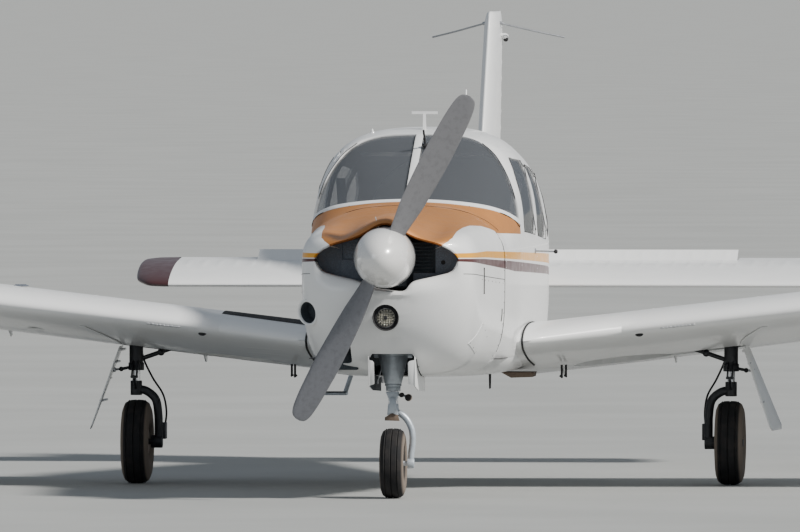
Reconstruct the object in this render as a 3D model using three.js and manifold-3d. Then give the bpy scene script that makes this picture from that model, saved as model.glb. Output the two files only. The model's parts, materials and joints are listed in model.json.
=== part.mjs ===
// Four-seat low-wing light aircraft standing on its retractable nose-wheel undercarriage.
// Lengths are in millimetres. +X is the aircraft's left side, +Y is aft and +Z is up.
// The origin is on the ground, on the centre line, midway between spinner tip and rudder.
// A station is a distance aft of the spinner's tip.

import * as THREE from 'three';
import { LoftGeometry } from 'three/addons/geometries/LoftGeometry.js';
import { mergeVertices } from 'three/addons/utils/BufferGeometryUtils.js';
import Module from 'manifold-3d';

const wasm = await Module();
wasm.setup();

// Driving dimensions
const LENGTH = 7500;
const SPAN = 9820;
const HEIGHT = 2490;
const FIT_GAP = 0.4;
const MOVING_GAP = 6;

const COWL_WALL = 15;
const CABIN_WALL = 30;
const TAIL_WALL = 16;
const FIREWALL_STATION = 1500;
const CABIN_END = 4500;
const TAIL_CONE_END = 7080;
const FLOOR_HEIGHT = 700;

const SPINNER_RADIUS = 156;
const SPINNER_BASE = 330;
const THRUST_HEIGHT = 1250;
const PROPELLER_RADIUS = 940;
const PROPELLER_STATION = 258;
const PROPELLER_ANGLE = 28;

const WING_ROOT = 400;
const GLOVE_END = 1060;
const WING_TIP_RIB = 4650;
const WING_CHORD = 1600;
const WING_THICKNESS = 0.141;
const WING_LEADING_STATION = 2400;
const WING_LEADING_HEIGHT = 787;
const WING_LEADING_AT = 600;
const GLOVE_DEPTH = 360;
const DIHEDRAL_SLOPE = 0.113;
const INCIDENCE_ROOT = 7.3;
const INCIDENCE_TIP = 5;
const HINGE_CHORD = 0.825;
const FLAP_SPAN = [640, 2350];
const AILERON_SPAN = [2385, 4560];

const TRACK_HALF = 1575;
const MAIN_STATION = 3200;
const NOSE_STATION = 830;
const MAIN_TYRE = { radius: 222.2, width: 150, rimRadius: 80, rimWidth: 112 };
const NOSE_TYRE = { radius: 180.5, width: 125, rimRadius: 64, rimWidth: 92 };
const MAIN_AXLE_RADIUS = 17;
const NOSE_AXLE_RADIUS = 13;

const STABILATOR_HALF = 1965;
const STABILATOR_CHORD = 760;
const STABILATOR_HINGE = { station: 6842, height: 1022, fromNose: 200 };
const STABILATOR_ANGLE = 10.5;
const TAB_HALF = 1330;
const TAB_CHORD = 130;
const TAB_ANGLE = 24;

const RUDDER_HINGE = 7075;
const RUDDER_SPAN = [1290, 2395];
const FIN_TOP = HEIGHT;

const COLOURS = {
  white: [0xeef0ee, 0.3, 0.1],
  copper: [0xb27a4b, 0.35, 0.5],
  maroon: [0x3d262b, 0.35, 0.1],
  glass: [0x5c6a70, 0.08, 0.0],
  steel: [0x8d9296, 0.4, 0.8],
  dark: [0x24262a, 0.7, 0.2],
  tyre: [0x17171a, 0.85, 0.0],
  beige: [0xb9a48e, 0.5, 0.3],
  exhaust: [0x66584e, 0.6, 0.6],
  panel: [0x2b2c2f, 0.6, 0.0],
  seat: [0x6f6a66, 0.85, 0.0],
};

// Fuselage sections, nose to tail. The columns are station, half width, lowest height,
// height of the widest line, highest height, roundness above and roundness below.
const FUSELAGE = [
  [370, 385, 1040, 1190, 1345, 2.6, 2.4],
  [388, 416, 955, 1185, 1372, 2.9, 2.5],
  [425, 436, 860, 1180, 1392, 3.2, 2.7],
  [490, 448, 770, 1175, 1400, 3.6, 2.9],
  [580, 456, 705, 1175, 1410, 3.8, 3.2],
  [720, 464, 658, 1175, 1420, 3.7, 3.6],
  [900, 476, 630, 1180, 1434, 3.4, 3.9],
  [1200, 499, 618, 1190, 1460, 2.9, 4.0],
  [1500, 521, 610, 1200, 1490, 2.6, 4.4],
  [1700, 532, 606, 1200, 1515, 2.2, 5.2],
  [1900, 541, 603, 1200, 1618, 2.4, 6.2],
  [2180, 551, 601, 1200, 1755, 3.1, 7.0],
  [2440, 558, 600, 1200, 1861, 3.4, 7.5],
  [2700, 562, 600, 1200, 1885, 3.4, 8.0],
  [3000, 565, 600, 1200, 1893, 3.1, 8.0],
  [3300, 566, 600, 1200, 1890, 2.9, 8.0],
  [3700, 562, 605, 1200, 1870, 2.7, 7.5],
  [4100, 537, 625, 1200, 1825, 2.7, 6.0],
  [4500, 510, 660, 1195, 1755, 2.4, 4.8],
  [5000, 455, 715, 1185, 1655, 2.2, 3.6],
  [5500, 385, 775, 1170, 1550, 2.1, 2.9],
  [6000, 305, 835, 1150, 1450, 2.0, 2.5],
  [6500, 215, 895, 1125, 1345, 2.0, 2.3],
  [7080, 100, 965, 1090, 1215, 2.0, 2.0],
];

// The top cowl stands up behind the spinner and dips beside it, and its sides sweep aft.
// The columns are station, height of the hump, depth of the dips and sweep at SWEEP_WIDTH.
const COWL_HUMP = [
  [370, 78, 0, 120],
  [388, 70, 25, 112],
  [425, 58, 44, 102],
  [490, 45, 43, 88],
  [580, 42, 39, 70],
  [720, 32, 29, 48],
  [900, 22, 16, 26],
  [1200, 8, 5, 6],
  [1500, 0, 0, 0],
];
const HUMP_WIDTH = 115;
const DIP_MIDDLE = 240;
const DIP_WIDTH = 85;
const SWEEP_WIDTH = 450;

// Small helpers

const aft = (station) => station - LENGTH / 2;
const radians = THREE.MathUtils.degToRad;
const mirrorX = (side, x) => side * x;

function lookUp(rows, station) {
  const last = rows.length - 1;
  if (station <= rows[0][0]) return rows[0];
  if (station >= rows[last][0]) return rows[last];
  const next = rows.findIndex((row) => row[0] >= station);
  const [low, high] = [rows[next - 1], rows[next]];
  const share = (station - low[0]) / (high[0] - low[0]);
  return low.map((value, column) => value + (high[column] - value) * share);
}

// Point on the body's skin at a station and an angle round the section, moved in by a wall.
function skinPoint(station, angle, wall = 0) {
  const [, halfWidth, bottom, middle, top, above, below] = lookUp(FUSELAGE, station);
  const [, hump, dip, sweep] = lookUp(COWL_HUMP, station);
  const [c, s] = [Math.cos(angle), Math.sin(angle)];
  const power = 2 / (s >= 0 ? above : below);
  const rise = s >= 0 ? top - wall - middle : middle - bottom - wall;
  const x = (halfWidth - wall) * Math.sign(c) * Math.abs(c) ** power;
  let z = middle + rise * Math.sign(s) * Math.abs(s) ** power;
  if (s > 0) {
    z += hump * Math.exp(-((x / HUMP_WIDTH) ** 2)) * s;
    z -= dip * Math.exp(-(((Math.abs(x) - DIP_MIDDLE) / DIP_WIDTH) ** 2)) * s;
  }
  const swept = station + sweep * (Math.abs(x) / SWEEP_WIDTH) ** 3;
  return new THREE.Vector3(x, aft(swept), z);
}

const AROUND = 28;

function skinRing(station, wall) {
  return Array.from({ length: AROUND }, (_, i) => skinPoint(station, (i / AROUND) * 2 * Math.PI, wall));
}

// Turn a geometry into a solid whose faces point out.
function solid(geometry) {
  const bare = new THREE.BufferGeometry().copy(geometry);
  bare.deleteAttribute('normal');
  bare.deleteAttribute('uv');
  const merged = mergeVertices(bare, 1e-3);
  const vertProperties = new Float32Array(merged.getAttribute('position').array);
  const triVerts = new Uint32Array(merged.getIndex().array);
  const point = (i) => new THREE.Vector3().fromArray(vertProperties, 3 * triVerts[i]);
  let volume = 0;
  for (let i = 0; i < triVerts.length; i += 3) {
    volume += point(i).dot(point(i + 1).cross(point(i + 2)));
  }
  if (volume < 0) {
    for (let i = 0; i < triVerts.length; i += 3) {
      [triVerts[i + 1], triVerts[i + 2]] = [triVerts[i + 2], triVerts[i + 1]];
    }
  }
  return new wasm.Manifold(new wasm.Mesh({ numProp: 3, vertProperties, triVerts }));
}

// Close a loft through rings of points, whichever way round the rings run.
function loft(rings) {
  const [first, last] = [rings[0], rings[rings.length - 1]];
  const middle = (ring) => ring.reduce((sum, point) => sum.add(point), new THREE.Vector3()).divideScalar(ring.length);
  const onward = middle(last).sub(middle(first));
  const facing = first.reduce((sum, point, i) => {
    const next = first[(i + 1) % first.length];
    return sum.add(point.clone().cross(next));
  }, new THREE.Vector3());
  const ordered = facing.dot(onward) < 0 ? rings.map((ring) => [...ring].reverse()) : rings;
  return solid(new LoftGeometry(ordered, { closed: true, capStart: true, capEnd: true }));
}

function largest(shape) {
  return shape.decompose().reduce((best, piece) => (piece.volume() > best.volume() ? piece : best));
}

function joined(shapes) {
  return shapes.reduce((sum, shape) => sum.add(shape));
}

function box(x, station, z) {
  const geometry = new THREE.BoxGeometry(x[1] - x[0], station[1] - station[0], z[1] - z[0]);
  geometry.translate((x[0] + x[1]) / 2, aft((station[0] + station[1]) / 2), (z[0] + z[1]) / 2);
  return solid(geometry);
}

function sideBox(side, x, station, z) {
  return box([mirrorX(side, x[0]), mirrorX(side, x[1])].sort((a, b) => a - b), station, z);
}

// A round rod or cone between two points given as x, station and z.
function rod(from, to, radius, endRadius = radius, facets = 12) {
  const start = new THREE.Vector3(from[0], aft(from[1]), from[2]);
  const end = new THREE.Vector3(to[0], aft(to[1]), to[2]);
  const direction = end.clone().sub(start);
  const geometry = new THREE.CylinderGeometry(endRadius, radius, direction.length(), facets);
  const turn = new THREE.Quaternion().setFromUnitVectors(
    new THREE.Vector3(0, 1, 0),
    direction.clone().normalize(),
  );
  geometry.applyQuaternion(turn);
  geometry.translate(...start.add(end).multiplyScalar(0.5).toArray());
  return solid(geometry);
}

// A closed outline, with each corner rounded by a radius.
function outline(points, radius = 0) {
  const corners = points.map(([a, b]) => new THREE.Vector2(a, b));
  if (radius === 0) return new THREE.Shape(corners);
  const shape = new THREE.Shape();
  corners.forEach((corner, i) => {
    const before = corners[(i + corners.length - 1) % corners.length];
    const after = corners[(i + 1) % corners.length];
    const start = corner.clone().add(before.clone().sub(corner).setLength(radius));
    const end = corner.clone().add(after.clone().sub(corner).setLength(radius));
    if (i === 0) shape.moveTo(start.x, start.y);
    else shape.lineTo(start.x, start.y);
    shape.quadraticCurveTo(corner.x, corner.y, end.x, end.y);
  });
  shape.closePath();
  return shape;
}

// Extrude an outline of stations and heights sideways.
function sidePrism(points, x, radius = 0) {
  const settings = { depth: x[1] - x[0], bevelEnabled: false, curveSegments: 4 };
  const geometry = new THREE.ExtrudeGeometry(outline(points, radius), settings);
  const axes = new THREE.Matrix4().makeBasis(
    new THREE.Vector3(0, 1, 0),
    new THREE.Vector3(0, 0, 1),
    new THREE.Vector3(1, 0, 0),
  );
  geometry.applyMatrix4(axes);
  geometry.translate(x[0], aft(0), 0);
  return solid(geometry);
}

// Extrude an outline of widths and heights along the body.
function frontPrism(points, station, radius = 0) {
  const settings = { depth: station[1] - station[0], bevelEnabled: false, curveSegments: 4 };
  const geometry = new THREE.ExtrudeGeometry(outline(points, radius), settings);
  const axes = new THREE.Matrix4().makeBasis(
    new THREE.Vector3(1, 0, 0),
    new THREE.Vector3(0, 0, 1),
    new THREE.Vector3(0, -1, 0),
  );
  geometry.applyMatrix4(axes);
  geometry.translate(0, aft(station[1]), 0);
  return solid(geometry);
}

// Extrude an outline of widths and stations upwards.
function planPrism(points, z, radius = 0) {
  const settings = { depth: z[1] - z[0], bevelEnabled: false, curveSegments: 4 };
  const geometry = new THREE.ExtrudeGeometry(outline(points, radius), settings);
  geometry.translate(0, aft(0), z[0]);
  return solid(geometry);
}

// Move each point of an outline towards its middle by a distance.
function shrunk(points, distance) {
  const middle = points.reduce(([a, b], [c, d]) => [a + c / points.length, b + d / points.length], [0, 0]);
  return points.map(([a, b]) => {
    const length = Math.hypot(a - middle[0], b - middle[1]);
    const share = (length - distance) / length;
    return [middle[0] + (a - middle[0]) * share, middle[1] + (b - middle[1]) * share];
  });
}

const aircraft = new THREE.Group();

function geometryOf(shape) {
  const mesh = shape.getMesh();
  const geometry = new THREE.BufferGeometry();
  geometry.setAttribute('position', new THREE.BufferAttribute(mesh.vertProperties, 3));
  geometry.setIndex(new THREE.BufferAttribute(mesh.triVerts, 1));
  geometry.computeVertexNormals();
  return geometry;
}

function addPiece(name, shape, colour, parent = aircraft) {
  const [color, roughness, metalness] = COLOURS[colour];
  const material = new THREE.MeshStandardMaterial({ color, roughness, metalness });
  const mesh = new THREE.Mesh(geometryOf(shape), material);
  mesh.name = name;
  parent.add(mesh);
  return mesh;
}

const SIDES = [
  ['left', 1],
  ['right', -1],
];
const BOTH = [-1400, 1400];

// Body shells

const bodyStations = FUSELAGE.map((row) => row[0]);

function bodyLoft(from, to, wall) {
  const between = bodyStations.filter((station) => station > from && station < to);
  return loft([from, ...between, to].map((station) => skinRing(station, wall)));
}

const cowlOuter = bodyLoft(370, FIREWALL_STATION - 8, 0);
const cowlInner = bodyLoft(392, FIREWALL_STATION + 20, COWL_WALL);
const cabinOuter = bodyLoft(FIREWALL_STATION, CABIN_END, 0);
const cabinInner = bodyLoft(FIREWALL_STATION - 20, CABIN_END + 20, CABIN_WALL);
const wholeBody = bodyLoft(370, TAIL_CONE_END, -FIT_GAP);

// Cowling: four shell panels round a lens-shaped mouth, open behind to the firewall

const MOUTH = [
  [-368, 1245], [-325, 1300], [-270, 1318], [-145, 1357], [-77, 1400], [0, 1423],
  [77, 1400], [145, 1357], [270, 1318], [325, 1300], [368, 1245],
  [335, 1180], [267, 1157], [160, 1133], [125, 1115], [90, 1078],
  [0, 1083], [-55, 1092], [-115, 1117], [-160, 1133], [-267, 1157], [-335, 1180],
];
const LIGHT = { radius: 64, front: 390, back: 445, height: 940 };
const EXHAUST = { from: [-235, 600, 790], to: [-335, 860, 630], radius: 30 };
const INLET = { from: [-364, 583, 975], to: [-417, 517, 962], radius: 56, lip: 69 };

const cowlSeam = (lift) => [[200, 1172 + lift], [1600, 1112 + lift], [1600, 1700], [200, 1700]];
// Half width of the top cowl's lid by station
const LID = [
  [200, 300], [430, 310], [585, 334], [827, 349], [1066, 372], [1277, 411], [1380, 441], [1600, 495],
];
const topCowlPlan = (grow) => {
  const edge = LID.map(([station, half]) => [half + grow, station]);
  const corners = [...edge, ...[...edge].reverse().map(([half, station]) => [-half, station])];
  return planPrism(corners, [1205, 1700]);
};
const cowlMouth = frontPrism(MOUTH, [250, 520]);
const noseBay = box([-115, 115], [440, 1230], [500, 760]);
const exhaustHole = frontPrism([[-312, 700], [-190, 700], [-190, 830], [-300, 830]], [400, 700], 40)
  .add(rod(EXHAUST.from, EXHAUST.to, EXHAUST.radius + 12));
const inletHole = rod([-310, 650, 988], [-470, 451, 949], INLET.radius);
const lightHole = rod([0, 300, LIGHT.height], [0, 500, LIGHT.height], LIGHT.radius + 1, LIGHT.radius + 1, 24);

const cowlShell = cowlOuter.subtract(cowlInner).subtract(cowlMouth).subtract(noseBay);
const cowlLower = cowlShell
  .subtract(sidePrism(cowlSeam(0), BOTH))
  .subtract(exhaustHole)
  .subtract(lightHole)
  .add(rod(INLET.from, INLET.to, INLET.lip))
  .subtract(inletHole);
addPiece('cowl_lower', largest(cowlLower), 'white');
addPiece('cowl_top', largest(cowlShell.intersect(topCowlPlan(0))), 'copper');
const cowlCheeks = cowlShell.intersect(sidePrism(cowlSeam(FIT_GAP), BOTH)).subtract(topCowlPlan(FIT_GAP));
for (const [name, side] of SIDES) {
  const half = sideBox(side, [5, 900], [300, 1600], [1000, 1700]);
  addPiece(`cowl_cheek_${name}`, largest(cowlCheeks.intersect(half)), 'white');
}
addPiece(
  'landing_light',
  rod([0, LIGHT.front, LIGHT.height], [0, LIGHT.back, LIGHT.height], LIGHT.radius, LIGHT.radius, 24),
  'glass',
);
addPiece('exhaust_pipe', rod(EXHAUST.from, EXHAUST.to, EXHAUST.radius), 'exhaust');

// Engine as one block with its propeller shaft, and the firewall behind it
const engineBlock = box([-285, 285], [620, 1380], [850, 1300]);
const shaft = rod([0, 700, THRUST_HEIGHT], [0, SPINNER_BASE + MOVING_GAP, THRUST_HEIGHT], 60);
addPiece('engine', engineBlock.add(shaft).subtract(rod(EXHAUST.from, EXHAUST.to, EXHAUST.radius + 1)), 'steel');
addPiece('firewall', bodyLoft(FIREWALL_STATION - 7.5, FIREWALL_STATION - 0.5, 3), 'steel');

// Spinner and two-bladed propeller
const spinnerProfile = Array.from({ length: 8 }, (_, i) => {
  const share = i / 7;
  const radius = SPINNER_RADIUS * Math.sqrt(1 - (1 - share) ** 2.1);
  return new THREE.Vector2(radius, share * SPINNER_BASE);
});
spinnerProfile.push(new THREE.Vector2(0, SPINNER_BASE));
const spinnerGeometry = new THREE.LatheGeometry(spinnerProfile, 20);
spinnerGeometry.translate(0, aft(0), THRUST_HEIGHT);

// Blade sections. The columns are radius, chord, thickness and twist in degrees.
const BLADE = [
  [70, 90, 60, 60],
  [180, 118, 40, 48],
  [330, 146, 26, 36],
  [560, 154, 16, 26],
  [780, 138, 11, 20],
  [900, 108, 8, 17],
  [PROPELLER_RADIUS, 60, 5, 16],
];

function bladeRing([radius, chord, thickness, twist], growth) {
  const turn = radians(twist);
  return Array.from({ length: 10 }, (_, i) => {
    const angle = (i / 10) * 2 * Math.PI;
    const across = (chord / 2 + growth) * Math.cos(angle);
    const through = (thickness / 2 + growth) * Math.sin(angle);
    const x = across * Math.cos(turn) - through * Math.sin(turn);
    const y = across * Math.sin(turn) + through * Math.cos(turn);
    return new THREE.Vector3(x, y, radius);
  });
}

function bladePair(growth) {
  const blades = [0, 180].map((angle) => {
    const rings = BLADE.map((row) => bladeRing(row, growth));
    const turn = radians(angle + PROPELLER_ANGLE);
    const centre = new THREE.Vector3(0, aft(PROPELLER_STATION), THRUST_HEIGHT);
    const placed = [bladeRing([20, 80, 60, 60], growth), ...rings].map((ring) =>
      ring.map((point) => point.applyAxisAngle(new THREE.Vector3(0, 1, 0), turn).add(centre)));
    return loft(placed);
  });
  const hub = rod([0, PROPELLER_STATION - 50 - growth, THRUST_HEIGHT],
    [0, PROPELLER_STATION + 60 + growth, THRUST_HEIGHT], 62 + growth);
  return joined([...blades, hub]);
}

addPiece('propeller', bladePair(0), 'steel');
addPiece('spinner', largest(solid(spinnerGeometry).subtract(bladePair(FIT_GAP))), 'white');

// Cabin: floor pan, two sides, scuttle and roof, split where the skins meet

const roofLine = (lift) => [
  [1400, 1690 + lift], [2255, 1690 + lift], [2285, 1740 + lift], [2335, 1745 + lift],
  [2378, 1786 + lift], [2440, 1778 + lift],
  [3700, 1745 + lift], [4600, 1625 + lift],
];
const roofRegion = (lift) => sidePrism([...roofLine(lift), [4600, 2200], [1400, 2200]], BOTH);
const SCREEN_BASE = [[1700, 1515], [1770, 1492], [1900, 1455], [2050, 1415], [2180, 1389]];
const SCREEN_AFT = [[2190, 1600], [2300, 1750], [2340, 1824], [2440, 1861]];
const screenPrism = (baseInset, aftInset, x = BOTH) => {
  const base = SCREEN_BASE.map(([s, z], i) => [s - (i === 4 ? aftInset : 0), z + baseInset]);
  const rear = SCREEN_AFT.map(([s, z]) => [s - aftInset, z]);
  const over = [[2440 - aftInset, 2050], [1600, 2050], [1600, 1560 + baseInset]];
  return sidePrism([...base, ...rear, ...over], x);
};
const scuttleRegion = (grow) => sidePrism(
  [
    [1480, 1358 - grow], [2180 + grow, 1341 - grow], [2180 + grow, 1389],
    ...SCREEN_BASE.slice(0, 4).reverse(), [1690, 1600], [1480, 1600],
  ],
  BOTH,
);

const WINDOWS = {
  front: { corners: [[2330, 1352], [2925, 1327], [2935, 1715], [2420, 1725], [2335, 1610]], round: 35 },
  rear: { corners: [[3055, 1320], [3640, 1290], [3640, 1700], [3065, 1712]], round: 45 },
  aft: { corners: [[3760, 1300], [4230, 1345], [4150, 1545], [3770, 1670]], round: 35 },
};
const DOOR = [
  [2268, 952], [3010, 950], [3010, 1754], [2392, 1768], [2355, 1735], [2270, 1600],
];
const BAGGAGE_DOOR = [[4030, 950], [4410, 955], [4400, 1275], [4030, 1280]];

const sideRange = (side) => (side > 0 ? [5, 900] : [-900, -5]);
const windowPrism = (name, side, inset) => {
  const { corners, round } = WINDOWS[name];
  return sidePrism(shrunk(corners, inset), sideRange(side), round);
};
const doorPrism = (inset) => sidePrism(shrunk(DOOR, inset), sideRange(-1), 24);
const baggagePrism = (inset) => sidePrism(shrunk(BAGGAGE_DOOR, inset), sideRange(-1), 24);

const cabinShell = cabinOuter.subtract(cabinInner);
const belowFloor = box(BOTH, [1400, 4600], [500, FLOOR_HEIGHT]);
const sideShell = cabinShell
  .subtract(box(BOTH, [1400, 4600], [500, FLOOR_HEIGHT + FIT_GAP]))
  .subtract(roofRegion(-FIT_GAP))
  .subtract(scuttleRegion(3 * FIT_GAP))
  .subtract(screenPrism(0, 0));

addPiece('belly', cabinOuter.intersect(belowFloor), 'white');
for (const [name, side] of SIDES) {
  const half = sideBox(side, [0.2, 900], [1400, 4600], [600, 2000]);
  let wall = sideShell.intersect(half);
  for (const pane of Object.keys(WINDOWS)) wall = wall.subtract(windowPrism(pane, side, 0));
  if (side < 0) {
    const doorway = doorPrism(-MOVING_GAP - 4).add(doorPrism(0));
    wall = wall.subtract(doorway).subtract(baggagePrism(-MOVING_GAP - 4));
  }
  addPiece(`side_${name}`, largest(wall), 'white');
}
addPiece('scuttle', largest(cabinShell.intersect(scuttleRegion(0)).subtract(screenPrism(-FIT_GAP, 0))), 'copper');
const screenPost = cabinShell.intersect(screenPrism(1, -4, [-22, 22]));
const roof = cabinShell.intersect(roofRegion(0)).subtract(screenPrism(0, 0)).add(screenPost);
addPiece('roof', largest(roof), 'white');

const glassShell = bodyLoft(1620, 4450, 10).subtract(bodyLoft(1600, 4460, 16));
for (const [name, side] of SIDES) {
  const pane = side > 0 ? [24, 900] : [-900, -24];
  addPiece(`windscreen_${name}`, largest(glassShell.intersect(screenPrism(4, 4, pane))), 'glass');
}
for (const [name, side] of SIDES) {
  for (const pane of Object.keys(WINDOWS)) {
    if (side < 0 && pane === 'front') continue;
    addPiece(`window_${name}_${pane}`, largest(glassShell.intersect(windowPrism(pane, side, 1))), 'glass');
  }
}

// The cabin door and its window, and the baggage door, on the right side
const rightShell = cabinShell.intersect(box([-900, -5], [1400, 4600], [600, 2000]));
addPiece('cabin_door', largest(rightShell.intersect(doorPrism(0)).subtract(windowPrism('front', -1, 0))), 'white');
addPiece('cabin_door_window', largest(glassShell.intersect(windowPrism('front', -1, 1))), 'glass');
addPiece('baggage_door', largest(rightShell.intersect(baggagePrism(0))), 'white');

// Cabin furniture
const cabinRoom = bodyLoft(1520, 4480, CABIN_WALL + 5);
const panelFace = box([-520, 520], [1960, 1990], [1010, 1395]);
const glareShield = box([-520, 520], [1760, 1990], [1385, 1400]);
const yokes = [-270, 270].map((x) => {
  const column = rod([x, 1980, 1130], [x, 2130, 1150], 11, 11, 10);
  const bar = box([x - 130, x + 130], [2120, 2145], [1135, 1165]);
  const grips = [-118, 118].map((reach) => box([x + reach - 14, x + reach + 14], [2118, 2147], [1140, 1240]));
  return joined([column, bar, ...grips]);
});
addPiece('instrument_panel', joined([panelFace, glareShield, ...yokes]).intersect(cabinRoom), 'panel');

const FRONT_SEAT = [
  [2330, 701], [2700, 701], [2750, 860], [2925, 1480], [2860, 1510], [2800, 1480], [2680, 985],
  [2310, 985], [2290, 870],
];
for (const [name, side] of SIDES) {
  const across = side > 0 ? [55, 500] : [-500, -55];
  addPiece(`seat_${name}`, sidePrism(FRONT_SEAT, across).intersect(cabinRoom), 'seat');
}
const REAR_BENCH = [
  [3230, 701], [3590, 701], [3670, 900], [3830, 1380], [3770, 1405], [3705, 1380], [3570, 970],
  [3205, 970], [3190, 870],
];
addPiece('rear_bench', sidePrism(REAR_BENCH, [-520, 520]).intersect(cabinRoom), 'seat');

// Tail cone: a hollow shell with a hole in its front wall
const tailOuter = bodyLoft(CABIN_END + FIT_GAP, TAIL_CONE_END, 0);
const tailInner = bodyLoft(CABIN_END + TAIL_WALL, TAIL_CONE_END - TAIL_WALL, TAIL_WALL);
const wallHole = rod([0, CABIN_END - 30, 1420], [0, CABIN_END + 60, 1420], 130);
const { station: tailHinge, height: tailHingeHeight } = STABILATOR_HINGE;
const tubeHole = rod([-400, tailHinge, tailHingeHeight], [400, tailHinge, tailHingeHeight], 38);
const TAIL_PAD = { station: 6600, face: 884, radius: 22 };
const tailPad = rod([0, TAIL_PAD.station, 935], [0, TAIL_PAD.station, TAIL_PAD.face], TAIL_PAD.radius);
const tailCone = tailOuter.add(tailPad).subtract(tailInner).subtract(wallHole).subtract(tubeHole);
addPiece('tail_cone', largest(tailCone), 'white');

// Fin and rudder from one tapered section, parted at the rudder's hinge

// Thickness of a low-drag section at a share of its chord, as a share of its greatest half.
function fullness(share) {
  if (share < 0.4) return Math.sqrt(Math.max(0, 1 - (1 - share / 0.4) ** 2.2));
  const back = (share - 0.4) / 0.6;
  return 1 - 1.6 * back ** 2 + 0.62 * back ** 3;
}

const chordShare = (step, steps) => (1 - Math.cos((Math.PI * step) / steps)) / 2;

// Ring of [chord share, +1 or -1] pairs running from the trailing edge round the nose and back.
function sectionRing(steps) {
  const under = Array.from({ length: steps }, (_, i) => [chordShare(steps - i, steps), -1]);
  const over = Array.from({ length: steps }, (_, i) => [chordShare(i + 1, steps), 1]);
  return [...under, [0, 1], ...over];
}

const FIN = [
  // height, leading station, trailing station, thickness
  [1080, 5770, 7385, 104],
  [1400, 5992, 7410, 100],
  [2400, 6692, 7492, 84],
  [FIN_TOP - 30, 6734, 7497, 70],
  [FIN_TOP, 6790, LENGTH, 34],
];
const finBlade = loft(FIN.map(([height, leading, trailing, thickness]) =>
  sectionRing(9).map(([share, way]) =>
    new THREE.Vector3(
      (way * fullness(share) * thickness) / 2,
      aft(leading + (trailing - leading) * share),
      height,
    ))));
const RUDDER_NOSE = 28;
const rudderSpace = box([-200, 200], [RUDDER_HINGE - RUDDER_NOSE - MOVING_GAP, 7600],
  [1000, RUDDER_SPAN[1] + MOVING_GAP]);
const ANTENNA_ARM = { root: [0, 6960, 2428], tip: [365, 7350, 2345], radius: 5 };
const antennaArms = SIDES.map(([, side]) => {
  const { root, tip, radius } = ANTENNA_ARM;
  return rod(root, [side * tip[0], tip[1], tip[2]], radius, radius, 8);
});
addPiece('fin', largest(joined([finBlade.subtract(rudderSpace).subtract(wholeBody), ...antennaArms])), 'white');
const rudderPost = rod([0, RUDDER_HINGE, RUDDER_SPAN[0]], [0, RUDDER_HINGE, RUDDER_SPAN[1]], RUDDER_NOSE);
const rudderBlade = finBlade.intersect(box([-200, 200], [RUDDER_HINGE, 7600], RUDDER_SPAN));
addPiece('rudder', rudderBlade.add(rudderPost), 'white');

// Stabilator and its antiservo tab, in the hinge's own frame, turned to their parked angles
const tailGroup = new THREE.Group();
tailGroup.position.set(0, aft(tailHinge), tailHingeHeight);
tailGroup.rotation.x = radians(STABILATOR_ANGLE);
aircraft.add(tailGroup);

const TAIL_THICKNESS = 0.1;
// Tip rounding. The columns are distance from the tip and share of the full section.
const TAIL_TIP = [[0, 0.5], [28, 0.8], [100, 0.97], [210, 1]];
const tailStations = [
  ...TAIL_TIP.map(([inset, share]) => [-(STABILATOR_HALF - inset), share]),
  ...[...TAIL_TIP].reverse().map(([inset, share]) => [STABILATOR_HALF - inset, share]),
];
const tailNose = -STABILATOR_HINGE.fromNose;
const tailPlane = loft(tailStations.map(([x, size]) =>
  sectionRing(8).map(([share, way]) => {
    const chord = STABILATOR_CHORD * size;
    const y = tailNose + STABILATOR_CHORD * (1 - size) * 0.75 + chord * share;
    return new THREE.Vector3(x, y, (way * fullness(share) * STABILATOR_CHORD * TAIL_THICKNESS * size) / 2);
  })));
const local = (from, to, radius) => {
  const lift = LENGTH / 2;
  return rod([from[0], from[1] + lift, from[2]], [to[0], to[1] + lift, to[2]], radius);
};
const localBox = (x, y, z) => box(x, y.map((value) => value + LENGTH / 2), z);
const TAB_NOSE = 14;
const TAB_HINGE = STABILATOR_CHORD - STABILATOR_HINGE.fromNose - TAB_CHORD + TAB_NOSE;
const TAIL_SLOT = { half: 198, back: 290 };
const tabSpace = localBox([-TAB_HALF - MOVING_GAP, TAB_HALF + MOVING_GAP],
  [TAB_HINGE - TAB_NOSE - MOVING_GAP, 900], [-200, 200]);
const bodySlot = localBox([-TAIL_SLOT.half, TAIL_SLOT.half], [-400, TAIL_SLOT.back], [-200, 200]);
const torqueTube = local([-TAIL_SLOT.half - 40, 0, 0], [TAIL_SLOT.half + 40, 0, 0], 28);
addPiece('stabilator', tailPlane.subtract(tabSpace).subtract(bodySlot).add(torqueTube), 'white', tailGroup);

const tabGroup = new THREE.Group();
tabGroup.position.set(0, TAB_HINGE, 0);
tabGroup.rotation.x = radians(TAB_ANGLE);
tailGroup.add(tabGroup);
const tabSection = [[0, TAB_NOSE], [STABILATOR_CHORD - STABILATOR_HINGE.fromNose - TAB_HINGE, 2]];
const tabBlade = solid((() => {
  const [[, nose], [length, edge]] = tabSection;
  const shape = outline([[0, -nose], [length, -edge], [length, edge], [0, nose]]);
  const geometry = new THREE.ExtrudeGeometry(shape, { depth: 2 * TAB_HALF, bevelEnabled: false });
  geometry.applyMatrix4(new THREE.Matrix4().makeBasis(
    new THREE.Vector3(0, 1, 0), new THREE.Vector3(0, 0, 1), new THREE.Vector3(1, 0, 0)));
  geometry.translate(-TAB_HALF, 0, 0);
  return geometry;
})());
addPiece('antiservo_tab', tabBlade.add(local([-TAB_HALF, 0, 0], [TAB_HALF, 0, 0], TAB_NOSE)), 'white', tabGroup);

// Wings

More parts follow.
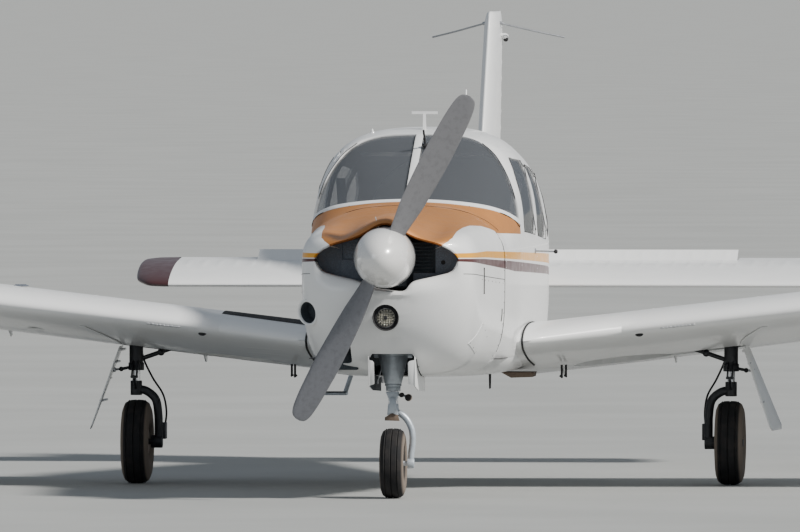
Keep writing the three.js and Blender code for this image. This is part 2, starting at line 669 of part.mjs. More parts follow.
function wingPoint(x, share, way) {
  const washed = THREE.MathUtils.clamp((x - GLOVE_END) / (WING_TIP_RIB - GLOVE_END), 0, 1.1);
  const incidence = radians(INCIDENCE_ROOT + (INCIDENCE_TIP - INCIDENCE_ROOT) * washed);
  const glove = GLOVE_DEPTH * THREE.MathUtils.clamp((GLOVE_END - x) / (GLOVE_END - WING_LEADING_AT), 0, 1);
  const ends = share <= 0 || share >= 1;
  const bend = ends ? 0 : -((1 - share) * Math.log(1 - share) + share * Math.log(share)) / Math.PI;
  const height = 0.1 * bend + (way * fullness(share) * WING_THICKNESS) / 2;
  const along = share * Math.cos(incidence) + height * Math.sin(incidence);
  const up = height * Math.cos(incidence) - share * Math.sin(incidence);
  const station = WING_LEADING_STATION + WING_CHORD * along - glove * Math.max(0, 1 - share / 0.35);
  const root = WING_LEADING_HEIGHT + DIHEDRAL_SLOPE * (x - WING_LEADING_AT);
  return [station, root + WING_CHORD * up];
}

const wingRing = (side, x) => sectionRing(12).map(([share, way]) => {
  const [station, height] = wingPoint(x, share, way);
  return new THREE.Vector3(side * x, aft(station), height);
});

// The tip fairing shrinks towards a point on the section.
// The columns are distance out from the tip rib and share of the full section.
const WING_TIP = [[0, 1], [90, 0.965], [180, 0.85], [235, 0.66], [SPAN / 2 - WING_TIP_RIB, 0.42]];
const tipRing = (side, [out, size]) => {
  const [middle, level] = wingPoint(WING_TIP_RIB, 0.62, 1);
  return sectionRing(12).map(([share, way]) => {
    const [station, height] = wingPoint(WING_TIP_RIB, share, way);
    const x = side * (WING_TIP_RIB + FIT_GAP + out * (1 - FIT_GAP / (SPAN / 2 - WING_TIP_RIB)));
    const z = level + (height - level) * size + DIHEDRAL_SLOPE * out * 0.8;
    return new THREE.Vector3(x, aft(middle + (station - middle) * size), z);
  });
};

// Loft an outline of [station, height] offsets along a hinge line on the wing.
// The ends are square to the line, so that what turns about it keeps its gap there.
function alongHinge(side, hinge, [from, to], offsets) {
  const [first, last] = [hinge(from), hinge(to)];
  const slope = first.map((value, i) => (last[i] - value) / (to - from));
  const stretch = 1 + slope[0] ** 2 + slope[1] ** 2;
  return loft([from, to].map((x) => {
    const [station, height] = hinge(x);
    return offsets.map(([s, z]) => {
      const back = (slope[0] * s + slope[1] * z) / stretch;
      return new THREE.Vector3(
        side * (x - back), aft(station + s - slope[0] * back), height + z - slope[1] * back);
    });
  }));
}

const arc = (radius, from, to, steps) => Array.from({ length: steps + 1 }, (_, i) => {
  const angle = radians(from + ((to - from) * i) / steps);
  return [radius * Math.cos(angle), radius * Math.sin(angle)];
});

const BEHIND = 420;
const middleHinge = (x) => {
  const [low, high] = [wingPoint(x, HINGE_CHORD, -1), wingPoint(x, HINGE_CHORD, 1)];
  return [(low[0] + high[0]) / 2, (low[1] + high[1]) / 2];
};
const lowerHinge = (x) => wingPoint(x, HINGE_CHORD, -1);
const hingeDepth = (() => {
  const [low, high] = [wingPoint(3000, HINGE_CHORD, -1), wingPoint(3000, HINGE_CHORD, 1)];
  return Math.hypot(high[0] - low[0], high[1] - low[1]);
})();
const AILERON_NOSE = hingeDepth / 2 - 1;
const FLAP_NOSE = hingeDepth - 2;

const WHEEL_WELL = { x: 1010, station: MAIN_STATION, radius: 262, roof: 118 };
const JACK_PAD = { x: 2700, station: 3030, face: 868, radius: 24 };

for (const [name, side] of SIDES) {
  const blade = loft([WING_ROOT, WING_LEADING_AT, GLOVE_END, WING_TIP_RIB].map((x) => wingRing(side, x)));
  const rear = [[BEHIND, -200], [BEHIND, 200]];
  const aileronSpace = alongHinge(side, middleHinge, AILERON_SPAN,
    [[-AILERON_NOSE - MOVING_GAP, -200], ...rear, [-AILERON_NOSE - MOVING_GAP, 200]]);
  const flapSpace = alongHinge(side, lowerHinge, FLAP_SPAN,
    [[-FLAP_NOSE - MOVING_GAP, -60], ...rear, [0, 200], ...arc(FLAP_NOSE + MOVING_GAP, 90, 180, 6)]);
  const wellFloor = wingPoint(WHEEL_WELL.x, 0.5, -1)[1];
  const well = rod([side * WHEEL_WELL.x, WHEEL_WELL.station, wellFloor + WHEEL_WELL.roof],
    [side * WHEEL_WELL.x, WHEEL_WELL.station, wellFloor - 200], WHEEL_WELL.radius, WHEEL_WELL.radius, 24);
  const legSlot = sideBox(side, [1200, 1655], [3115, 3285], [500, 815]);
  const jackPad = rod([side * JACK_PAD.x, JACK_PAD.station, JACK_PAD.face + 60],
    [side * JACK_PAD.x, JACK_PAD.station, JACK_PAD.face], JACK_PAD.radius);
  const wing = blade.subtract(wholeBody).subtract(aileronSpace).subtract(flapSpace)
    .subtract(well).subtract(legSlot).add(jackPad);
  addPiece(`wing_${name}`, largest(wing), 'white');
  addPiece(`wing_tip_${name}`, loft(WING_TIP.map((row) => tipRing(side, row))), 'maroon');

  const inside = ([from, to]) => [from + MOVING_GAP, to - MOVING_GAP];
  const aileron = blade.intersect(alongHinge(side, middleHinge, inside(AILERON_SPAN),
    [[0, -200], ...rear, [0, 200]]));
  const aileronNose = alongHinge(side, middleHinge, inside(AILERON_SPAN), arc(AILERON_NOSE, 0, 345, 15).slice(0, 16));
  addPiece(`aileron_${name}`, aileron.add(aileronNose), 'white');
  const flap = blade.intersect(alongHinge(side, lowerHinge, inside(FLAP_SPAN),
    [[-FLAP_NOSE, -60], ...rear, [0, 200], ...arc(FLAP_NOSE, 90, 180, 6)]));
  addPiece(`flap_${name}`, largest(flap), 'white');
}

// Undercarriage: wheels in their own frames, legs and doors in the aircraft's

function wheel(parent, name, size, boreRadius, place) {
  const group = new THREE.Group();
  group.position.set(place[0], aft(place[1]), size.radius);
  group.rotation.z = -Math.PI / 2;
  parent.add(group);
  const { radius, width, rimRadius, rimWidth } = size;
  const [half, hub, web, barrel] = [rimWidth / 2, boreRadius + 18, 8, rimRadius - 9];
  const rimProfile = [
    [boreRadius, -half + 8], [hub, -half + 8], [hub, -web], [barrel, -web], [barrel, -half],
    [rimRadius, -half], [rimRadius, half], [barrel, half], [barrel, web], [hub, web], [hub, half - 8],
    [boreRadius, half - 8], [boreRadius, -half + 8],
  ];
  const bead = rimRadius + FIT_GAP;
  const wall = radius - bead;
  const tyreProfile = [
    [bead, -half], [bead + wall * 0.45, -width / 2], [bead + wall * 0.78, -width * 0.46],
    [radius - wall * 0.05, -width * 0.32], [radius, -width * 0.14], [radius, width * 0.14],
    [radius - wall * 0.05, width * 0.32], [bead + wall * 0.78, width * 0.46],
    [bead + wall * 0.45, width / 2], [bead, half], [bead, -half],
  ];
  const turned = (profile, facets) =>
    solid(new THREE.LatheGeometry(profile.map(([r, y]) => new THREE.Vector2(r, y)), facets));
  addPiece(`${name[0]}_rim${name[1]}`, turned(rimProfile, 20), 'beige', group);
  addPiece(`${name[0]}_tyre${name[1]}`, turned(tyreProfile, 20), 'tyre', group);
}

for (const [name, side] of SIDES) {
  wheel(aircraft, ['main', `_${name}`], MAIN_TYRE, MAIN_AXLE_RADIUS + 1.5, [side * TRACK_HALF, MAIN_STATION]);

  const legX = side * (TRACK_HALF + 5);
  const arm = [
    [1605, 530], [1605, 475], [1520, 462], [1482, 420], [1478, 300], [1478, 190], [1446, 190],
    [1446, 400], [1462, 470], [1510, 515], [1555, 530],
  ].map(([x, z]) => [side * x, z]);
  const leg = joined([
    rod([legX, MAIN_STATION, 790], [legX, MAIN_STATION, 605], 36),
    rod([legX, MAIN_STATION, 640], [legX, MAIN_STATION, 500], 22),
    frontPrism(arm, [MAIN_STATION - 26, MAIN_STATION + 26]),
    rod([side * 1450, MAIN_STATION, MAIN_TYRE.radius], [side * 1642, MAIN_STATION, MAIN_TYRE.radius], MAIN_AXLE_RADIUS),
    sidePrism([[3170, 660], [3085, 575], [3085, 555], [3172, 500], [3178, 520], [3110, 566], [3178, 640]],
      side > 0 ? [1565, 1595] : [-1595, -1565]),
    rod([side * 1570, MAIN_STATION, 655], [side * 1330, MAIN_STATION, 735], 13),
    rod([side * 1590, MAIN_STATION, 625], [side * 1672, MAIN_STATION, 612], 8),
    sideBox(side, [1425, 1468], [MAIN_STATION + 10, MAIN_STATION + 95], [235, 320]),
    rod([side * 1400, MAIN_STATION, 785], [side * 1650, MAIN_STATION, 785], 20),
  ]);
  addPiece(`main_leg_${name}`, leg, 'dark');

  const doorSheet = [[1668, 725], [1860, 292], [1852, 290], [1660, 723]].map(([x, z]) => [side * x, z]);
  const gearDoor = frontPrism(doorSheet, [MAIN_STATION - 170, MAIN_STATION + 170]);
  addPiece(`main_gear_door_${name}`, gearDoor, 'white');

  const noseSheet = [[470, 728], [580, 668], [760, 628], [1150, 615], [1150, 545], [700, 560], [500, 585]];
  const sheetRange = side > 0 ? [104, 110] : [-110, -104];
  addPiece(`nose_gear_door_${name}`, sidePrism(noseSheet, sheetRange), 'white');
}

// Nose leg with a bore for the steering tube, and the one-sided fork that steers in it
const noseHousing = rod([0, NOSE_STATION, 800], [0, NOSE_STATION, 555], 78, 43, 20);
const noseStays = SIDES.map(([, side]) => rod([side * 50, NOSE_STATION + 10, 778], [side * 160, 1486, 806], 14, 14, 8));
const noseBore = rod([0, NOSE_STATION, 710], [0, NOSE_STATION, 500], 32);
addPiece('nose_leg', joined([noseHousing, ...noseStays]).subtract(noseBore), 'steel');

const FORK = [
  [-34, 458], [32, 458], [78, 424], [112, 370], [127, 300], [122, 230], [106, 160], [80, 160],
  [92, 235], [98, 300], [84, 352], [52, 392], [-34, 402],
];
const fork = joined([
  rod([0, NOSE_STATION, 700], [0, NOSE_STATION, 430], 26),
  frontPrism(FORK, [NOSE_STATION - 24, NOSE_STATION + 24]),
  rod([100, NOSE_STATION, NOSE_TYRE.radius], [-48, NOSE_STATION, NOSE_TYRE.radius], NOSE_AXLE_RADIUS),
]);
addPiece('nose_fork', fork, 'steel');
wheel(aircraft, ['nose', ''], NOSE_TYRE, NOSE_AXLE_RADIUS + 1.5, [0, NOSE_STATION]);

// Boarding step and aerials
const stepStrut = rod([-455, 4060, 735], [-545, 4060, 462], 12, 12, 10);
const stepBar = box([-685, -535], [4005, 4115], [450, 466]);
addPiece('boarding_step', largest(stepStrut.add(stepBar).subtract(wholeBody)), 'dark');

const aerialMast = sidePrism([[2640, 1860], [2700, 1860], [2690, 1972], [2665, 1972]], [-7, 7]);
const aerialBar = box([-67, 67], [2664, 2692], [1964, 1978]);
addPiece('roof_antenna', largest(aerialMast.add(aerialBar).subtract(wholeBody)), 'white');
const whip = rod([0, 4990, 1610], [0, 5250, 2070], 6, 4, 8);
addPiece('whip_antenna', largest(whip.subtract(wholeBody)), 'white');

export default aircraft;
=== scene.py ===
import bisect
import json
import logging
import math
from dataclasses import dataclass, field
from enum import Enum
from typing import Callable, Iterable, Sequence

import bmesh
import bpy
from mathutils import Matrix, Vector


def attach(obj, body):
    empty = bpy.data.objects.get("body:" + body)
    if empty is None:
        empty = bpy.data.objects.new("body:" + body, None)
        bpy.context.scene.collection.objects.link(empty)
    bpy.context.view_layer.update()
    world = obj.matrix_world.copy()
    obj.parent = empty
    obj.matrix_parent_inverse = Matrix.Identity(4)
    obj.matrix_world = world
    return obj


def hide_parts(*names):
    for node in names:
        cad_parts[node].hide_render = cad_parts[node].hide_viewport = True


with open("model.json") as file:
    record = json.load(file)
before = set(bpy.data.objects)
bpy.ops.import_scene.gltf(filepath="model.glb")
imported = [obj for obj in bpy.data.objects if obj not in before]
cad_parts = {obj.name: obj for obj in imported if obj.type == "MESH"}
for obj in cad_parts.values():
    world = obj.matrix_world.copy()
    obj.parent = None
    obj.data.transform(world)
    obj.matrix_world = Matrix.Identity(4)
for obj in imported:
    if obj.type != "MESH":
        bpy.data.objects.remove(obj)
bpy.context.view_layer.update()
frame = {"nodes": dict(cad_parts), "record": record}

LOG = logging.getLogger("aircraft")
HALF_LENGTH = 3.75
WHEEL_OUT = 1.575
SIDES = (("left", 1.0), ("right", -1.0))
Colour = tuple[float, float, float, float]
Outline = Sequence[tuple[float, float]]
Place = Callable[[float, float], Vector]


class Body(str, Enum):
    """The frame's bodies that pieces ride on."""

    AIRFRAME = "airframe"
    PROPELLER = "propeller_unit"
    NOSE_FORK = "nose_steering_unit"
    NOSE_WHEEL = "nose_wheel"
    LEFT_WHEEL = "left_wheel"
    RIGHT_WHEEL = "right_wheel"
    LEFT_AILERON = "left_aileron"
    RIGHT_AILERON = "right_aileron"
    LEFT_FLAP = "left_flap"
    RIGHT_FLAP = "right_flap"
    RUDDER = "rudder_unit"
    TAILPLANE = "tailplane"
    TAB = "tab"
    DOOR = "door"
    BAGGAGE = "baggage_hatch"


class Slot(str, Enum):
    """The record's material slots."""

    WHITE = "white_paint"
    COPPER = "copper_paint"
    MAROON = "maroon_paint"
    GLASS = "glazing"
    STEEL = "gear_steel"
    DARK = "gear_dark"
    GREY = "gear_grey"
    ENGINE = "engine_metal"
    PROPELLER = "propeller_metal"
    EXHAUST = "exhaust_steel"
    TRIM = "dark_trim"
    CLOTH = "seat_cloth"
    RIM = "rim_paint"
    TYRE = "tyre_rubber"


def aft(station: float) -> float:
    """Return the Y place of a station, a distance aft of the spinner's tip."""
    return station - HALF_LENGTH


def clamp(value: float, low: float = 0.0, high: float = 1.0) -> float:
    """Return a value held between two limits."""
    return max(low, min(high, value))


class Table:
    """Rows of sizes by station, joined by smooth curves that don't overshoot."""

    def __init__(self, rows: Sequence[Sequence[float]]) -> None:
        """Work out the slopes of each column.

        Args:
            rows: The rows, each led by its station.
        """
        self.rows = rows
        self.keys = [row[0] for row in rows]
        steps = [
            [(b - a) / (high[0] - low[0]) for a, b in zip(low, high)]
            for low, high in zip(rows, rows[1:])
        ]
        self.slopes = [steps[0]]
        for before, after in zip(steps, steps[1:]):
            self.slopes.append([
                0.0 if a * b <= 0 else 2 * a * b / (a + b) for a, b in zip(before, after)
            ])
        self.slopes.append(steps[-1])

    def at(self, key: float) -> list[float]:
        """Return the row's values at a station.

        Args:
            key: The station, held inside the table.

        Returns:
            The values after the station column.
        """
        key = clamp(key, self.keys[0], self.keys[-1])
        i = min(max(bisect.bisect_right(self.keys, key) - 1, 0), len(self.keys) - 2)
        span = self.keys[i + 1] - self.keys[i]
        t = (key - self.keys[i]) / span
        weights = (
            2 * t**3 - 3 * t**2 + 1,
            (t**3 - 2 * t**2 + t) * span,
            -2 * t**3 + 3 * t**2,
            (t**3 - t**2) * span,
        )
        return [
            weights[0] * a + weights[1] * m + weights[2] * b + weights[3] * n
            for a, m, b, n in zip(
                self.rows[i], self.slopes[i], self.rows[i + 1], self.slopes[i + 1]
            )
        ][1:]


# Materials


class Graph:
    """A small builder of one material's nodes."""

    def __init__(self, name: str) -> None:
        """Start a material with its shader and object coordinates.

        Args:
            name: The material's name.
        """
        self.material = bpy.data.materials.new(name)
        self.material.use_nodes = True
        self.nodes = self.material.node_tree.nodes
        self.links = self.material.node_tree.links
        self.shader = self.nodes["Principled BSDF"]
        self.place = self.add("ShaderNodeTexCoord").outputs["Object"]

    def add(self, kind: str, **settings: object) -> bpy.types.Node:
        """Add a node with the given settings.

        Args:
            kind: The node's type.
            settings: Its attributes' values.

        Returns:
            The node.
        """
        node = self.nodes.new(kind)
        for key, value in settings.items():
            setattr(node, key, value)
        return node

    def wire(self, source: object, socket: bpy.types.NodeSocket) -> None:
        """Link a socket, or set it where the source is a plain value.

        Args:
            source: A socket or a plain value.
            socket: The socket that it feeds.
        """
        if isinstance(source, bpy.types.NodeSocket):
            self.links.new(source, socket)
        else:
            socket.default_value = source

    def maths(self, operation: str, *values: object) -> bpy.types.NodeSocket:
        """Return the result of a Math node.

        Args:
            operation: What the node does.
            values: Its inputs, as sockets or numbers.

        Returns:
            The node's output.
        """
        node = self.add("ShaderNodeMath", operation=operation)
        for value, socket in zip(values, node.inputs):
            self.wire(value, socket)
        return node.outputs[0]

    def axes(self) -> tuple[bpy.types.NodeSocket, ...]:
        """Return the X, Y and Z of the object coordinates.

        Returns:
            The three sockets.
        """
        node = self.add("ShaderNodeSeparateXYZ")
        self.wire(self.place, node.inputs[0])
        return tuple(node.outputs)

    def scaled(self, stretch: Sequence[float]) -> bpy.types.NodeSocket:
        """Return the object coordinates stretched along each axis.

        Args:
            stretch: The stretch along each axis.

        Returns:
            The coordinates' socket.
        """
        node = self.add("ShaderNodeMapping")
        self.wire(self.place, node.inputs["Vector"])
        node.inputs["Scale"].default_value = stretch
        return node.outputs[0]

    def noise(self, scale: float, detail: float = 4.0,
              stretch: Sequence[float] = (1, 1, 1)) -> bpy.types.NodeSocket:
        """Return a noise value over the object coordinates.

        Args:
            scale: How fine the noise is.
            detail: Its levels of detail.
            stretch: Its stretch along each axis.

        Returns:
            The noise's output.
        """
        node = self.add("ShaderNodeTexNoise")
        self.wire(self.scaled(stretch), node.inputs["Vector"])
        node.inputs["Scale"].default_value = scale
        node.inputs["Detail"].default_value = detail
        return node.outputs["Fac"]

    def spread(self, value: object, low: float, high: float,
               to: tuple[float, float] = (0.0, 1.0)) -> bpy.types.NodeSocket:
        """Return a value mapped smoothly from one range to another.

        Args:
            value: The value.
            low: The start of its range.
            high: The end of its range.
            to: The range that it is mapped to.

        Returns:
            The mapped value.
        """
        node = self.add("ShaderNodeMapRange", interpolation_type="SMOOTHSTEP")
        for source, socket in zip((value, low, high, *to), node.inputs):
            self.wire(source, socket)
        return node.outputs[0]

    def blend(self, share: object, first: object, second: object) -> bpy.types.NodeSocket:
        """Return two colours mixed by a share.

        Args:
            share: The second colour's share.
            first: The first colour.
            second: The second colour.

        Returns:
            The mixed colour.
        """
        node = self.add("ShaderNodeMix", data_type="RGBA")
        self.wire(share, node.inputs["Factor"])
        self.wire(first, node.inputs[6])
        self.wire(second, node.inputs[7])
        return node.outputs[2]

    def band(self, value: object, low: object, high: object,
             soft: float = 0.0012) -> bpy.types.NodeSocket:
        """Return 1 where a value lies between two edges.

        Args:
            value: The value.
            low: The lower edge.
            high: The upper edge.
            soft: Half the width over which an edge fades.

        Returns:
            The band's value.
        """
        under = self.maths("SUBTRACT", value, low)
        over = self.maths("SUBTRACT", high, value)
        inside = self.maths("MINIMUM", under, over)
        return self.spread(inside, -soft, soft)

    def bump(self, height: object, distance: float, strength: float = 1.0) -> None:
        """Raise the surface by a height.

        Args:
            height: The height's socket.
            distance: How far the greatest height is, in metres.
            strength: The bump's strength.
        """
        node = self.add("ShaderNodeBump")
        self.wire(height, node.inputs["Height"])
        node.inputs["Distance"].default_value = distance
        node.inputs["Strength"].default_value = strength
        self.wire(node.outputs[0], self.shader.inputs["Normal"])

    def set(self, **values: object) -> None:
        """Set or link the shader's sockets, named with underscores for spaces."""
        for key, value in values.items():
            self.wire(value, self.shader.inputs[key.replace("_", " ")])


@dataclass(frozen=True)
class Paint:
    """Glossy coat of paint with faint grime and a slightly uneven gloss."""

    name: str
    colour: Colour
    roughness: float = 0.3
    metallic: float = 0.0
    coat: float = 0.3
    grime: float = 0.07
    striped: bool = False

    def material(self) -> bpy.types.Material:
        """Build the paint.

        Returns:
            The new material.
        """
        graph = Graph(self.name)
        cloud = graph.spread(graph.noise(2.3, 5), 0.4, 0.85)
        streak = graph.spread(graph.noise(9.0, 4, (1, 0.12, 1)), 0.5, 0.95)
        dirt = graph.maths("MULTIPLY", graph.maths("ADD", cloud, streak), self.grime)
        dull = tuple(c * 0.62 for c in self.colour[:3]) + (1,)
        base = graph.blend(dirt, self.colour, dull)
        if self.striped:
            base = self.stripes(graph, base)
        if self.metallic:
            flake = graph.spread(graph.noise(900, 1), 0.3, 0.7, (0.9, 1.12))
            shine = graph.add("ShaderNodeHueSaturation")
            graph.wire(base, shine.inputs["Color"])
            graph.wire(flake, shine.inputs["Value"])
            base = shine.outputs[0]
        rough = graph.spread(graph.noise(14.0, 3), 0.3, 0.7, (self.roughness, self.roughness + 0.1))
        graph.set(Base_Color=base, Roughness=rough, Metallic=self.metallic,
                  Coat_Weight=self.coat, Coat_Roughness=0.06)
        return graph.material

    @staticmethod
    def stripes(graph: Graph, base: bpy.types.NodeSocket) -> bpy.types.NodeSocket:
        """Lay the gold and maroon cheat lines over a colour.

        Args:
            graph: The material's nodes.
            base: The colour below.

        Returns:
            The striped colour.
        """
        _, y, z = graph.axes()
        station = graph.maths("ADD", y, HALF_LENGTH)
        # each edge is the lesser or greater of two lines: height at the spinner's tip and slope
        lines = (
            (("MINIMUM", 1.2521, -0.0123, 1.2655, -0.0272), ("MINIMUM", 1.2686, 0.0045, 1.2934, -0.0216),
             (0.78, 0.36, 0.025, 1)),
            (("MAXIMUM", 1.25, -0.0519, 1.201, -0.0261), ("MINIMUM", 1.2494, -0.017, 1.261, -0.0306),
             (0.085, 0.024, 0.022, 1)),
        )
        end = graph.maths("LESS_THAN", station, 6.7)
        for low, high, colour in lines:
            edges = []
            for choice, first, first_slope, second, second_slope in (low, high):
                ahead = graph.maths("MULTIPLY_ADD", station, first_slope, first)
                behind = graph.maths("MULTIPLY_ADD", station, second_slope, second)
                edges.append(graph.maths(choice, ahead, behind))
            line = graph.maths("MULTIPLY", graph.band(z, *edges), end)
            base = graph.blend(line, base, colour)
        return base


@dataclass(frozen=True)
class Metal:
    """Bare or painted metal with a fine grain and worn spots."""

    name: str
    colour: Colour
    roughness: float = 0.35
    metallic: float = 1.0
    wear: float = 0.3

    def material(self) -> bpy.types.Material:
        """Build the metal.

        Returns:
            The new material.
        """
        graph = Graph(self.name)
        spots = graph.spread(graph.noise(38, 6), 0.45, 0.7)
        shade = tuple(c * 0.5 for c in self.colour[:3]) + (1,)
        base = graph.blend(graph.maths("MULTIPLY", spots, self.wear), self.colour, shade)
        rough = graph.spread(graph.noise(120, 3), 0.3, 0.7, (self.roughness, self.roughness + 0.18))
        graph.set(Base_Color=base, Roughness=rough, Metallic=self.metallic)
        graph.bump(graph.noise(220, 3), 0.0004, 0.25)
        return graph.material


@dataclass(frozen=True)
class Glass:
    """Thin tinted acrylic."""

    name: str
    colour: Colour
    alpha: float = 0.3
    flute: float = 0.0

    def material(self) -> bpy.types.Material:
        """Build the glazing.

        Returns:
            The new material.
        """
        graph = Graph(self.name)
        smear = graph.spread(graph.noise(5, 6), 0.4, 0.8, (0.03, 0.09))
        graph.set(Base_Color=self.colour, Roughness=smear, Alpha=self.alpha, IOR=1.9, Coat_Weight=0.6)
        if self.flute:
            x, _, z = graph.axes()
            turns = [graph.maths("MULTIPLY", axis, math.tau / self.flute) for axis in (x, z)]
            waves = [graph.maths("SINE", turn) for turn in turns]
            graph.bump(graph.maths("ADD", *waves), 0.002, 1.0)
        return graph.material


@dataclass(frozen=True)
class Rubber:
    """Dusty tyre rubber or soft black seal."""

    name: str
    colour: Colour = (0.018, 0.018, 0.02, 1)
    dust: Colour = (0.12, 0.11, 0.095, 1)
    amount: float = 0.35
    walls: float = 0.0

    def material(self) -> bpy.types.Material:
        """Build the rubber.

        Returns:
            The new material.
        """
        graph = Graph(self.name)
        dusty = graph.maths("MULTIPLY", graph.spread(graph.noise(17, 6), 0.4, 0.75), self.amount)
        if self.walls:
            out = graph.maths("ABSOLUTE", graph.axes()[0])
            main = graph.maths("ABSOLUTE", graph.maths("SUBTRACT", out, WHEEL_OUT))
            wall = graph.spread(graph.maths("MINIMUM", out, main), 0.05, 0.062)
            dusty = graph.maths("MAXIMUM", dusty, graph.maths("MULTIPLY", wall, self.walls))
        graph.set(Base_Color=graph.blend(dusty, self.colour, self.dust), Roughness=0.82,
                  Specular_IOR_Level=0.3)
        graph.bump(graph.noise(320, 3), 0.0006, 0.4)
        return graph.material


@dataclass(frozen=True)
class Cloth:
    """Woven seat cloth."""

    name: str
    colour: Colour
    thread: float = 0.0022

    def material(self) -> bpy.types.Material:
        """Build the cloth.

        Returns:
            The new material.
        """
        graph = Graph(self.name)
        x, y, z = graph.axes()
        across = graph.maths("SINE", graph.maths("MULTIPLY", x, math.tau / self.thread))
        along = graph.maths("ADD", y, z)
        along = graph.maths("SINE", graph.maths("MULTIPLY", along, math.tau / self.thread))
        weave = graph.maths("MULTIPLY", across, along)
        shade = tuple(c * 0.6 for c in self.colour[:3]) + (1,)
        tone = graph.blend(graph.spread(weave, -1, 1, (0.0, 0.6)), self.colour, shade)
        patch = graph.blend(graph.spread(graph.noise(6, 4), 0.35, 0.7, (0.0, 0.35)), tone, shade)
        graph.set(Base_Color=patch, Roughness=0.9, Sheen_Weight=0.25)
        graph.bump(weave, 0.0008, 0.5)
        return graph.material


@dataclass(frozen=True)
class Grit:
    """Coarse matt coat, as on a walkway or crackle-finished panel."""

    name: str
    colour: Colour
    scale: float = 700.0

    def material(self) -> bpy.types.Material:
        """Build the coat.

        Returns:
            The new material.
        """
        graph = Graph(self.name)
        speck = graph.spread(graph.noise(self.scale, 2), 0.35, 0.7)
        pale = tuple(min(1.0, c * 2.2 + 0.02) for c in self.colour[:3]) + (1,)
        worn = graph.maths("MULTIPLY", speck, graph.spread(graph.noise(5, 4), 0.3, 0.8, (0.15, 0.6)))
        graph.set(Base_Color=graph.blend(worn, self.colour, pale), Roughness=0.85)
        graph.bump(speck, 0.001, 0.5)
        return graph.material


class Finish(Enum):
    """The finishes of the aircraft's pieces."""

    WHITE = Paint("plain_white_paint", (0.8, 0.805, 0.8, 1))
    STRIPED = Paint("striped_white_paint", (0.8, 0.805, 0.8, 1), striped=True)
    COPPER = Paint("copper_metallic_paint", (0.5, 0.205, 0.055, 1), 0.44, 0.3, 0.12, 0.06)
    MAROON = Paint("maroon_paint", (0.047, 0.014, 0.015, 1), 0.32, 0.0, 0.25, 0.05)
    PEARL = Paint("pearl_white_paint", (0.78, 0.77, 0.75, 1), 0.2, 0.1, 0.9, 0.03)
    GLASS = Glass("smoked_glazing", (0.14, 0.15, 0.165, 1), 0.36)
    LENS = Glass("fluted_lens", (0.42, 0.4, 0.33, 1), 0.8, 0.013)
    BAFFLE = Grit("grey_baffle", (0.1, 0.118, 0.145, 1), 160)
    STEEL = Metal("satin_steel", (0.42, 0.43, 0.45, 1))
    CHROME = Metal("polished_chrome", (0.75, 0.76, 0.78, 1), 0.1, 1.0, 0.1)
    DARK = Metal("black_gear_enamel", (0.03, 0.032, 0.036, 1), 0.38, 0.3, 0.4)
    GREY = Metal("grey_gear_enamel", (0.5, 0.55, 0.6, 1), 0.32, 0.35, 0.25)
    MUD = Metal("mud_brown_enamel", (0.16, 0.115, 0.085, 1), 0.7, 0.0, 0.5)
    BRIGHT = Metal("cast_alloy", (0.6, 0.61, 0.62, 1), 0.4, 0.9, 0.4)
    EXHAUST = Metal("heat_stained_steel", (0.16, 0.125, 0.1, 1), 0.55, 0.8, 0.7)
    BLADE = Metal("grey_blade_paint", (0.2, 0.2, 0.21, 1), 0.42, 0.4, 0.25)
    # painted shade: a near-black stand-in for the shade inside the inlet, exhaust well, engine bay, nose
    # bay and gear doors
    SHADOW = Grit("painted_shadow_blue_grey", (0.03, 0.038, 0.046, 1), 160)
    TRIM = Grit("black_trim", (0.018, 0.018, 0.02, 1), 500)
    WALKWAY = Grit("walkway_grit", (0.02, 0.02, 0.022, 1), 700)
    CLOTH = Cloth("brown_grey_seat_cloth", (0.22, 0.19, 0.17, 1))
    # painted shade: the headlining cloth is darkened to stand for the shade inside the cabin
    LINING = Cloth("grey_headlining", (0.27, 0.265, 0.25, 1), 0.004)
    CARPET = Cloth("dark_carpet", (0.05, 0.048, 0.05, 1), 0.006)
    WEBBING = Cloth("grey_webbing", (0.12, 0.12, 0.125, 1), 0.003)
    DIAL = Paint("white_dial_marks", (0.85, 0.85, 0.82, 1), 0.4, 0.0, 0.0, 0.0)
    RIM = Metal("beige_wheel_enamel", (0.5, 0.41, 0.34, 1), 0.42, 0.1, 0.3)
    TYRE = Rubber("tyre_tread_rubber", (0.012, 0.012, 0.013, 1), (0.26, 0.21, 0.17, 1), 0.05, 0.7)
    SEAL = Rubber("black_seal_rubber", amount=0.15)
    RED = Glass("red_lens", (0.55, 0.01, 0.01, 1), 0.85)
    GREEN = Glass("green_lens", (0.01, 0.35, 0.08, 1), 0.85)


MATERIALS: dict[Finish, bpy.types.Material] = {}


def material(finish: Finish) -> bpy.types.Material:
    """Return a finish's material, built once.

    Args:
        finish: The finish.

    Returns:
        Its material.
    """
    if finish not in MATERIALS:
        MATERIALS[finish] = finish.value.material()
    return MATERIALS[finish]


# Mesh tools


def added(name: str, data: bpy.types.ID) -> bpy.types.Object:
    """Return a new object in the scene.

    Args:
        name: Its name.
        data: Its mesh, lamp or camera.

    Returns:
        The object.
    """
    item = bpy.data.objects.new(name, data)
    bpy.context.scene.collection.objects.link(item)
    return item


def baked(item: bpy.types.Object) -> bpy.types.Mesh:
    """Return an object's mesh with its modifiers applied, and take them off.

    Args:
        item: The object.

    Returns:
        The mesh.
    """
    graph = bpy.context.evaluated_depsgraph_get()
    mesh = bpy.data.meshes.new_from_object(item.evaluated_get(graph))
    item.modifiers.clear()
    return mesh


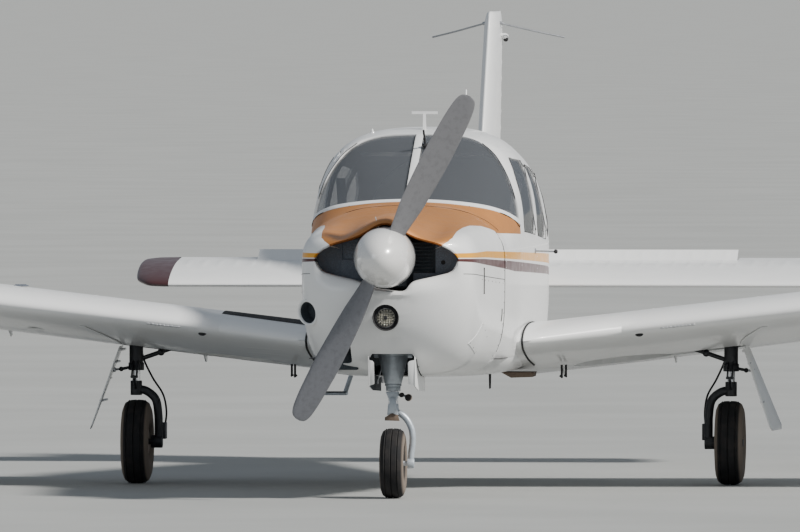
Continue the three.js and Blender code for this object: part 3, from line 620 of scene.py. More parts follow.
class Shape:
    """A bmesh on its way to becoming one finished piece."""

    def __init__(self) -> None:
        """Start with an empty mesh."""
        self.mesh = bmesh.new()

    def grid(self, us: Sequence[float], vs: Sequence[float], place: Place) -> "Shape":
        """Add a grid and move each of its points to its place on a surface.

        Args:
            us: The values along the first direction.
            vs: The values along the second direction.
            place: The surface's point for a pair of values.

        Returns:
            The shape itself.
        """
        made = bmesh.ops.create_grid(
            self.mesh, x_segments=len(us) - 1, y_segments=len(vs) - 1, size=0.5
        )
        for vert in made["verts"]:
            i = round((vert.co.x + 0.5) * (len(us) - 1))
            j = round((vert.co.y + 0.5) * (len(vs) - 1))
            vert.co = place(us[i], vs[j])
        return self

    def box(self, low: Sequence[float], high: Sequence[float],
            turn: Matrix | None = None) -> "Shape":
        """Add a box between two corners, turned about its middle.

        Args:
            low: The lowest corner.
            high: The highest corner.
            turn: A turn about the box's middle.

        Returns:
            The shape itself.
        """
        middle = [(a + b) / 2 for a, b in zip(low, high)]
        size = Matrix.Diagonal([b - a for a, b in zip(low, high)] + [1])
        bmesh.ops.create_cube(
            self.mesh, size=1.0, matrix=Matrix.Translation(middle) @ (turn or Matrix()) @ size
        )
        return self

    def block(self, centre: Vector, half: Sequence[float], turn: Matrix) -> "Shape":
        """Add a turned box about a centre, by its half sizes."""
        return self.box(centre - Vector(half), centre + Vector(half), turn)

    def rod(self, start: Sequence[float], end: Sequence[float], radius: float,
            end_radius: float | None = None, sides: int = 24) -> "Shape":
        """Add a round rod or cone between two points.

        Args:
            start: The middle of the first end.
            end: The middle of the second end.
            radius: The radius at the first end.
            end_radius: The radius at the second end, where it differs.
            sides: The faces round it.

        Returns:
            The shape itself.
        """
        first, second = Vector(start), Vector(end)
        way = second - first
        turn = way.to_track_quat("Z", "Y").to_matrix().to_4x4()
        bmesh.ops.create_cone(
            self.mesh, cap_ends=True, segments=sides, radius1=radius,
            radius2=radius if end_radius is None else end_radius, depth=way.length,
            matrix=Matrix.Translation((first + second) / 2) @ turn,
        )
        return self

    def ball(self, centre: Sequence[float], radius: float, stretch: Sequence[float] = (1, 1, 1),
             sides: int = 16) -> "Shape":
        """Add a ball, stretched along the axes.

        Args:
            centre: Its middle.
            radius: Its radius.
            stretch: Its stretch along each axis.
            sides: The faces round it.

        Returns:
            The shape itself.
        """
        matrix = Matrix.Translation(centre) @ Matrix.Diagonal([*stretch, 1])
        bmesh.ops.create_uvsphere(
            self.mesh, u_segments=sides, v_segments=sides // 2, radius=radius, matrix=matrix
        )
        return self

    def tube(self, points: Sequence[Sequence[float]], radius: float, sides: int = 12) -> "Shape":
        """Sweep a round section along a smooth path through points.

        Args:
            points: The points that the path passes through.
            radius: The tube's radius.
            sides: The faces round it.

        Returns:
            The shape itself.
        """
        path = smooth_path([Vector(point) for point in points], 8)
        normal = (path[1] - path[0]).orthogonal().normalized()
        frames = []
        for i, point in enumerate(path):
            way = (path[min(i + 1, len(path) - 1)] - path[max(i - 1, 0)]).normalized()
            normal = (normal - way * normal.dot(way)).normalized()
            frames.append((point, normal, way.cross(normal)))
        steps = list(range(len(path)))
        rounds = [math.tau * k / sides for k in range(sides + 1)]

        def place(i: float, angle: float) -> Vector:
            """Return a point on the tube's wall."""
            point, across, over = frames[int(i)]
            return point + (across * math.cos(angle) + over * math.sin(angle)) * radius

        self.grid(steps, rounds, place)
        self.weld()
        rims = [edge for edge in self.mesh.edges if edge.is_boundary]
        bmesh.ops.holes_fill(self.mesh, edges=rims, sides=sides)
        return self

    def turned(self, profile: Outline, centre: Sequence[float],
               axis: Sequence[float], steps: int = 48) -> "Shape":
        """Spin a profile of radius and distance along an axis.

        Args:
            profile: Pairs of radius and distance along the axis from the centre.
            centre: A point on the axis.
            axis: The axis to turn about.
            steps: The faces round it.

        Returns:
            The shape itself.
        """
        way = Vector(axis).normalized()
        out = way.orthogonal().normalized()
        verts = [
            self.mesh.verts.new(Vector(centre) + out * radius + way * along)
            for radius, along in profile
        ]
        edges = [self.mesh.edges.new(pair) for pair in zip(verts, verts[1:])]
        bmesh.ops.spin(
            self.mesh, geom=verts + edges, cent=centre, axis=way, angle=math.tau,
            steps=steps, use_merge=True,
        )
        self.weld()
        return self

    def plate(self, points: Sequence[Sequence[float]], depth: Sequence[float]) -> "Shape":
        """Add a flat plate: an outline pushed out along a direction.

        Args:
            points: The outline's corners.
            depth: How far and which way it is pushed out.

        Returns:
            The shape itself.
        """
        verts = [self.mesh.verts.new(point) for point in points]
        made = bmesh.ops.extrude_face_region(self.mesh, geom=[self.mesh.faces.new(verts)])
        moved = [item for item in made["geom"] if isinstance(item, bmesh.types.BMVert)]
        bmesh.ops.translate(self.mesh, verts=moved, vec=depth)
        return self

    def weld(self, distance: float = 1e-5) -> "Shape":
        """Merge points that lie on each other."""
        bmesh.ops.remove_doubles(self.mesh, verts=self.mesh.verts, dist=distance)
        return self

    def closed(self, distance: float = 2e-5) -> "Shape":
        """Merge points that lie on each other and fill the open ends.

        Args:
            distance: How near the merged points lie.

        Returns:
            The shape itself.
        """
        self.weld(distance)
        rims = [edge for edge in self.mesh.edges if edge.is_boundary]
        bmesh.ops.holes_fill(self.mesh, edges=rims, sides=0)
        return self

    def swelled(self, distance: float) -> "Shape":
        """Move every point along its normal.

        Args:
            distance: How far outwards, or inwards where it is negative.

        Returns:
            The shape itself.
        """
        for vert in self.mesh.verts:
            vert.normal_update()
        for vert in self.mesh.verts:
            vert.co += vert.normal * distance
        return self

    def cut(self, outline: Outline, axes: tuple[int, int],
            keep: Callable[[Vector], bool] = lambda point: True, near: float = 0.12) -> "Shape":
        """Cut the faces along a closed outline that is seen along one axis.

        Args:
            outline: The outline's corners in the two axes.
            axes: The two axes that the outline is drawn in.
            keep: Tells by a face's middle whether it may be cut.
            near: How far from an edge of the outline faces are cut.

        Returns:
            The shape itself.
        """
        first, second = axes
        for (a, b), (c, d) in zip(outline, [*outline[1:], outline[0]]):
            span = Vector((c - a, d - b))
            length = span.length
            if length < 1e-6:
                continue
            span /= length
            faces = []
            for face in self.mesh.faces:
                middle = face.calc_center_median()
                if not keep(middle):
                    continue
                off = Vector((middle[first] - a, middle[second] - b))
                along = off.dot(span)
                if -near < along < length + near and abs(off.cross(span)) < near:
                    faces.append(face)
            normal = Vector((0, 0, 0))
            normal[first], normal[second] = -span.y, span.x
            corner = Vector((0, 0, 0))
            corner[first], corner[second] = a, b
            geom = {item for face in faces for item in (face, *face.edges, *face.verts)}
            bmesh.ops.bisect_plane(
                self.mesh, geom=list(geom), dist=1e-6, plane_co=corner, plane_no=normal
            )
        return self

    def taken(self, wanted: Callable[[Vector], bool]) -> "Shape":
        """Return a copy that holds only the faces whose middles are wanted.

        Args:
            wanted: Tells by a face's middle whether it stays.

        Returns:
            The copy.
        """
        other = Shape()
        other.mesh = self.mesh.copy()
        gone = [face for face in other.mesh.faces if not wanted(face.calc_center_median())]
        bmesh.ops.delete(other.mesh, geom=gone, context="FACES")
        return other

    def moved(self, change: Matrix) -> "Shape":
        """Move every point by a matrix.

        Args:
            change: The matrix.

        Returns:
            The shape itself.
        """
        bmesh.ops.transform(self.mesh, matrix=change, verts=self.mesh.verts)
        if change.determinant() < 0:
            bmesh.ops.reverse_faces(self.mesh, faces=self.mesh.faces)
        return self

    def mirrored(self, side: float) -> "Shape":
        """Turn the shape into its mirror image where the side's sign is negative."""
        return self.moved(Matrix.Diagonal((-1, 1, 1, 1))) if side < 0 else self

    def merged(self, other: "Shape") -> "Shape":
        """Take in another shape's faces.

        Args:
            other: The other shape, which is used up.

        Returns:
            The shape itself.
        """
        spare = bpy.data.meshes.new("spare")
        other.mesh.to_mesh(spare)
        self.mesh.from_mesh(spare)
        bpy.data.meshes.remove(spare)
        other.mesh.free()
        return self

    def outward(self) -> "Shape":
        """Point every face of the closed parts outwards."""
        bmesh.ops.recalc_face_normals(self.mesh, faces=self.mesh.faces)
        return self

    def finish(self, name: str, finish: Finish, slot: Slot,
               replaces: Iterable[str] = (), thick: float = 0.0, bevel: float = 0.0,
               sharp: float = 32.0, even_wall: bool = True,
               body: Body = Body.AIRFRAME) -> bpy.types.Object:
        """Make the finished piece, hang it on its body and hide the nodes that it replaces.

        Args:
            name: The piece's name.
            finish: Its material.
            slot: The record's slot of its material; not used.
            replaces: The frame's nodes that it stands for.
            thick: A wall added inwards, in metres.
            bevel: The width of the bevel along sharp edges.
            sharp: The angle in degrees over which an edge stays sharp.
            even_wall: Whether the wall keeps its thickness round sharp edges.
            body: The body that it rides on.

        Returns:
            The new object.
        """
        mesh = bpy.data.meshes.new(name)
        self.mesh.to_mesh(mesh)
        self.mesh.free()
        piece = added(name, mesh)
        if thick:
            wall = piece.modifiers.new("wall", "SOLIDIFY")
            wall.thickness, wall.offset, wall.use_even_offset = thick, -1.0, even_wall
        if bevel:
            edge = piece.modifiers.new("edge", "BEVEL")
            edge.width, edge.segments = bevel, 2
            edge.limit_method, edge.angle_limit = "ANGLE", math.radians(max(sharp, 30.0))
        if piece.modifiers:
            piece.data = baked(piece)
            bpy.data.meshes.remove(mesh)
            piece.data.name = name
        for face in piece.data.polygons:
            face.use_smooth = True
        piece.data.set_sharp_from_angle(angle=math.radians(sharp))
        piece.data.materials.clear()
        piece.data.materials.append(material(finish))
        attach(piece, body.value)
        nodes = list(replaces)
        if nodes:
            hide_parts(*nodes)
        LOG.info("%s: %d faces", name, len(piece.data.polygons))
        return piece


def smooth_path(points: Sequence[Vector], steps: int) -> list[Vector]:
    """Return points along a smooth curve that passes through the given ones.

    Args:
        points: The points to pass through.
        steps: The spans between each pair.

    Returns:
        The curve's points.
    """
    curve = []
    last = len(points) - 1
    for i in range(last):
        before, start = points[max(i - 1, 0)], points[i]
        end, after = points[i + 1], points[min(i + 2, last)]
        for k in range(steps):
            t = k / steps
            curve.append(0.5 * (
                2 * start + (end - before) * t
                + (2 * before - 5 * start + 4 * end - after) * t**2
                + (3 * start - before - 3 * end + after) * t**3
            ))
    return curve + [points[last].copy()]


def even(low: float, high: float, count: int) -> list[float]:
    """Return evenly spaced values, both ends included."""
    return [low + (high - low) * i / count for i in range(count + 1)]


def within(outline: Outline, a: float, b: float) -> bool:
    """Tell whether a point lies inside a closed outline.

    Args:
        outline: The outline's corners.
        a: The point's first place.
        b: The point's second place.

    Returns:
        Whether it lies inside.
    """
    inside = False
    for (x0, y0), (x1, y1) in zip(outline, [*outline[1:], outline[0]]):
        if (y0 > b) != (y1 > b) and a < (x1 - x0) * (b - y0) / (y1 - y0) + x0:
            inside = not inside
    return inside


def rounded(corners: Outline, radius: float, steps: int = 5) -> list[tuple[float, float]]:
    """Return an outline with its corners rounded.

    Args:
        corners: The outline's corners.
        radius: How far from each corner the curve starts.
        steps: The spans round each corner.

    Returns:
        The rounded outline.
    """
    points = []
    for i, corner in enumerate(corners):
        here = Vector(corner)
        start = here + (Vector(corners[i - 1]) - here).normalized() * radius
        end = here + (Vector(corners[(i + 1) % len(corners)]) - here).normalized() * radius
        for k in range(steps + 1):
            t = k / steps
            points.append(tuple((1 - t) ** 2 * start + 2 * t * (1 - t) * here + t * t * end))
    return points


def grown(corners: Outline, distance: float) -> list[tuple[float, float]]:
    """Return an outline whose corners are moved away from its middle."""
    middle = sum((Vector(corner) for corner in corners), Vector((0, 0))) / len(corners)
    return [tuple(Vector(c) + (Vector(c) - middle).normalized() * distance) for c in corners]


class Rivets:
    """Rows of small domed rivet heads, gathered into one piece."""

    BATCH = 40

    def __init__(self, radius: float = 0.0032) -> None:
        """Start with no rivets."""
        self.spots: list[Matrix] = []
        self.radius = radius

    def add(self, point: Vector, normal: Vector) -> None:
        """Set one head on a surface."""
        turn = normal.to_track_quat("Z", "Y").to_matrix().to_4x4()
        self.spots.append(Matrix.Translation(point + normal * self.radius * 0.12) @ turn)

    def row(self, place: Place, start: tuple[float, float], end: tuple[float, float],
            pitch: float, flip: bool = False) -> None:
        """Set heads at an even pitch along a line on a surface.

        Args:
            place: The surface.
            start: The surface values at the row's start.
            end: The surface values at its end.
            pitch: The distance between heads.
            flip: Whether the surface's faces point the other way.
        """
        length = sum(
            (place(*mixed(start, end, (k + 1) / 8)) - place(*mixed(start, end, k / 8))).length
            for k in range(8)
        )
        count = max(1, round(length / pitch))
        for k in range(count + 1):
            u, v = mixed(start, end, k / count)
            normal = facing(place, u, v)
            self.add(place(u, v), -normal if flip else normal)

    def finish(self, name: str, finish: Finish, slot: Slot,
               body: Body = Body.AIRFRAME) -> bpy.types.Object:
        """Make the finished piece, a batch of heads at a time because a small mesh is quick to add to.

        Args:
            name: The piece's name.
            finish: Its material.
            slot: The record's slot of its material.
            body: The body that it rides on.

        Returns:
            The new object.
        """
        whole = Shape()
        for first in range(0, len(self.spots), self.BATCH):
            batch = Shape()
            for spot in self.spots[first:first + self.BATCH]:
                bmesh.ops.create_cone(
                    batch.mesh, cap_ends=True, segments=8, radius1=self.radius,
                    radius2=self.radius * 0.55, depth=self.radius * 0.36, matrix=spot,
                )
            whole.merged(batch)
        return whole.finish(name, finish, slot, sharp=50, body=body)


def mixed(start: tuple[float, float], end: tuple[float, float], share: float) -> tuple[float, float]:
    """Return the pair of values a share of the way from start to end."""
    return tuple(a + (b - a) * share for a, b in zip(start, end))


def facing(place: Place, u: float, v: float, step: float = 1e-3) -> Vector:
    """Return a surface's normal at a pair of values.

    Args:
        place: The surface.
        u: The first value.
        v: The second value.
        step: The step over which the slope is taken.

    Returns:
        The normal, one metre long.
    """
    along = place(u + step, v) - place(u - step, v)
    across = place(u, v + step) - place(u, v - step)
    return along.cross(across).normalized()


# Body skins


class BodySkin:
    """The smooth outer surface of cowl, cabin and tail cone."""

    # station, half width, lowest, widest line, highest, roundness above and below
    SECTIONS = Table((
        (0.370, 0.385, 1.040, 1.190, 1.345, 2.6, 2.4),
        (0.388, 0.416, 0.955, 1.185, 1.372, 2.9, 2.5),
        (0.425, 0.436, 0.860, 1.180, 1.392, 3.2, 2.7),
        (0.490, 0.448, 0.770, 1.175, 1.400, 3.6, 2.9),
        (0.580, 0.456, 0.705, 1.175, 1.410, 3.8, 3.2),
        (0.720, 0.464, 0.658, 1.175, 1.420, 3.7, 3.6),
        (0.900, 0.476, 0.630, 1.180, 1.434, 3.4, 3.9),
        (1.200, 0.499, 0.618, 1.190, 1.460, 2.9, 4.0),
        (1.500, 0.521, 0.610, 1.200, 1.490, 2.6, 4.4),
        (1.700, 0.532, 0.606, 1.200, 1.515, 2.2, 5.2),
        (1.900, 0.541, 0.603, 1.200, 1.618, 2.4, 6.2),
        (2.180, 0.551, 0.601, 1.200, 1.755, 3.1, 7.0),
        (2.440, 0.558, 0.600, 1.200, 1.861, 3.4, 7.5),
        (2.700, 0.562, 0.600, 1.200, 1.885, 3.4, 8.0),
        (3.000, 0.565, 0.600, 1.200, 1.893, 3.1, 8.0),
        (3.300, 0.566, 0.600, 1.200, 1.890, 2.9, 8.0),
        (3.700, 0.562, 0.605, 1.200, 1.870, 2.7, 7.5),
        (4.100, 0.537, 0.625, 1.200, 1.825, 2.7, 6.0),
        (4.500, 0.510, 0.660, 1.195, 1.755, 2.4, 4.8),
        (5.000, 0.455, 0.715, 1.185, 1.655, 2.2, 3.6),
        (5.500, 0.385, 0.775, 1.170, 1.550, 2.1, 2.9),
        (6.000, 0.305, 0.835, 1.150, 1.450, 2.0, 2.5),
        (6.500, 0.215, 0.895, 1.125, 1.345, 2.0, 2.3),
        (7.080, 0.100, 0.965, 1.090, 1.215, 2.0, 2.0),
    ))
    # station, height of the middle hump, depth of the dips beside it, sweep of the sides
    HUMP = Table((
        (0.370, 0.078, 0.000, 0.120),
        (0.388, 0.070, 0.025, 0.112),
        (0.425, 0.058, 0.044, 0.102),
        (0.490, 0.045, 0.043, 0.088),
        (0.580, 0.042, 0.039, 0.070),
        (0.720, 0.032, 0.029, 0.048),
        (0.900, 0.022, 0.016, 0.026),
        (1.200, 0.008, 0.005, 0.006),
        (1.500, 0.000, 0.000, 0.000),
    ))
    HUMP_WIDTH = 0.115
    DIP_MIDDLE = 0.24
    DIP_WIDTH = 0.085
    FINE = 80

    @classmethod
    def point(cls, station: float, angle: float) -> Vector:
        """Return the skin's point at a station and an angle round the section.

        Args:
            station: The distance aft of the spinner's tip.
            angle: The angle from the left side, upwards.

        Returns:
            The point.
        """
        half, low, middle, top, above, below = cls.SECTIONS.at(station)
        hump, dip, sweep = cls.HUMP.at(station)
        c, s = math.cos(angle), math.sin(angle)
        power = 2 / (above if s >= 0 else below)
        rise = top - middle if s >= 0 else middle - low
        x = math.copysign(half * abs(c) ** power, c)
        z = middle + math.copysign(rise * abs(s) ** power, s)
        if s > 0:
            z += hump * math.exp(-((x / cls.HUMP_WIDTH) ** 2)) * s
            z -= dip * math.exp(-(((abs(x) - cls.DIP_MIDDLE) / cls.DIP_WIDTH) ** 2)) * s
        return Vector((x, aft(station + sweep * (abs(x) / 0.45) ** 3), z))

    @classmethod
    def angle_at(cls, station: float, height: float, side: float) -> float:
        """Return the angle at which the skin passes a height on one side.

        Args:
            station: The distance aft of the spinner's tip.
            height: The height.
            side: The side's sign.

        Returns:
            The angle from the left side, upwards.
        """
        _, low, middle, top, above, below = cls.SECTIONS.at(station)
        if height >= middle:
            share = clamp((height - middle) / (top - middle))
            angle = math.asin(share ** (above / 2))
        else:
            share = clamp((middle - height) / (middle - low))
            angle = -math.asin(share ** (below / 2))
        return angle if side > 0 else math.pi - angle

    @classmethod
    def side(cls, side: float) -> Place:
        """Return the skin as a surface of station and height on one side."""
        return lambda station, height: cls.point(station, cls.angle_at(station, height, side))

    @classmethod
    def over(cls, station: float, x: float) -> Vector:
        """Return the upper skin's point at a station and a width."""
        half, _, _, _, above, _ = cls.SECTIONS.at(station)
        return cls.point(station, math.acos(math.copysign(clamp(abs(x) / half) ** (above / 2), x)))

    @classmethod
    def evened(cls, station: float, per_quarter: int) -> list[float]:
        """Return angles that space a section's points evenly, from the lowest point round.

        Args:
            station: The section's station.
            per_quarter: The spans in each quarter.

        Returns:
            The angles.
        """
        angles = []
        for quarter in range(-1, 3):
            start = quarter * math.pi / 2
            fine = [start + math.pi / 2 * k / cls.FINE for k in range(cls.FINE + 1)]
            points = [cls.point(station, angle) for angle in fine]
            reach = [0.0]
            for a, b in zip(points, points[1:]):
                reach.append(reach[-1] + (b - a).length)
            for k in range(per_quarter):
                wanted = reach[-1] * k / per_quarter
                i = min(max(bisect.bisect_right(reach, wanted) - 1, 0), cls.FINE - 1)
                share = (wanted - reach[i]) / max(reach[i + 1] - reach[i], 1e-9)
                angles.append(fine[i] + (fine[i + 1] - fine[i]) * share)
        return [*angles, 1.5 * math.pi]

    @classmethod
    def shape(cls, stations: Sequence[float], per_quarter: int = 26) -> Shape:
        """Return the skin's faces between stations.

        Args:
            stations: The stations.
            per_quarter: The spans in each quarter of a section.

        Returns:
            The skin's shape.
        """
        angles = {station: cls.evened(station, per_quarter) for station in stations}
        columns = list(range(4 * per_quarter + 1))
        made = Shape().grid(
            stations, columns, lambda station, j: cls.point(station, angles[station][int(j)])
        )
        return made.weld()


@dataclass
class Cowling:
    """The nose: four cowl panels round the cooling mouth, and what shows in their openings."""

    firewall: float = 1.5
    wall: float = 0.006
    light_height: float = 0.94
    light_radius: float = 0.064
    mouth: tuple = (
        (0.3685, 1.245), (0.325, 1.3), (0.27, 1.318), (0.145, 1.357), (0.077, 1.4), (0.0, 1.423),
        (-0.077, 1.4), (-0.145, 1.357), (-0.27, 1.318), (-0.325, 1.3), (-0.3685, 1.245),
        (-0.335, 1.18), (-0.267, 1.157), (-0.16, 1.133), (-0.115, 1.117), (-0.055, 1.092),
        (0.0, 1.083), (0.09, 1.078), (0.125, 1.115), (0.16, 1.133), (0.267, 1.157), (0.335, 1.18),
    )
    mouth_centre: tuple = (0.0, 1.235)
    lid: tuple = (
        (0.2, 0.286), (0.402, 0.289), (0.43, 0.318), (0.47, 0.338), (0.585, 0.346), (0.827, 0.356),
        (1.066, 0.375), (1.277, 0.411),
        (1.38, 0.441), (1.62, 0.5),
    )
    nose_bay: tuple = ((-0.101, 0.44), (0.145, 0.44), (0.145, 1.23), (-0.101, 1.23))
    bay_top: float = 0.752
    inlet_start: tuple = (-0.364, 0.583, 0.975)
    inlet_end: tuple = (-0.4165, 0.5175, 0.962)
    exhaust_start: tuple = (-0.235, 0.6, 0.79)
    exhaust_end: tuple = (-0.335, 0.86, 0.63)
    scoop: tuple = ((-0.312, 0.695), (-0.19, 0.695), (-0.19, 0.828), (-0.296, 0.832))
    dish: tuple = (0.019, 0.829, 0.042, 0.032, 0.022)
    access: tuple = ((0.82, 0.907), (1.06, 0.83), (0.881, 0.745), (0.64, 0.802))

    def mouth_edge(self, x: float, z: float) -> tuple[float, float]:
        """Return where the mouth's edge lies in the direction of a point.

        Args:
            x: The point's width.
            z: The point's height.

        Returns:
            The width and height on the mouth's edge.
        """
        cx, cz = self.mouth_centre
        way = Vector((x - cx, z - cz))
        outline = self.mouth_curve
        best = None
        for (a, b), (c, d) in zip(outline, [*outline[1:], outline[0]]):
            first, span = Vector((a - cx, b - cz)), Vector((c - a, d - b))
            cross = way.cross(span)
            if abs(cross) < 1e-9:
                continue
            reach, share = first.cross(span) / cross, first.cross(way) / cross
            if reach > 0 and -1e-6 <= share <= 1 + 1e-6:
                best = reach if best is None else max(best, reach)
        reach = min(best or 1.0, 0.985)
        return cx + way.x * reach, cz + way.y * reach

    def __post_init__(self) -> None:
        """Smooth the mouth's outline."""
        corners = [Vector((x, 0.0, z)) for x, z in [*self.mouth, self.mouth[0]]]
        self.mouth_curve = [(p.x, p.z) for p in smooth_path(corners, 5)][:-1]

    def seam(self, station: float) -> float:
        """Return the height of the seam between the lower cowl and the cheeks."""
        return 1.172 - 0.0429 * (station - 0.2)

    def lid_half(self, station: float) -> float:
        """Return the half width of the top cowl at a station.

        Args:
            station: The distance aft of the spinner's tip.

        Returns:
            The half width.
        """
        for (a, x0), (b, x1) in zip(self.lid, self.lid[1:]):
            if station <= b:
                return x0 + (x1 - x0) * (station - a) / (b - a)
        return self.lid[-1][1]

    def panel(self, point: Vector) -> str:
        """Tell which panel holds a point of the cowl.

        Args:
            point: The point.

        Returns:
            The panel's name.
        """
        station = point.y + HALF_LENGTH
        if point.z < self.seam(station):
            return "lower"
        if abs(point.x) < self.lid_half(station):
            return "lower" if station < 0.5 and point.z < self.mouth_centre[1] else "top"
        return "left" if point.x > 0 else "right"

    def nose(self, per_quarter: int = 26) -> Shape:
        """Return the rolled lip from the skin's first section into the mouth.

        Args:
            per_quarter: The spans in each quarter of the section.

        Returns:
            The lip's shape.
        """
        first = BodySkin.SECTIONS.keys[0]
        angles = BodySkin.evened(first, per_quarter)
        # share of the way to the mouth's edge, and how far aft or ahead of the front
        rolls = ((0.0, 0.0), (0.25, -0.006), (0.5, -0.009), (0.8, -0.006), (0.95, 0.002),
                 (1.0, 0.014), (0.985, 0.045), (0.98, 0.12))

        def place(i: float, j: float) -> Vector:
            """Return a point of the lip.

            Args:
                i: The point's place along the roll.
                j: Its place round the mouth.

            Returns:
                The point.
            """
            outer = BodySkin.point(first, angles[int(j)])
            x, z = self.mouth_edge(outer.x, outer.z)
            share, back = rolls[int(i)]
            return Vector((
                outer.x + (x - outer.x) * share,
                outer.y + back,
                outer.z + (z - outer.z) * share,
            ))

        return Shape().grid(list(range(len(rolls)))[::-1], list(range(4 * per_quarter + 1)), place).weld()

    def cut_round(self, shape: Shape, centre: Sequence[float], way: Sequence[float],
                  radius: float, sides: int = 24) -> Shape:
        """Cut a round hole through the skin where a rod leaves it.

        Args:
            shape: The skin.
            centre: A point on the hole's axis.
            way: The hole's axis, out of the skin.
            radius: The hole's radius.
            sides: The hole's flats.

        Returns:
            The skin with its hole.
        """
        out = Vector(way).normalized()
        middle = Vector(centre)
        turn = out.to_track_quat("Z", "Y")
        for k in range(sides):
            angle = math.tau * k / sides
            normal = turn @ Vector((math.cos(angle), math.sin(angle), 0))
            faces = [
                face for face in shape.mesh.faces
                if self.off_axis(face.calc_center_median(), middle, out) < radius * 1.5 + 0.03
            ]
            geom = {item for face in faces for item in (face, *face.edges, *face.verts)}
            bmesh.ops.bisect_plane(
                shape.mesh, geom=list(geom), dist=1e-6, plane_co=middle + normal * radius,
                plane_no=normal,
            )
        gone = [
            face for face in shape.mesh.faces
            if self.off_axis(face.calc_center_median(), middle, out) < radius * 1.001
        ]
        bmesh.ops.delete(shape.mesh, geom=gone, context="FACES")
        return shape

    @staticmethod
    def off_axis(point: Vector, centre: Vector, way: Vector) -> float:
        """Return a point's distance from an axis, far for points behind its start.

        Args:
            point: The point.
            centre: The axis's start.
            way: Its direction.

        Returns:
            The distance.
        """
        off = point - centre
        along = off.dot(way)
        return (off - way * along).length if -0.12 < along < 0.25 else 9.0

    def skins(self) -> Shape:
        """Return the whole cowl with its seams and holes cut.

        Returns:
            The cowl's shape.
        """
        stations = [0.37, 0.379, 0.388, 0.4, 0.412, 0.425, 0.44, 0.46, 0.49]
        stations += even(0.52, self.firewall - 0.002, 32)
        whole = BodySkin.shape(stations).merged(self.nose()).weld(1e-4)
        seam = [(aft(s), self.seam(s)) for s in (0.2, 1.62)]
        whole.cut([seam[0], seam[1], (aft(1.7), 3.0), (aft(0.1), 3.0)], (1, 2), near=0.05)
        for side in (1, -1):
            edge = [(side * x, aft(s)) for s, x in self.lid]
            back = [(side * 0.5, aft(1.9)), (0.0, aft(1.9)), (0.0, aft(0.1)), (side * 0.3, aft(0.1))]
            whole.cut([*edge, *back], (0, 1),
                      lambda p: p.z > self.seam(p.y + HALF_LENGTH) and p.x * side > 0.2, 0.05)
        bay = [(x, aft(s)) for x, s in self.nose_bay]
        whole.cut(bay, (0, 1), lambda p: p.z < 0.8, 0.05)
        x, z, wide, tall, deep = self.dish
        for vert in whole.mesh.verts:
            if vert.co.y < aft(0.7) and vert.co.z < 1.0:
                off = ((vert.co.x - x) / wide) ** 2 + ((vert.co.z - z) / tall) ** 2
                vert.co.y += deep * math.exp(-off)
        return whole

    def build(self) -> None:
        """Build every piece of the nose."""
        whole = self.skins()
        bay = [(x, aft(s)) for x, s in self.nose_bay]
        lower = whole.taken(lambda p: self.panel(p) == "lower" and not (
            p.z < 0.76 and p.y > aft(1.15) and within(bay, p.x, p.y)))
        (left, _), (right, _) = self.nose_bay[:2]
        top = self.bay_top
        front_bay = [(left, 0.3), (right, 0.3), (right, top - 0.03), (right - 0.02, top),
                     (left + 0.02, top), (left, top - 0.03)]
        lower.cut(front_bay, (0, 2), lambda p: p.y < aft(0.75), 0.05)
        lower = lower.taken(lambda p: not (within(front_bay, p.x, p.z) and p.y < aft(1.2)))
        way = Vector((0, -1, 0))
        self.cut_round(lower, (0, aft(0.45), self.light_height), way, self.light_radius + 0.004, 32)
        start, way, _ = self.along(self.inlet_start, self.inlet_end)
        self.cut_round(lower, start + way * 0.02, way, 0.066)
        scoop = rounded(self.scoop, 0.03)
        lower.cut(scoop, (0, 2), lambda p: p.x < -0.1 and p.y < aft(0.75), 0.04)
        lower = lower.taken(lambda p: not (p.y < aft(0.75) and within(scoop, p.x, p.z)))
        lower.finish("cowl_lower_skin", Finish.WHITE, Slot.WHITE, ["cowl_lower"], self.wall)
        lid = whole.taken(lambda p: self.panel(p) == "top")
        lid.finish("cowl_top_skin", Finish.COPPER, Slot.COPPER, ["cowl_top"], self.wall)
        for name, _ in SIDES:
            cheek = whole.taken(lambda p, name=name: self.panel(p) == name)
            cheek.finish(f"cowl_cheek_{name}_skin", Finish.STRIPED, Slot.WHITE,
                         [f"cowl_cheek_{name}"], self.wall)
        whole.mesh.free()
        self.inside()
        self.fastened()

    @staticmethod
    def along(start: Sequence[float], end: Sequence[float]) -> tuple[Vector, Vector, float]:
        """Return an axis from one place of width, station and height to another."""
        first, second = (Vector((p[0], aft(p[1]), p[2])) for p in (start, end))
        return first, (second - first).normalized(), (second - first).length

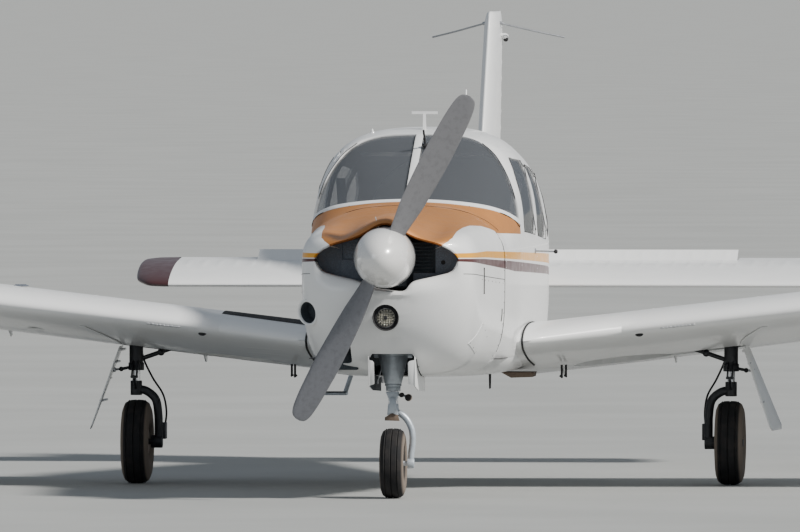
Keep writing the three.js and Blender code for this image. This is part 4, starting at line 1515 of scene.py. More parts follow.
    def inside(self) -> None:
        """Build what shows in the cowl's openings: inlet, lamp, exhaust and baffles, with near-black sheets
        as painted shade deep inside them.
        """
        start, way, long = self.along(self.inlet_start, self.inlet_end)
        collar = [(0.056, -0.03), (0.056, long - 0.004), (0.06, long), (0.066, long), (0.069, long - 0.005),
                  (0.069, -0.03), (0.056, -0.03)]
        collar = Shape().turned(collar, start, way, 48).outward()
        collar.finish("inlet_collar", Finish.WHITE, Slot.WHITE, sharp=50)
        # painted shade: a near-black liner inside the inlet collar stands for the shade deep in the duct
        shade_liner = [(0.0, 0.018), (0.05, 0.02), (0.0548, 0.03), (0.0552, long - 0.012), (0.0564, long - 0.01),
                (0.0564, 0.008), (0.0, 0.006), (0.0, 0.018)]
        Shape().turned(shade_liner, start, way).outward().finish("inlet_painted_shade_liner", Finish.SHADOW, Slot.TRIM)
        lamp, out = Vector((0, aft(0.392), self.light_height)), Vector((0, -1, 0))
        radius = self.light_radius
        face = radius * 0.74
        lens = [(0.0, -0.004), (face * 0.36, -0.005), (face * 0.4, -0.008), (face * 0.44, -0.005),
                (face * 0.64, -0.006), (face * 0.68, -0.009), (face * 0.72, -0.006), (face * 0.96, -0.008),
                (face, -0.012), (0.0, -0.016), (0.0, -0.004)]
        Shape().turned(lens, lamp, out).outward().finish(
            "landing_lamp_lens", Finish.LENS, Slot.GLASS, ["landing_light"])
        ribs = Shape()
        for k in range(16):
            turn = Matrix.Rotation(math.tau * k / 16, 4, "Y")
            spot = lamp + out * -0.006 + turn @ Vector((0, 0, face * 0.84))
            ribs.block(spot, (0.0022, 0.002, face * 0.1), turn)
        ribs.box(lamp + Vector((-0.008, 0.001, -0.008)), lamp + Vector((0.008, 0.007, 0.008)))
        ribs.finish("landing_lamp_ribs", Finish.TRIM, Slot.TRIM, bevel=0.0005)
        bowl = [(0.012, -0.045), (radius * 0.6, -0.03), (face, -0.017), (face * 1.03, -0.017),
                (radius * 0.65, -0.036), (0.012, -0.05), (0.012, -0.045)]
        Shape().turned(bowl, lamp, out).outward().finish(
            "landing_lamp_bowl", Finish.CHROME, Slot.STEEL)
        rim = [(face * 1.02, -0.02), (face * 1.02, -0.01), (radius * 0.84, -0.007),
               (radius * 0.88, -0.013), (radius * 0.96, -0.009), (radius * 1.02, 0.004),
               (radius * 1.06, -0.004), (radius * 1.04, -0.022), (face * 1.02, -0.02)]
        Shape().turned(rim, lamp, out).outward().finish(
            "landing_lamp_rim", Finish.TRIM, Slot.TRIM)
        start, way, long = self.along(self.exhaust_start, self.exhaust_end)
        bore, outside = 0.0262, 0.03
        pipe = [(bore, long), (outside, long), (outside, 0.0), (0.0, 0.0), (0.0, 0.02), (bore, 0.03),
                (bore, long)]
        Shape().turned(pipe, start, way).outward().finish(
            "exhaust_tail_pipe", Finish.EXHAUST, Slot.EXHAUST, ["exhaust_pipe"])
        # painted shade: a near-black box behind the scoop stands for the shade seen through it
        well = Shape().box((-0.345, aft(0.66), 0.665), (-0.165, aft(0.95), 0.848))
        well.finish("exhaust_shadow_box", Finish.SHADOW, Slot.TRIM, bevel=0.01)
        # painted shade: back plate, shaft box and fins are near-black to stand for the shade behind the
        # mouth
        back = Shape().box((-0.4, aft(0.55), 1.09), (0.4, aft(0.575), 1.325))
        back.box((-0.1, aft(0.5), 1.1), (0.1, aft(0.56), 1.2))
        # cooling fins beside the shaft
        for x in (0.155, 0.205):
            for k in range(8):
                rise = 0.018 * k
                back.box((x - 0.022, aft(0.535), 1.172 + rise), (x + 0.022, aft(0.556), 1.179 + rise))
        back.finish("engine_baffles", Finish.SHADOW, Slot.TRIM, bevel=0.003)
        plate = Shape().box((0.245, aft(0.525), 1.165), (0.375, aft(0.555), 1.315))
        plate.box((0.13, aft(0.53), 1.1), (0.375, aft(0.556), 1.168))
        plate.box((-0.375, aft(0.528), 1.1), (-0.235, aft(0.556), 1.318))
        plate.box((-0.24, aft(0.524), 1.1), (-0.115, aft(0.556), 1.236))
        plate.box((-0.24, aft(0.534), 1.232), (-0.115, aft(0.556), 1.345))
        plate.finish("cooling_baffle_plates", Finish.BAFFLE, Slot.ENGINE, bevel=0.002)
        knob = Shape().rod((0.285, aft(0.515), 1.222), (0.285, aft(0.53), 1.222), 0.011)
        knob.finish("baffle_grommet", Finish.SEAL, Slot.TRIM)
        gear = Shape().turned([(0.1, 0.0), (0.157, 0.0), (0.157, 0.012), (0.1, 0.012), (0.1, 0.0)],
                              (0, aft(0.345), 1.25), (0, 1, 0), 90)
        gear.outward().finish("starter_ring_gear", Finish.STEEL, Slot.STEEL, body=Body.PROPELLER)
        (left, _), (right, _) = self.nose_bay[:2]
        # painted shade: the nose bay's roof and walls are near-black to stand for the shade inside it
        bay = Shape().box((left - 0.002, aft(0.7), 0.775), (right + 0.002, aft(1.24), 0.79))
        for x in (left - 0.006, right):
            bay.box((x, aft(0.64), 0.68), (x + 0.006, aft(1.23), 0.79))
        bay.box((left, aft(1.232), 0.64), (right, aft(1.238), 0.79))
        bay.finish("nose_bay_shadow_walls", Finish.SHADOW, Slot.TRIM)

    def fastened(self) -> None:
        """Add the cowl's latches, slots, access panel, screws and seams."""
        screws, seams = Rivets(0.0042), Shape()
        for name, side in SIDES:
            flank = BodySkin.side(side)
            screws.row(flank, (1.478, 0.72), (1.478, 1.33), 0.055, flip=side < 0)
            screws.row(flank, (0.72, 1.13), (1.44, 1.098), 0.12, flip=side < 0)
            along_seam = [(s, self.seam(s)) for s in (*even(0.376, 0.5, 8), *even(0.55, 1.49, 10))]
            upright = [(self.firewall, z) for z in even(0.74, 1.36, 10)]
            for line, radius in ((along_seam, 0.0013), (upright, 0.0017)):
                lifted = [flank(s, z) + facing(flank, s, z) * (side * 0.0007) for s, z in line]
                seams.tube(lifted, radius, 6)
            latch = [flank(0.79, z) + Vector((side * 0.002, 0, 0)) for z in (1.185, 1.145, 1.1, 1.059)]
            seams.tube(latch, 0.0028, 8)
            for end in (latch[0], latch[-1]):
                seams.ball(end, 0.006, (0.6, 1, 1), 12)
            slot = Shape().grid(even(0.0, 0.022, 2), even(0.0, 0.066, 4), lambda a, b: flank(
                1.405 + a + 0.008 * math.sin(b * 40), 0.9 + b) + Vector((side * 0.0012, 0, 0)))
            if side < 0:
                bmesh.ops.reverse_faces(slot.mesh, faces=slot.mesh.faces)
            slot.finish(f"cowl_slot_{name}", Finish.TRIM, Slot.TRIM, thick=0.001)
        (s0, z0), (s1, z1), (s2, z2), (s3, z3) = self.access
        flank = BodySkin.side(1)

        def patch(u: float, v: float) -> Vector:
            """Return a point of the access panel.

            Args:
                u: Its place from front to back.
                v: Its place from foot to top.

            Returns:
                The point.
            """
            station = (s0 * (1 - u) + s1 * u) * (1 - v) + (s3 * (1 - u) + s2 * u) * v
            height = (z0 * (1 - u) + z1 * u) * (1 - v) + (z3 * (1 - u) + z2 * u) * v
            point = flank(station, height)
            return point + facing(flank, station, height) * 0.0016

        panel = Shape().grid(even(0, 1, 8), even(0, 1, 8), patch).outward()
        panel.finish("cowl_access_panel", Finish.WHITE, Slot.WHITE, thick=0.0015)
        for u, v in ((0.06, 0.06), (0.94, 0.06), (0.94, 0.94), (0.06, 0.94), (0.5, 0.05), (0.5, 0.95)):
            screws.add(patch(u, v), facing(patch, u, v))
        # width and station of the scuttle's front edge
        arc = [(0.0, 1.57), (0.124, 1.578), (0.246, 1.602), (0.321, 1.65), (0.4, 1.69), (0.45, 1.7),
               (0.471, 1.706)]
        for side in (1, -1):
            seams.tube([BodySkin.over(s, side * x) + Vector((0, 0, 0.0005)) for x, s in arc], 0.0016, 6)
        seams.outward().finish("cowl_seams_and_latches", Finish.SEAL, Slot.TRIM)
        screws.finish("cowl_screws", Finish.TRIM, Slot.TRIM)


@dataclass
class Cabin:
    """The cabin's skins, split as the real panels are, its doors and the glazing."""

    wall: float = 0.01
    lining: float = 0.008
    glass: float = 0.004
    strip: float = 0.026
    post: float = 0.0225
    floor_height: float = 0.7
    screen_base: tuple = ((1.7, 1.515), (1.77, 1.492), (1.9, 1.455), (2.05, 1.415), (2.18, 1.389))
    screen_aft: tuple = ((2.226, 1.59), (2.318, 1.74), (2.382, 1.812), (2.44, 1.861))
    roof_line: tuple = (
        (1.4, 1.69), (2.255, 1.69), (2.285, 1.74), (2.335, 1.745), (2.378, 1.786),
        (2.44, 1.778), (3.7, 1.745), (4.6, 1.625),
    )
    windows: dict = field(default_factory=lambda: {
        "front": (((2.33, 1.352), (2.925, 1.327), (2.94, 1.716), (2.443, 1.738), (2.342, 1.625)), 0.05),
        "rear": (((3.055, 1.32), (3.64, 1.29), (3.64, 1.668), (3.065, 1.696)), 0.07),
        "aft": (((3.76, 1.3), (4.23, 1.345), (4.15, 1.545), (3.77, 1.67)), 0.055),
    })
    door: tuple = (
        (2.268, 0.952), (3.01, 0.95), (3.01, 1.754), (2.392, 1.768), (2.355, 1.735), (2.27, 1.6),
    )
    baggage: tuple = ((4.03, 0.95), (4.41, 0.955), (4.4, 1.275), (4.03, 1.28))
    door_gap: float = 0.006

    @staticmethod
    def placed(outline: Outline) -> list[tuple[float, float]]:
        """Return an outline of stations and heights as Y and Z places."""
        return [(aft(s), z) for s, z in outline]

    def screen(self, inset: float = 0.0) -> list[tuple[float, float]]:
        """Return the windscreen opening's outline, or the glass's inside its strip."""
        base = [(s, z + inset) for s, z in self.screen_base]
        return self.placed([*base, *self.screen_aft, (2.44, 2.1), (1.55, 2.1), (1.55, 1.56)])

    def scuttle(self) -> list[tuple[float, float]]:
        """Return the outline of the scuttle ahead of the windscreen."""
        base = [(1.48, 1.358), (2.184, 1.341), (2.184, 1.389)]
        return self.placed([*base, *self.screen_base[3::-1], (1.69, 1.62), (1.48, 1.62)])

    def roof(self) -> list[tuple[float, float]]:
        """Return the outline of all that lies over the roof's seam."""
        return self.placed([*self.roof_line, (4.6, 2.2), (1.4, 2.2)])

    def build(self) -> None:
        """Build the cabin's skins, doors and glass."""
        stations = even(1.502, 4.498, 84)
        whole = BodySkin.shape(stations, 30)
        screen, glass = self.screen(), self.screen(self.strip)
        panes = {
            name: rounded(self.placed(corners), round_by)
            for name, (corners, round_by) in self.windows.items()
        }
        door_hole = rounded(self.placed(grown(self.door, self.door_gap)), 0.04)
        door = rounded(self.placed(self.door), 0.036)
        hatch_hole = rounded(self.placed(grown(self.baggage, self.door_gap)), 0.04)
        hatch = rounded(self.placed(self.baggage), 0.036)
        level = self.floor_height
        floor = self.placed([(1.4, level), (4.6, level), (4.6, 0.2), (1.4, 0.2)])
        whole.cut(floor, (1, 2), near=0.06)
        whole.cut(screen, (1, 2), lambda p: p.z > 1.3, 0.06)
        whole.cut(glass, (1, 2), lambda p: p.z > 1.3, 0.06)
        scuttle, roof = self.scuttle(), self.roof()
        whole.cut(scuttle, (1, 2), lambda p: 1.2 < p.z < 1.6, 0.06)
        for x in (self.post, -self.post):
            whole.cut([(x, aft(1.4)), (x, aft(2.5)), (x * 9, aft(2.5)), (x * 9, aft(1.4))], (0, 1),
                      lambda p: p.z > 1.5 and p.y < aft(2.46) and abs(p.x) < 0.1, 0.06)
        for outline in panes.values():
            whole.cut(outline, (1, 2), lambda p: p.z > 1.3 and abs(p.x) > 0.3, 0.05)
        for outline in (door_hole, door, hatch_hole, hatch):
            whole.cut(outline, (1, 2), lambda p: p.x < -0.25, 0.05)
        whole.cut(roof, (1, 2), lambda p: p.z > 1.55, 0.06)

        def kind(p: Vector) -> str:
            """Tell which panel holds a point of the cabin's skin.

            Args:
                p: The point.

            Returns:
                The panel's name.
            """
            if p.z < self.floor_height:
                return "belly"
            if within(screen, p.y, p.z):
                if abs(p.x) < self.post:
                    return "roof"
                if within(glass, p.y, p.z):
                    return "windscreen_left" if p.x > 0 else "windscreen_right"
                return "strip"
            side = "left" if p.x > 0 else "right"
            if abs(p.x) > 0.3:
                for name, outline in panes.items():
                    if within(outline, p.y, p.z):
                        return f"window_{side}_{name}"
            if p.x < -0.25:
                if within(door, p.y, p.z):
                    return "cabin_door"
                if within(hatch, p.y, p.z):
                    return "baggage_door"
                if within(door_hole, p.y, p.z) or within(hatch_hole, p.y, p.z):
                    return "gap"
            if within(scuttle, p.y, p.z):
                return "scuttle"
            return "roof" if within(roof, p.y, p.z) else f"side_{side}"

        layer = whole.mesh.faces.layers.int.new("panel")
        names: list[str] = []
        for face in whole.mesh.faces:
            name = kind(face.calc_center_median())
            if name not in names:
                names.append(name)
            face[layer] = names.index(name)
        for number, name in enumerate(names):
            if name == "gap":
                continue
            part = Shape()
            part.mesh = whole.mesh.copy()
            own = part.mesh.faces.layers.int["panel"]
            gone = [face for face in part.mesh.faces if face[own] != number]
            bmesh.ops.delete(part.mesh, geom=gone, context="FACES")
            self.dress(name, part)
        whole.mesh.free()

    def dress(self, name: str, part: Shape) -> None:
        """Finish one panel or pane of the cabin.

        Args:
            name: The panel's name, which is its node's but for the door's window.
            part: The panel's faces.
        """
        if name.startswith("win"):
            node = "cabin_door_window" if name == "window_right_front" else name
            body = Body.DOOR if name == "window_right_front" else Body.AIRFRAME
            part.swelled(-0.006)
            part.finish(f"{node}_glass", Finish.GLASS, Slot.GLASS, [node], self.glass, body=body)
        elif name == "strip":
            part.swelled(0.002)
            part.finish("windscreen_base_strip", Finish.WHITE, Slot.WHITE, (), 0.012, 0.001)
        else:
            finish = {"scuttle": Finish.COPPER, "belly": Finish.WHITE, "roof": Finish.WHITE}.get(
                name, Finish.STRIPED)
            body = {"cabin_door": Body.DOOR, "baggage_door": Body.BAGGAGE}.get(name, Body.AIRFRAME)
            slot = Slot.COPPER if name == "scuttle" else Slot.WHITE
            if name in ("roof", "side_left", "side_right", "cabin_door"):
                lining = Shape()
                lining.mesh = part.mesh.copy()
                lining.swelled(-self.wall - 0.0005)
                lining.finish(f"{name}_lining", Finish.LINING, Slot.CLOTH, (), self.lining,
                              even_wall=False, body=body)
            part.finish(f"{name}_skin", finish, slot, [name], self.wall, 0.0012, body=body)


@dataclass
class TailCone:
    """The tail cone's skin with its lap joints."""

    start: float = 4.502
    end: float = 7.08
    frames: tuple = (4.97, 5.48, 5.98, 6.48)

    def build(self, rivets: Rivets) -> None:
        """Build the skin and set its rivets.

        Args:
            rivets: The rivets of the skin.
        """
        skin = BodySkin.shape(even(self.start, self.end, 60), 22)
        rims = [edge for edge in skin.mesh.edges if edge.is_boundary and
                sum(v.co.y for v in edge.verts) / 2 > aft(self.end - 0.01)]
        bmesh.ops.holes_fill(skin.mesh, edges=rims, sides=0)
        skin.finish("tail_cone_skin", Finish.STRIPED, Slot.WHITE, ["tail_cone"], 0.012, 0.001)
        for station in (self.start + 0.018, *self.frames):
            rivets.row(BodySkin.point, (station, -1.2), (station, 4.34), 0.032, flip=True)
        for _, side in SIDES:
            for start, end in ((0.93, 1.06), (1.4, 1.18)):
                rivets.row(BodySkin.side(side), (4.52, start), (6.9, end), 0.034, flip=side < 0)


# Wings


class WingSkin:
    """The wing's outer surface: chord shares and spans to points."""

    GLOVE_END, TIP_RIB = 1.06, 4.65
    CHORD, THICKNESS = 1.6, 0.141
    LEADING_STATION, LEADING_HEIGHT, LEADING_AT = 2.4, 0.787, 0.6
    GLOVE_DEPTH, DIHEDRAL = 0.36, 0.113
    INCIDENCE = (7.3, 5.0)
    HINGE = 0.825
    FLAP, AILERON = (0.64, 2.35), (2.385, 4.56)
    LIFT = 0.0012

    @staticmethod
    def fullness(share: float) -> float:
        """Return a section's thickness at a share of its chord, over its greatest.

        Args:
            share: The share of the chord.

        Returns:
            The thickness, from 0 to 1.
        """
        if share < 0.4:
            return math.sqrt(max(0.0, 1 - (1 - share / 0.4) ** 2.2))
        back = (share - 0.4) / 0.6
        return 1 - 1.6 * back**2 + 0.62 * back**3

    @classmethod
    def section(cls, x: float, share: float, way: float) -> Vector:
        """Return the point on the left wing's section at a span, as (x, y, z).

        Args:
            x: The span.
            share: The share of the chord.
            way: The level in the section, from -1 below to 1 above.

        Returns:
            The point.
        """
        washed = clamp((x - cls.GLOVE_END) / (cls.TIP_RIB - cls.GLOVE_END), 0, 1.1)
        angle = math.radians(cls.INCIDENCE[0] + (cls.INCIDENCE[1] - cls.INCIDENCE[0]) * washed)
        glove = cls.GLOVE_DEPTH * clamp((cls.GLOVE_END - x) / (cls.GLOVE_END - cls.LEADING_AT))
        bend = 0.0
        if 0 < share < 1:
            bend = -((1 - share) * math.log(1 - share) + share * math.log(share)) / math.pi
        height = 0.1 * bend + way * cls.fullness(share) * cls.THICKNESS / 2
        along = share * math.cos(angle) + height * math.sin(angle)
        up = height * math.cos(angle) - share * math.sin(angle)
        station = cls.LEADING_STATION + cls.CHORD * along - glove * max(0.0, 1 - share / 0.35)
        root = cls.LEADING_HEIGHT + cls.DIHEDRAL * (x - cls.LEADING_AT)
        return Vector((x, aft(station), root + cls.CHORD * up))

    @classmethod
    def point(cls, x: float, t: float, lift: float | None = None) -> Vector:
        """Return the skin's point: t runs from -1 under the trailing edge to 1 over it.

        Args:
            x: The span.
            t: The place round the section.
            lift: How far the point stands off the solid.

        Returns:
            The point.
        """
        share, way = min(abs(t), 1.0), 1.0 if t >= 0 else -1.0
        point = cls.section(x, share, way)
        step = 0.004
        before = cls.section(x, *cls.split(t - step))
        after = cls.section(x, *cls.split(t + step))
        slope = after - before
        normal = Vector((0, -slope.z, slope.y)).normalized()
        return point + normal * (cls.LIFT if lift is None else lift)

    @classmethod
    def squared(cls, x: float, t: float, span: tuple[float, float], level: float) -> Vector:
        """Return the skin's point with the span's ends square to a hinge line.

        Args:
            x: The span at the hinge's height.
            t: The place round the section.
            span: The spans between which the hinge line runs.
            level: The line's height in the section, from -1 below to 1 above.

        Returns:
            The point, moved along the span by its height over the line.
        """
        line = [(cls.section(end, cls.HINGE, -1).lerp(cls.section(end, cls.HINGE, 1), (level + 1) / 2)).z
                for end in span]
        slope = (line[1] - line[0]) / (span[1] - span[0])
        rise = cls.point(x, t).z - (line[0] + slope * (x - span[0]))
        return cls.point(x - slope * rise / (1 + slope * slope), t)

    @staticmethod
    def split(t: float) -> tuple[float, float]:
        """Return the chord share and side of a place round the section."""
        t = clamp(t, -1.0, 1.0)
        return abs(t), 1.0 if t >= 0 else -1.0

    @staticmethod
    def spaced(start: float, end: float, count: int) -> list[float]:
        """Return places round the section, closer together at its nose."""
        roots = (math.copysign(math.sqrt(abs(t)), t) for t in (start, end))
        return [math.copysign(r * r, r) for r in even(*roots, count)]


@dataclass
class Wing:
    """One wing: its skins, tip, control surfaces' skins and what is fastened to it."""

    name: str
    side: float
    sheet: float = 0.0012

    def at(self, x: float, t: float) -> Vector:
        """Return the skin's point on this side."""
        point = WingSkin.point(x, t)
        return Vector((point.x * self.side, point.y, point.z))

    def build(self, rivets: Rivets) -> None:
        """Build the wing's pieces.

        Args:
            rivets: The rivets of the skin.
        """
        skin = WingSkin
        ts = sorted({*skin.spaced(-1.0, 1.0, 56), -skin.HINGE, skin.HINGE})
        spans = sorted({*even(0.47, skin.GLOVE_END, 8), *even(skin.GLOVE_END, skin.TIP_RIB - 0.001, 40)})
        cut_outs = []
        for low, high in (skin.FLAP, skin.AILERON):
            outline = []
            for x in (low - 0.003, high + 0.003):
                edge = skin.section(x, skin.HINGE, -1 if low < 1 else 1).y
                outline.append((x, edge - (0.062 if low < 1 else 0.042)))
            outline += [(high + 0.003, aft(4.4)), (low - 0.003, aft(4.4))]
            cut_outs.append(outline)
        well = [(1.01 + 0.262 * math.cos(a), aft(3.2) + 0.262 * math.sin(a))
                for a in (math.tau * k / 32 for k in range(32))]
        slot = [(1.2, aft(3.115)), (1.655, aft(3.115)), (1.655, aft(3.285)), (1.2, aft(3.285))]
        flap_upper = [*cut_outs[0]]
        flap_upper[0] = (flap_upper[0][0], skin.section(0.64, skin.HINGE, 1).y + 0.012)
        flap_upper[1] = (flap_upper[1][0], skin.section(2.35, skin.HINGE, 1).y + 0.012)

        def keep(p: Vector) -> bool:
            """Leave out the cut-outs, the wells and what lies inside the body.

            Args:
                p: A face's middle.

            Returns:
                Whether the face stays.
            """
            x = p.x
            under = p.z < skin.section(x, clamp((p.y - aft(2.4)) / 1.6, 0.01, 0.99), 0).z
            if within(cut_outs[1], x, p.y) or within(cut_outs[0] if under else flap_upper, x, p.y):
                return False
            return not (under and (within(well, x, p.y) or within(slot, x, p.y)))

        shape = Shape().grid(spans, ts, skin.point)
        for outline in (*cut_outs, flap_upper, well, slot):
            shape.cut(outline, (0, 1), near=0.16)
        shape.taken(keep).mirrored(self.side).finish(
            f"wing_{self.name}_skin", Finish.WHITE, Slot.WHITE, thick=self.sheet)
        self.control("flap", skin.FLAP, skin.HINGE + 0.01, skin.HINGE + 0.02)
        self.control("aileron", skin.AILERON, skin.HINGE, skin.HINGE)
        self.tip()
        self.rivet(rivets)
        self.extras()

    def control(self, kind: str, span: tuple[float, float], low: float, high: float) -> None:
        """Build the skin of a flap or aileron: its under and upper sheets.

        Args:
            kind: Which of the two it is.
            span: The spans of its ends.
            low: The share of the chord where its under sheet starts.
            high: The share where its upper sheet starts.
        """
        body = Body(f"{self.name}_{kind}")
        inside = even(span[0] + 0.0065, span[1] - 0.0065, 24)
        shape = Shape()
        for start, end in ((-1.0, -low), (high, 1.0)):
            shape.grid(inside, even(start, end, 10), lambda x, t: WingSkin.squared(
                x, t, span, -1.0 if kind == "flap" else 0.0))
        shape.mirrored(self.side).finish(
            f"{kind}_{self.name}_skin", Finish.WHITE, Slot.WHITE, (), self.sheet, body=body)

    def tip(self) -> None:
        """Build the rounded wing tip."""
        skin = WingSkin
        middle = skin.section(skin.TIP_RIB, 0.62, 1)
        # distance out from the rib and size of the section there
        rows = Table((
            (0.0, 1.0), (0.09, 0.965), (0.18, 0.85), (0.235, 0.66), (0.255, 0.52), (0.2599, 0.42),
        ))
        outs = [*even(0.0, 0.235, 12), 0.243, 0.249, 0.254, 0.2575, 0.2594, 0.2597]

        def place(out: float, t: float) -> Vector:
            """Return a point of the tip, which closes on its middle line.

            Args:
                out: The distance out from the tip's rib.
                t: The place round the section.

            Returns:
                The point.
            """
            size = rows.at(out)[0]
            point, across = (skin.point(skin.TIP_RIB, way * t, 0.0008) for way in (1, -1))
            height = point.z if out < outs[-1] else (point.z + across.z) / 2
            return Vector((
                skin.TIP_RIB + 0.0004 + out,
                middle.y + (point.y - middle.y) * size,
                middle.z + (height - middle.z) * size + skin.DIHEDRAL * out * 0.8,
            ))

        shape = Shape().grid(outs, skin.spaced(-1.0, 1.0, 56), place).closed(1e-5)
        node = f"wing_tip_{self.name}"
        shape.outward().mirrored(self.side).finish(
            f"{node}_fairing", Finish.MAROON, Slot.MAROON, [node], sharp=50)

    def rivet(self, rivets: Rivets) -> None:
        """Set the rivet rows along spars and ribs.

        Args:
            rivets: The rivets of the skin.
        """
        skin = WingSkin
        flip = self.side < 0
        for share in (-0.72, -0.42, -0.14, 0.14, 0.42, 0.72):
            rivets.row(self.at, (skin.GLOVE_END, share), (4.62, share), 0.045, flip)
        for x in (1.2, 1.75, 2.37, 3.0, 3.6, 4.1, 4.62):
            for start, end in ((0.05, 0.8), (-0.8, -0.05)):
                rivets.row(self.at, (x, start), (x, end), 0.045, flip)

    def extras(self) -> None:
        """Add the walkway, vents, stall strips, lamps and tie-down ring."""
        skin, side = WingSkin, self.side
        if side < 0:
            walk = Shape().grid(even(0.6, 1.06, 8), even(0.1, 0.8, 24),
                                lambda x, t: skin.point(x, t, 0.003)).mirrored(side)
            walk.finish("wing_walkway", Finish.WALKWAY, Slot.TRIM, (), 0.001)
        strip = Shape()
        for k in range(9):
            x = 1.275 + 0.16 * k / 8
            strip.ball(skin.point(x, -0.004, 0.001), 0.006, (2.2, 1, 1), 8)
        strip.mirrored(side).finish(f"stall_strip_{self.name}", Finish.BRIGHT, Slot.WHITE)
        vent = Shape()
        place = skin.point(1.15, -0.02, 0.0)
        vent.ball(place, 0.022, (1.0, 0.35, 0.62), 24)
        vent.mirrored(side).finish(f"wing_vent_{self.name}", Finish.TRIM, Slot.TRIM)
        bulb = skin.section(skin.TIP_RIB, 0.12, 0) + Vector((0.12, 0.01, 0.03))
        lamp = Shape().ball(bulb, 0.035, (1.6, 1.2, 0.7), 20)
        finish = Finish.RED if side > 0 else Finish.GREEN
        lamp.mirrored(side).finish(f"navigation_lamp_{self.name}", finish, Slot.GLASS)
        self.beneath()
        ring = Shape()
        centre = Vector((2.7, aft(3.03), 0.853))
        circle = [centre + Vector((0, math.cos(a), math.sin(a))) * 0.014
                  for a in (math.tau * k / 12 for k in range(13))]
        ring.tube(circle, 0.0032, 8)
        ring.mirrored(side).finish(f"tie_down_ring_{self.name}", Finish.STEEL, Slot.STEEL)

    def beneath(self) -> None:
        """Add the access covers, filler cap, edge strip, hinge brackets and probe."""
        skin, side = WingSkin, self.side

        def facing_out(x: float, t: float) -> tuple[Vector, Vector]:
            """Return the skin's point and its outward direction."""
            point = skin.point(x, t, 0.0)
            return point, (skin.point(x, t, 0.01) - point).normalized()

        covers = Shape()
        for x, t in ((2.05, -0.26), (2.85, -0.26), (3.65, -0.26), (4.35, -0.3), (3.3, -0.62)):
            point, way = facing_out(x, t)
            covers.turned([(0.0, 0.0035), (0.062, 0.0035), (0.066, 0.001), (0.0, 0.001)], point, way, 32)
        covers.outward().mirrored(side).finish(
            f"wing_covers_{self.name}", Finish.WHITE, Slot.WHITE, sharp=50)
        point, way = facing_out(2.15, 0.24)
        cap = Shape().turned([(0.0, 0.009), (0.038, 0.008), (0.044, 0.002), (0.0, 0.001)], point, way, 32)
        top, half = point + way * 0.008, Vector((0.03, 0, 0))
        cap.rod(top - half, top + half, 0.0045)
        cap.outward().mirrored(side).finish(
            f"fuel_cap_{self.name}", Finish.CHROME, Slot.STEEL, sharp=50)
        # step along the strip, span, place round the section
        edge = Table((
            (0.0, 1.655, -0.43), (1.0, 1.668, -0.33), (2.0, 1.7, -0.22), (3.0, 1.745, -0.14),
            (4.0, 1.8, -0.075),
        ))

        def along_well(u: float, v: float) -> Vector:
            """Return a point of the pale edge strip beside the leg's well."""
            x, t = edge.at(u)
            return skin.point(x + 0.018 * v, t, 0.004)

        well_edge = Shape().grid(even(0.0, 4.0, 20), even(-1.0, 1.0, 4), along_well).mirrored(side)
        well_edge.finish(f"leg_well_edge_{self.name}", Finish.WHITE, Slot.WHITE, (), 0.003)
        brackets = Shape()
        for x in (0.66, 1.255, 2.3):
            hinge = skin.point(x, -skin.HINGE, 0.0)
            front, rear = (skin.point(x, -(skin.HINGE + gap / skin.CHORD), 0.0) for gap in (-0.15, -0.006))
            corners = [front, rear, rear - Vector((0, 0, 0.034)), hinge - Vector((0, 0.045, 0.04)),
                       front - Vector((0, 0, 0.006))]
            brackets.plate([corner - Vector((0.004, 0, 0)) for corner in corners], (0.008, 0, 0))
        brackets.outward().mirrored(side).finish(
            f"flap_brackets_{self.name}", Finish.WHITE, Slot.WHITE, bevel=0.002)
        if side > 0:
            foot = skin.point(2.62, -0.3, 0.0)
            mast = Shape().plate([foot + Vector((0, y, z)) for y, z in (
                (-0.05, 0.004), (0.06, 0.004), (0.045, -0.07), (-0.035, -0.075))], (0.012, 0, 0))
            mast.outward().finish("pitot_mast", Finish.WHITE, Slot.WHITE, bevel=0.004)


# Tail


def ribbed(value: float, start: float, end: float, pitch: float, height: float) -> float:
    """Return the rise of evenly pitched beads at a distance along a panel.

    Args:
        value: The distance.
        start: Where the beads start.
        end: Where they end.
        pitch: The distance between beads.
        height: Their height.

    Returns:
        The rise.
    """
    if not start < value < end:
        return 0.0
    count = max(1, round((end - start) / pitch))
    phase = ((value - start) / (end - start) * count) % 1.0 - 0.5
    return height * math.exp(-((phase / 0.13) ** 2))


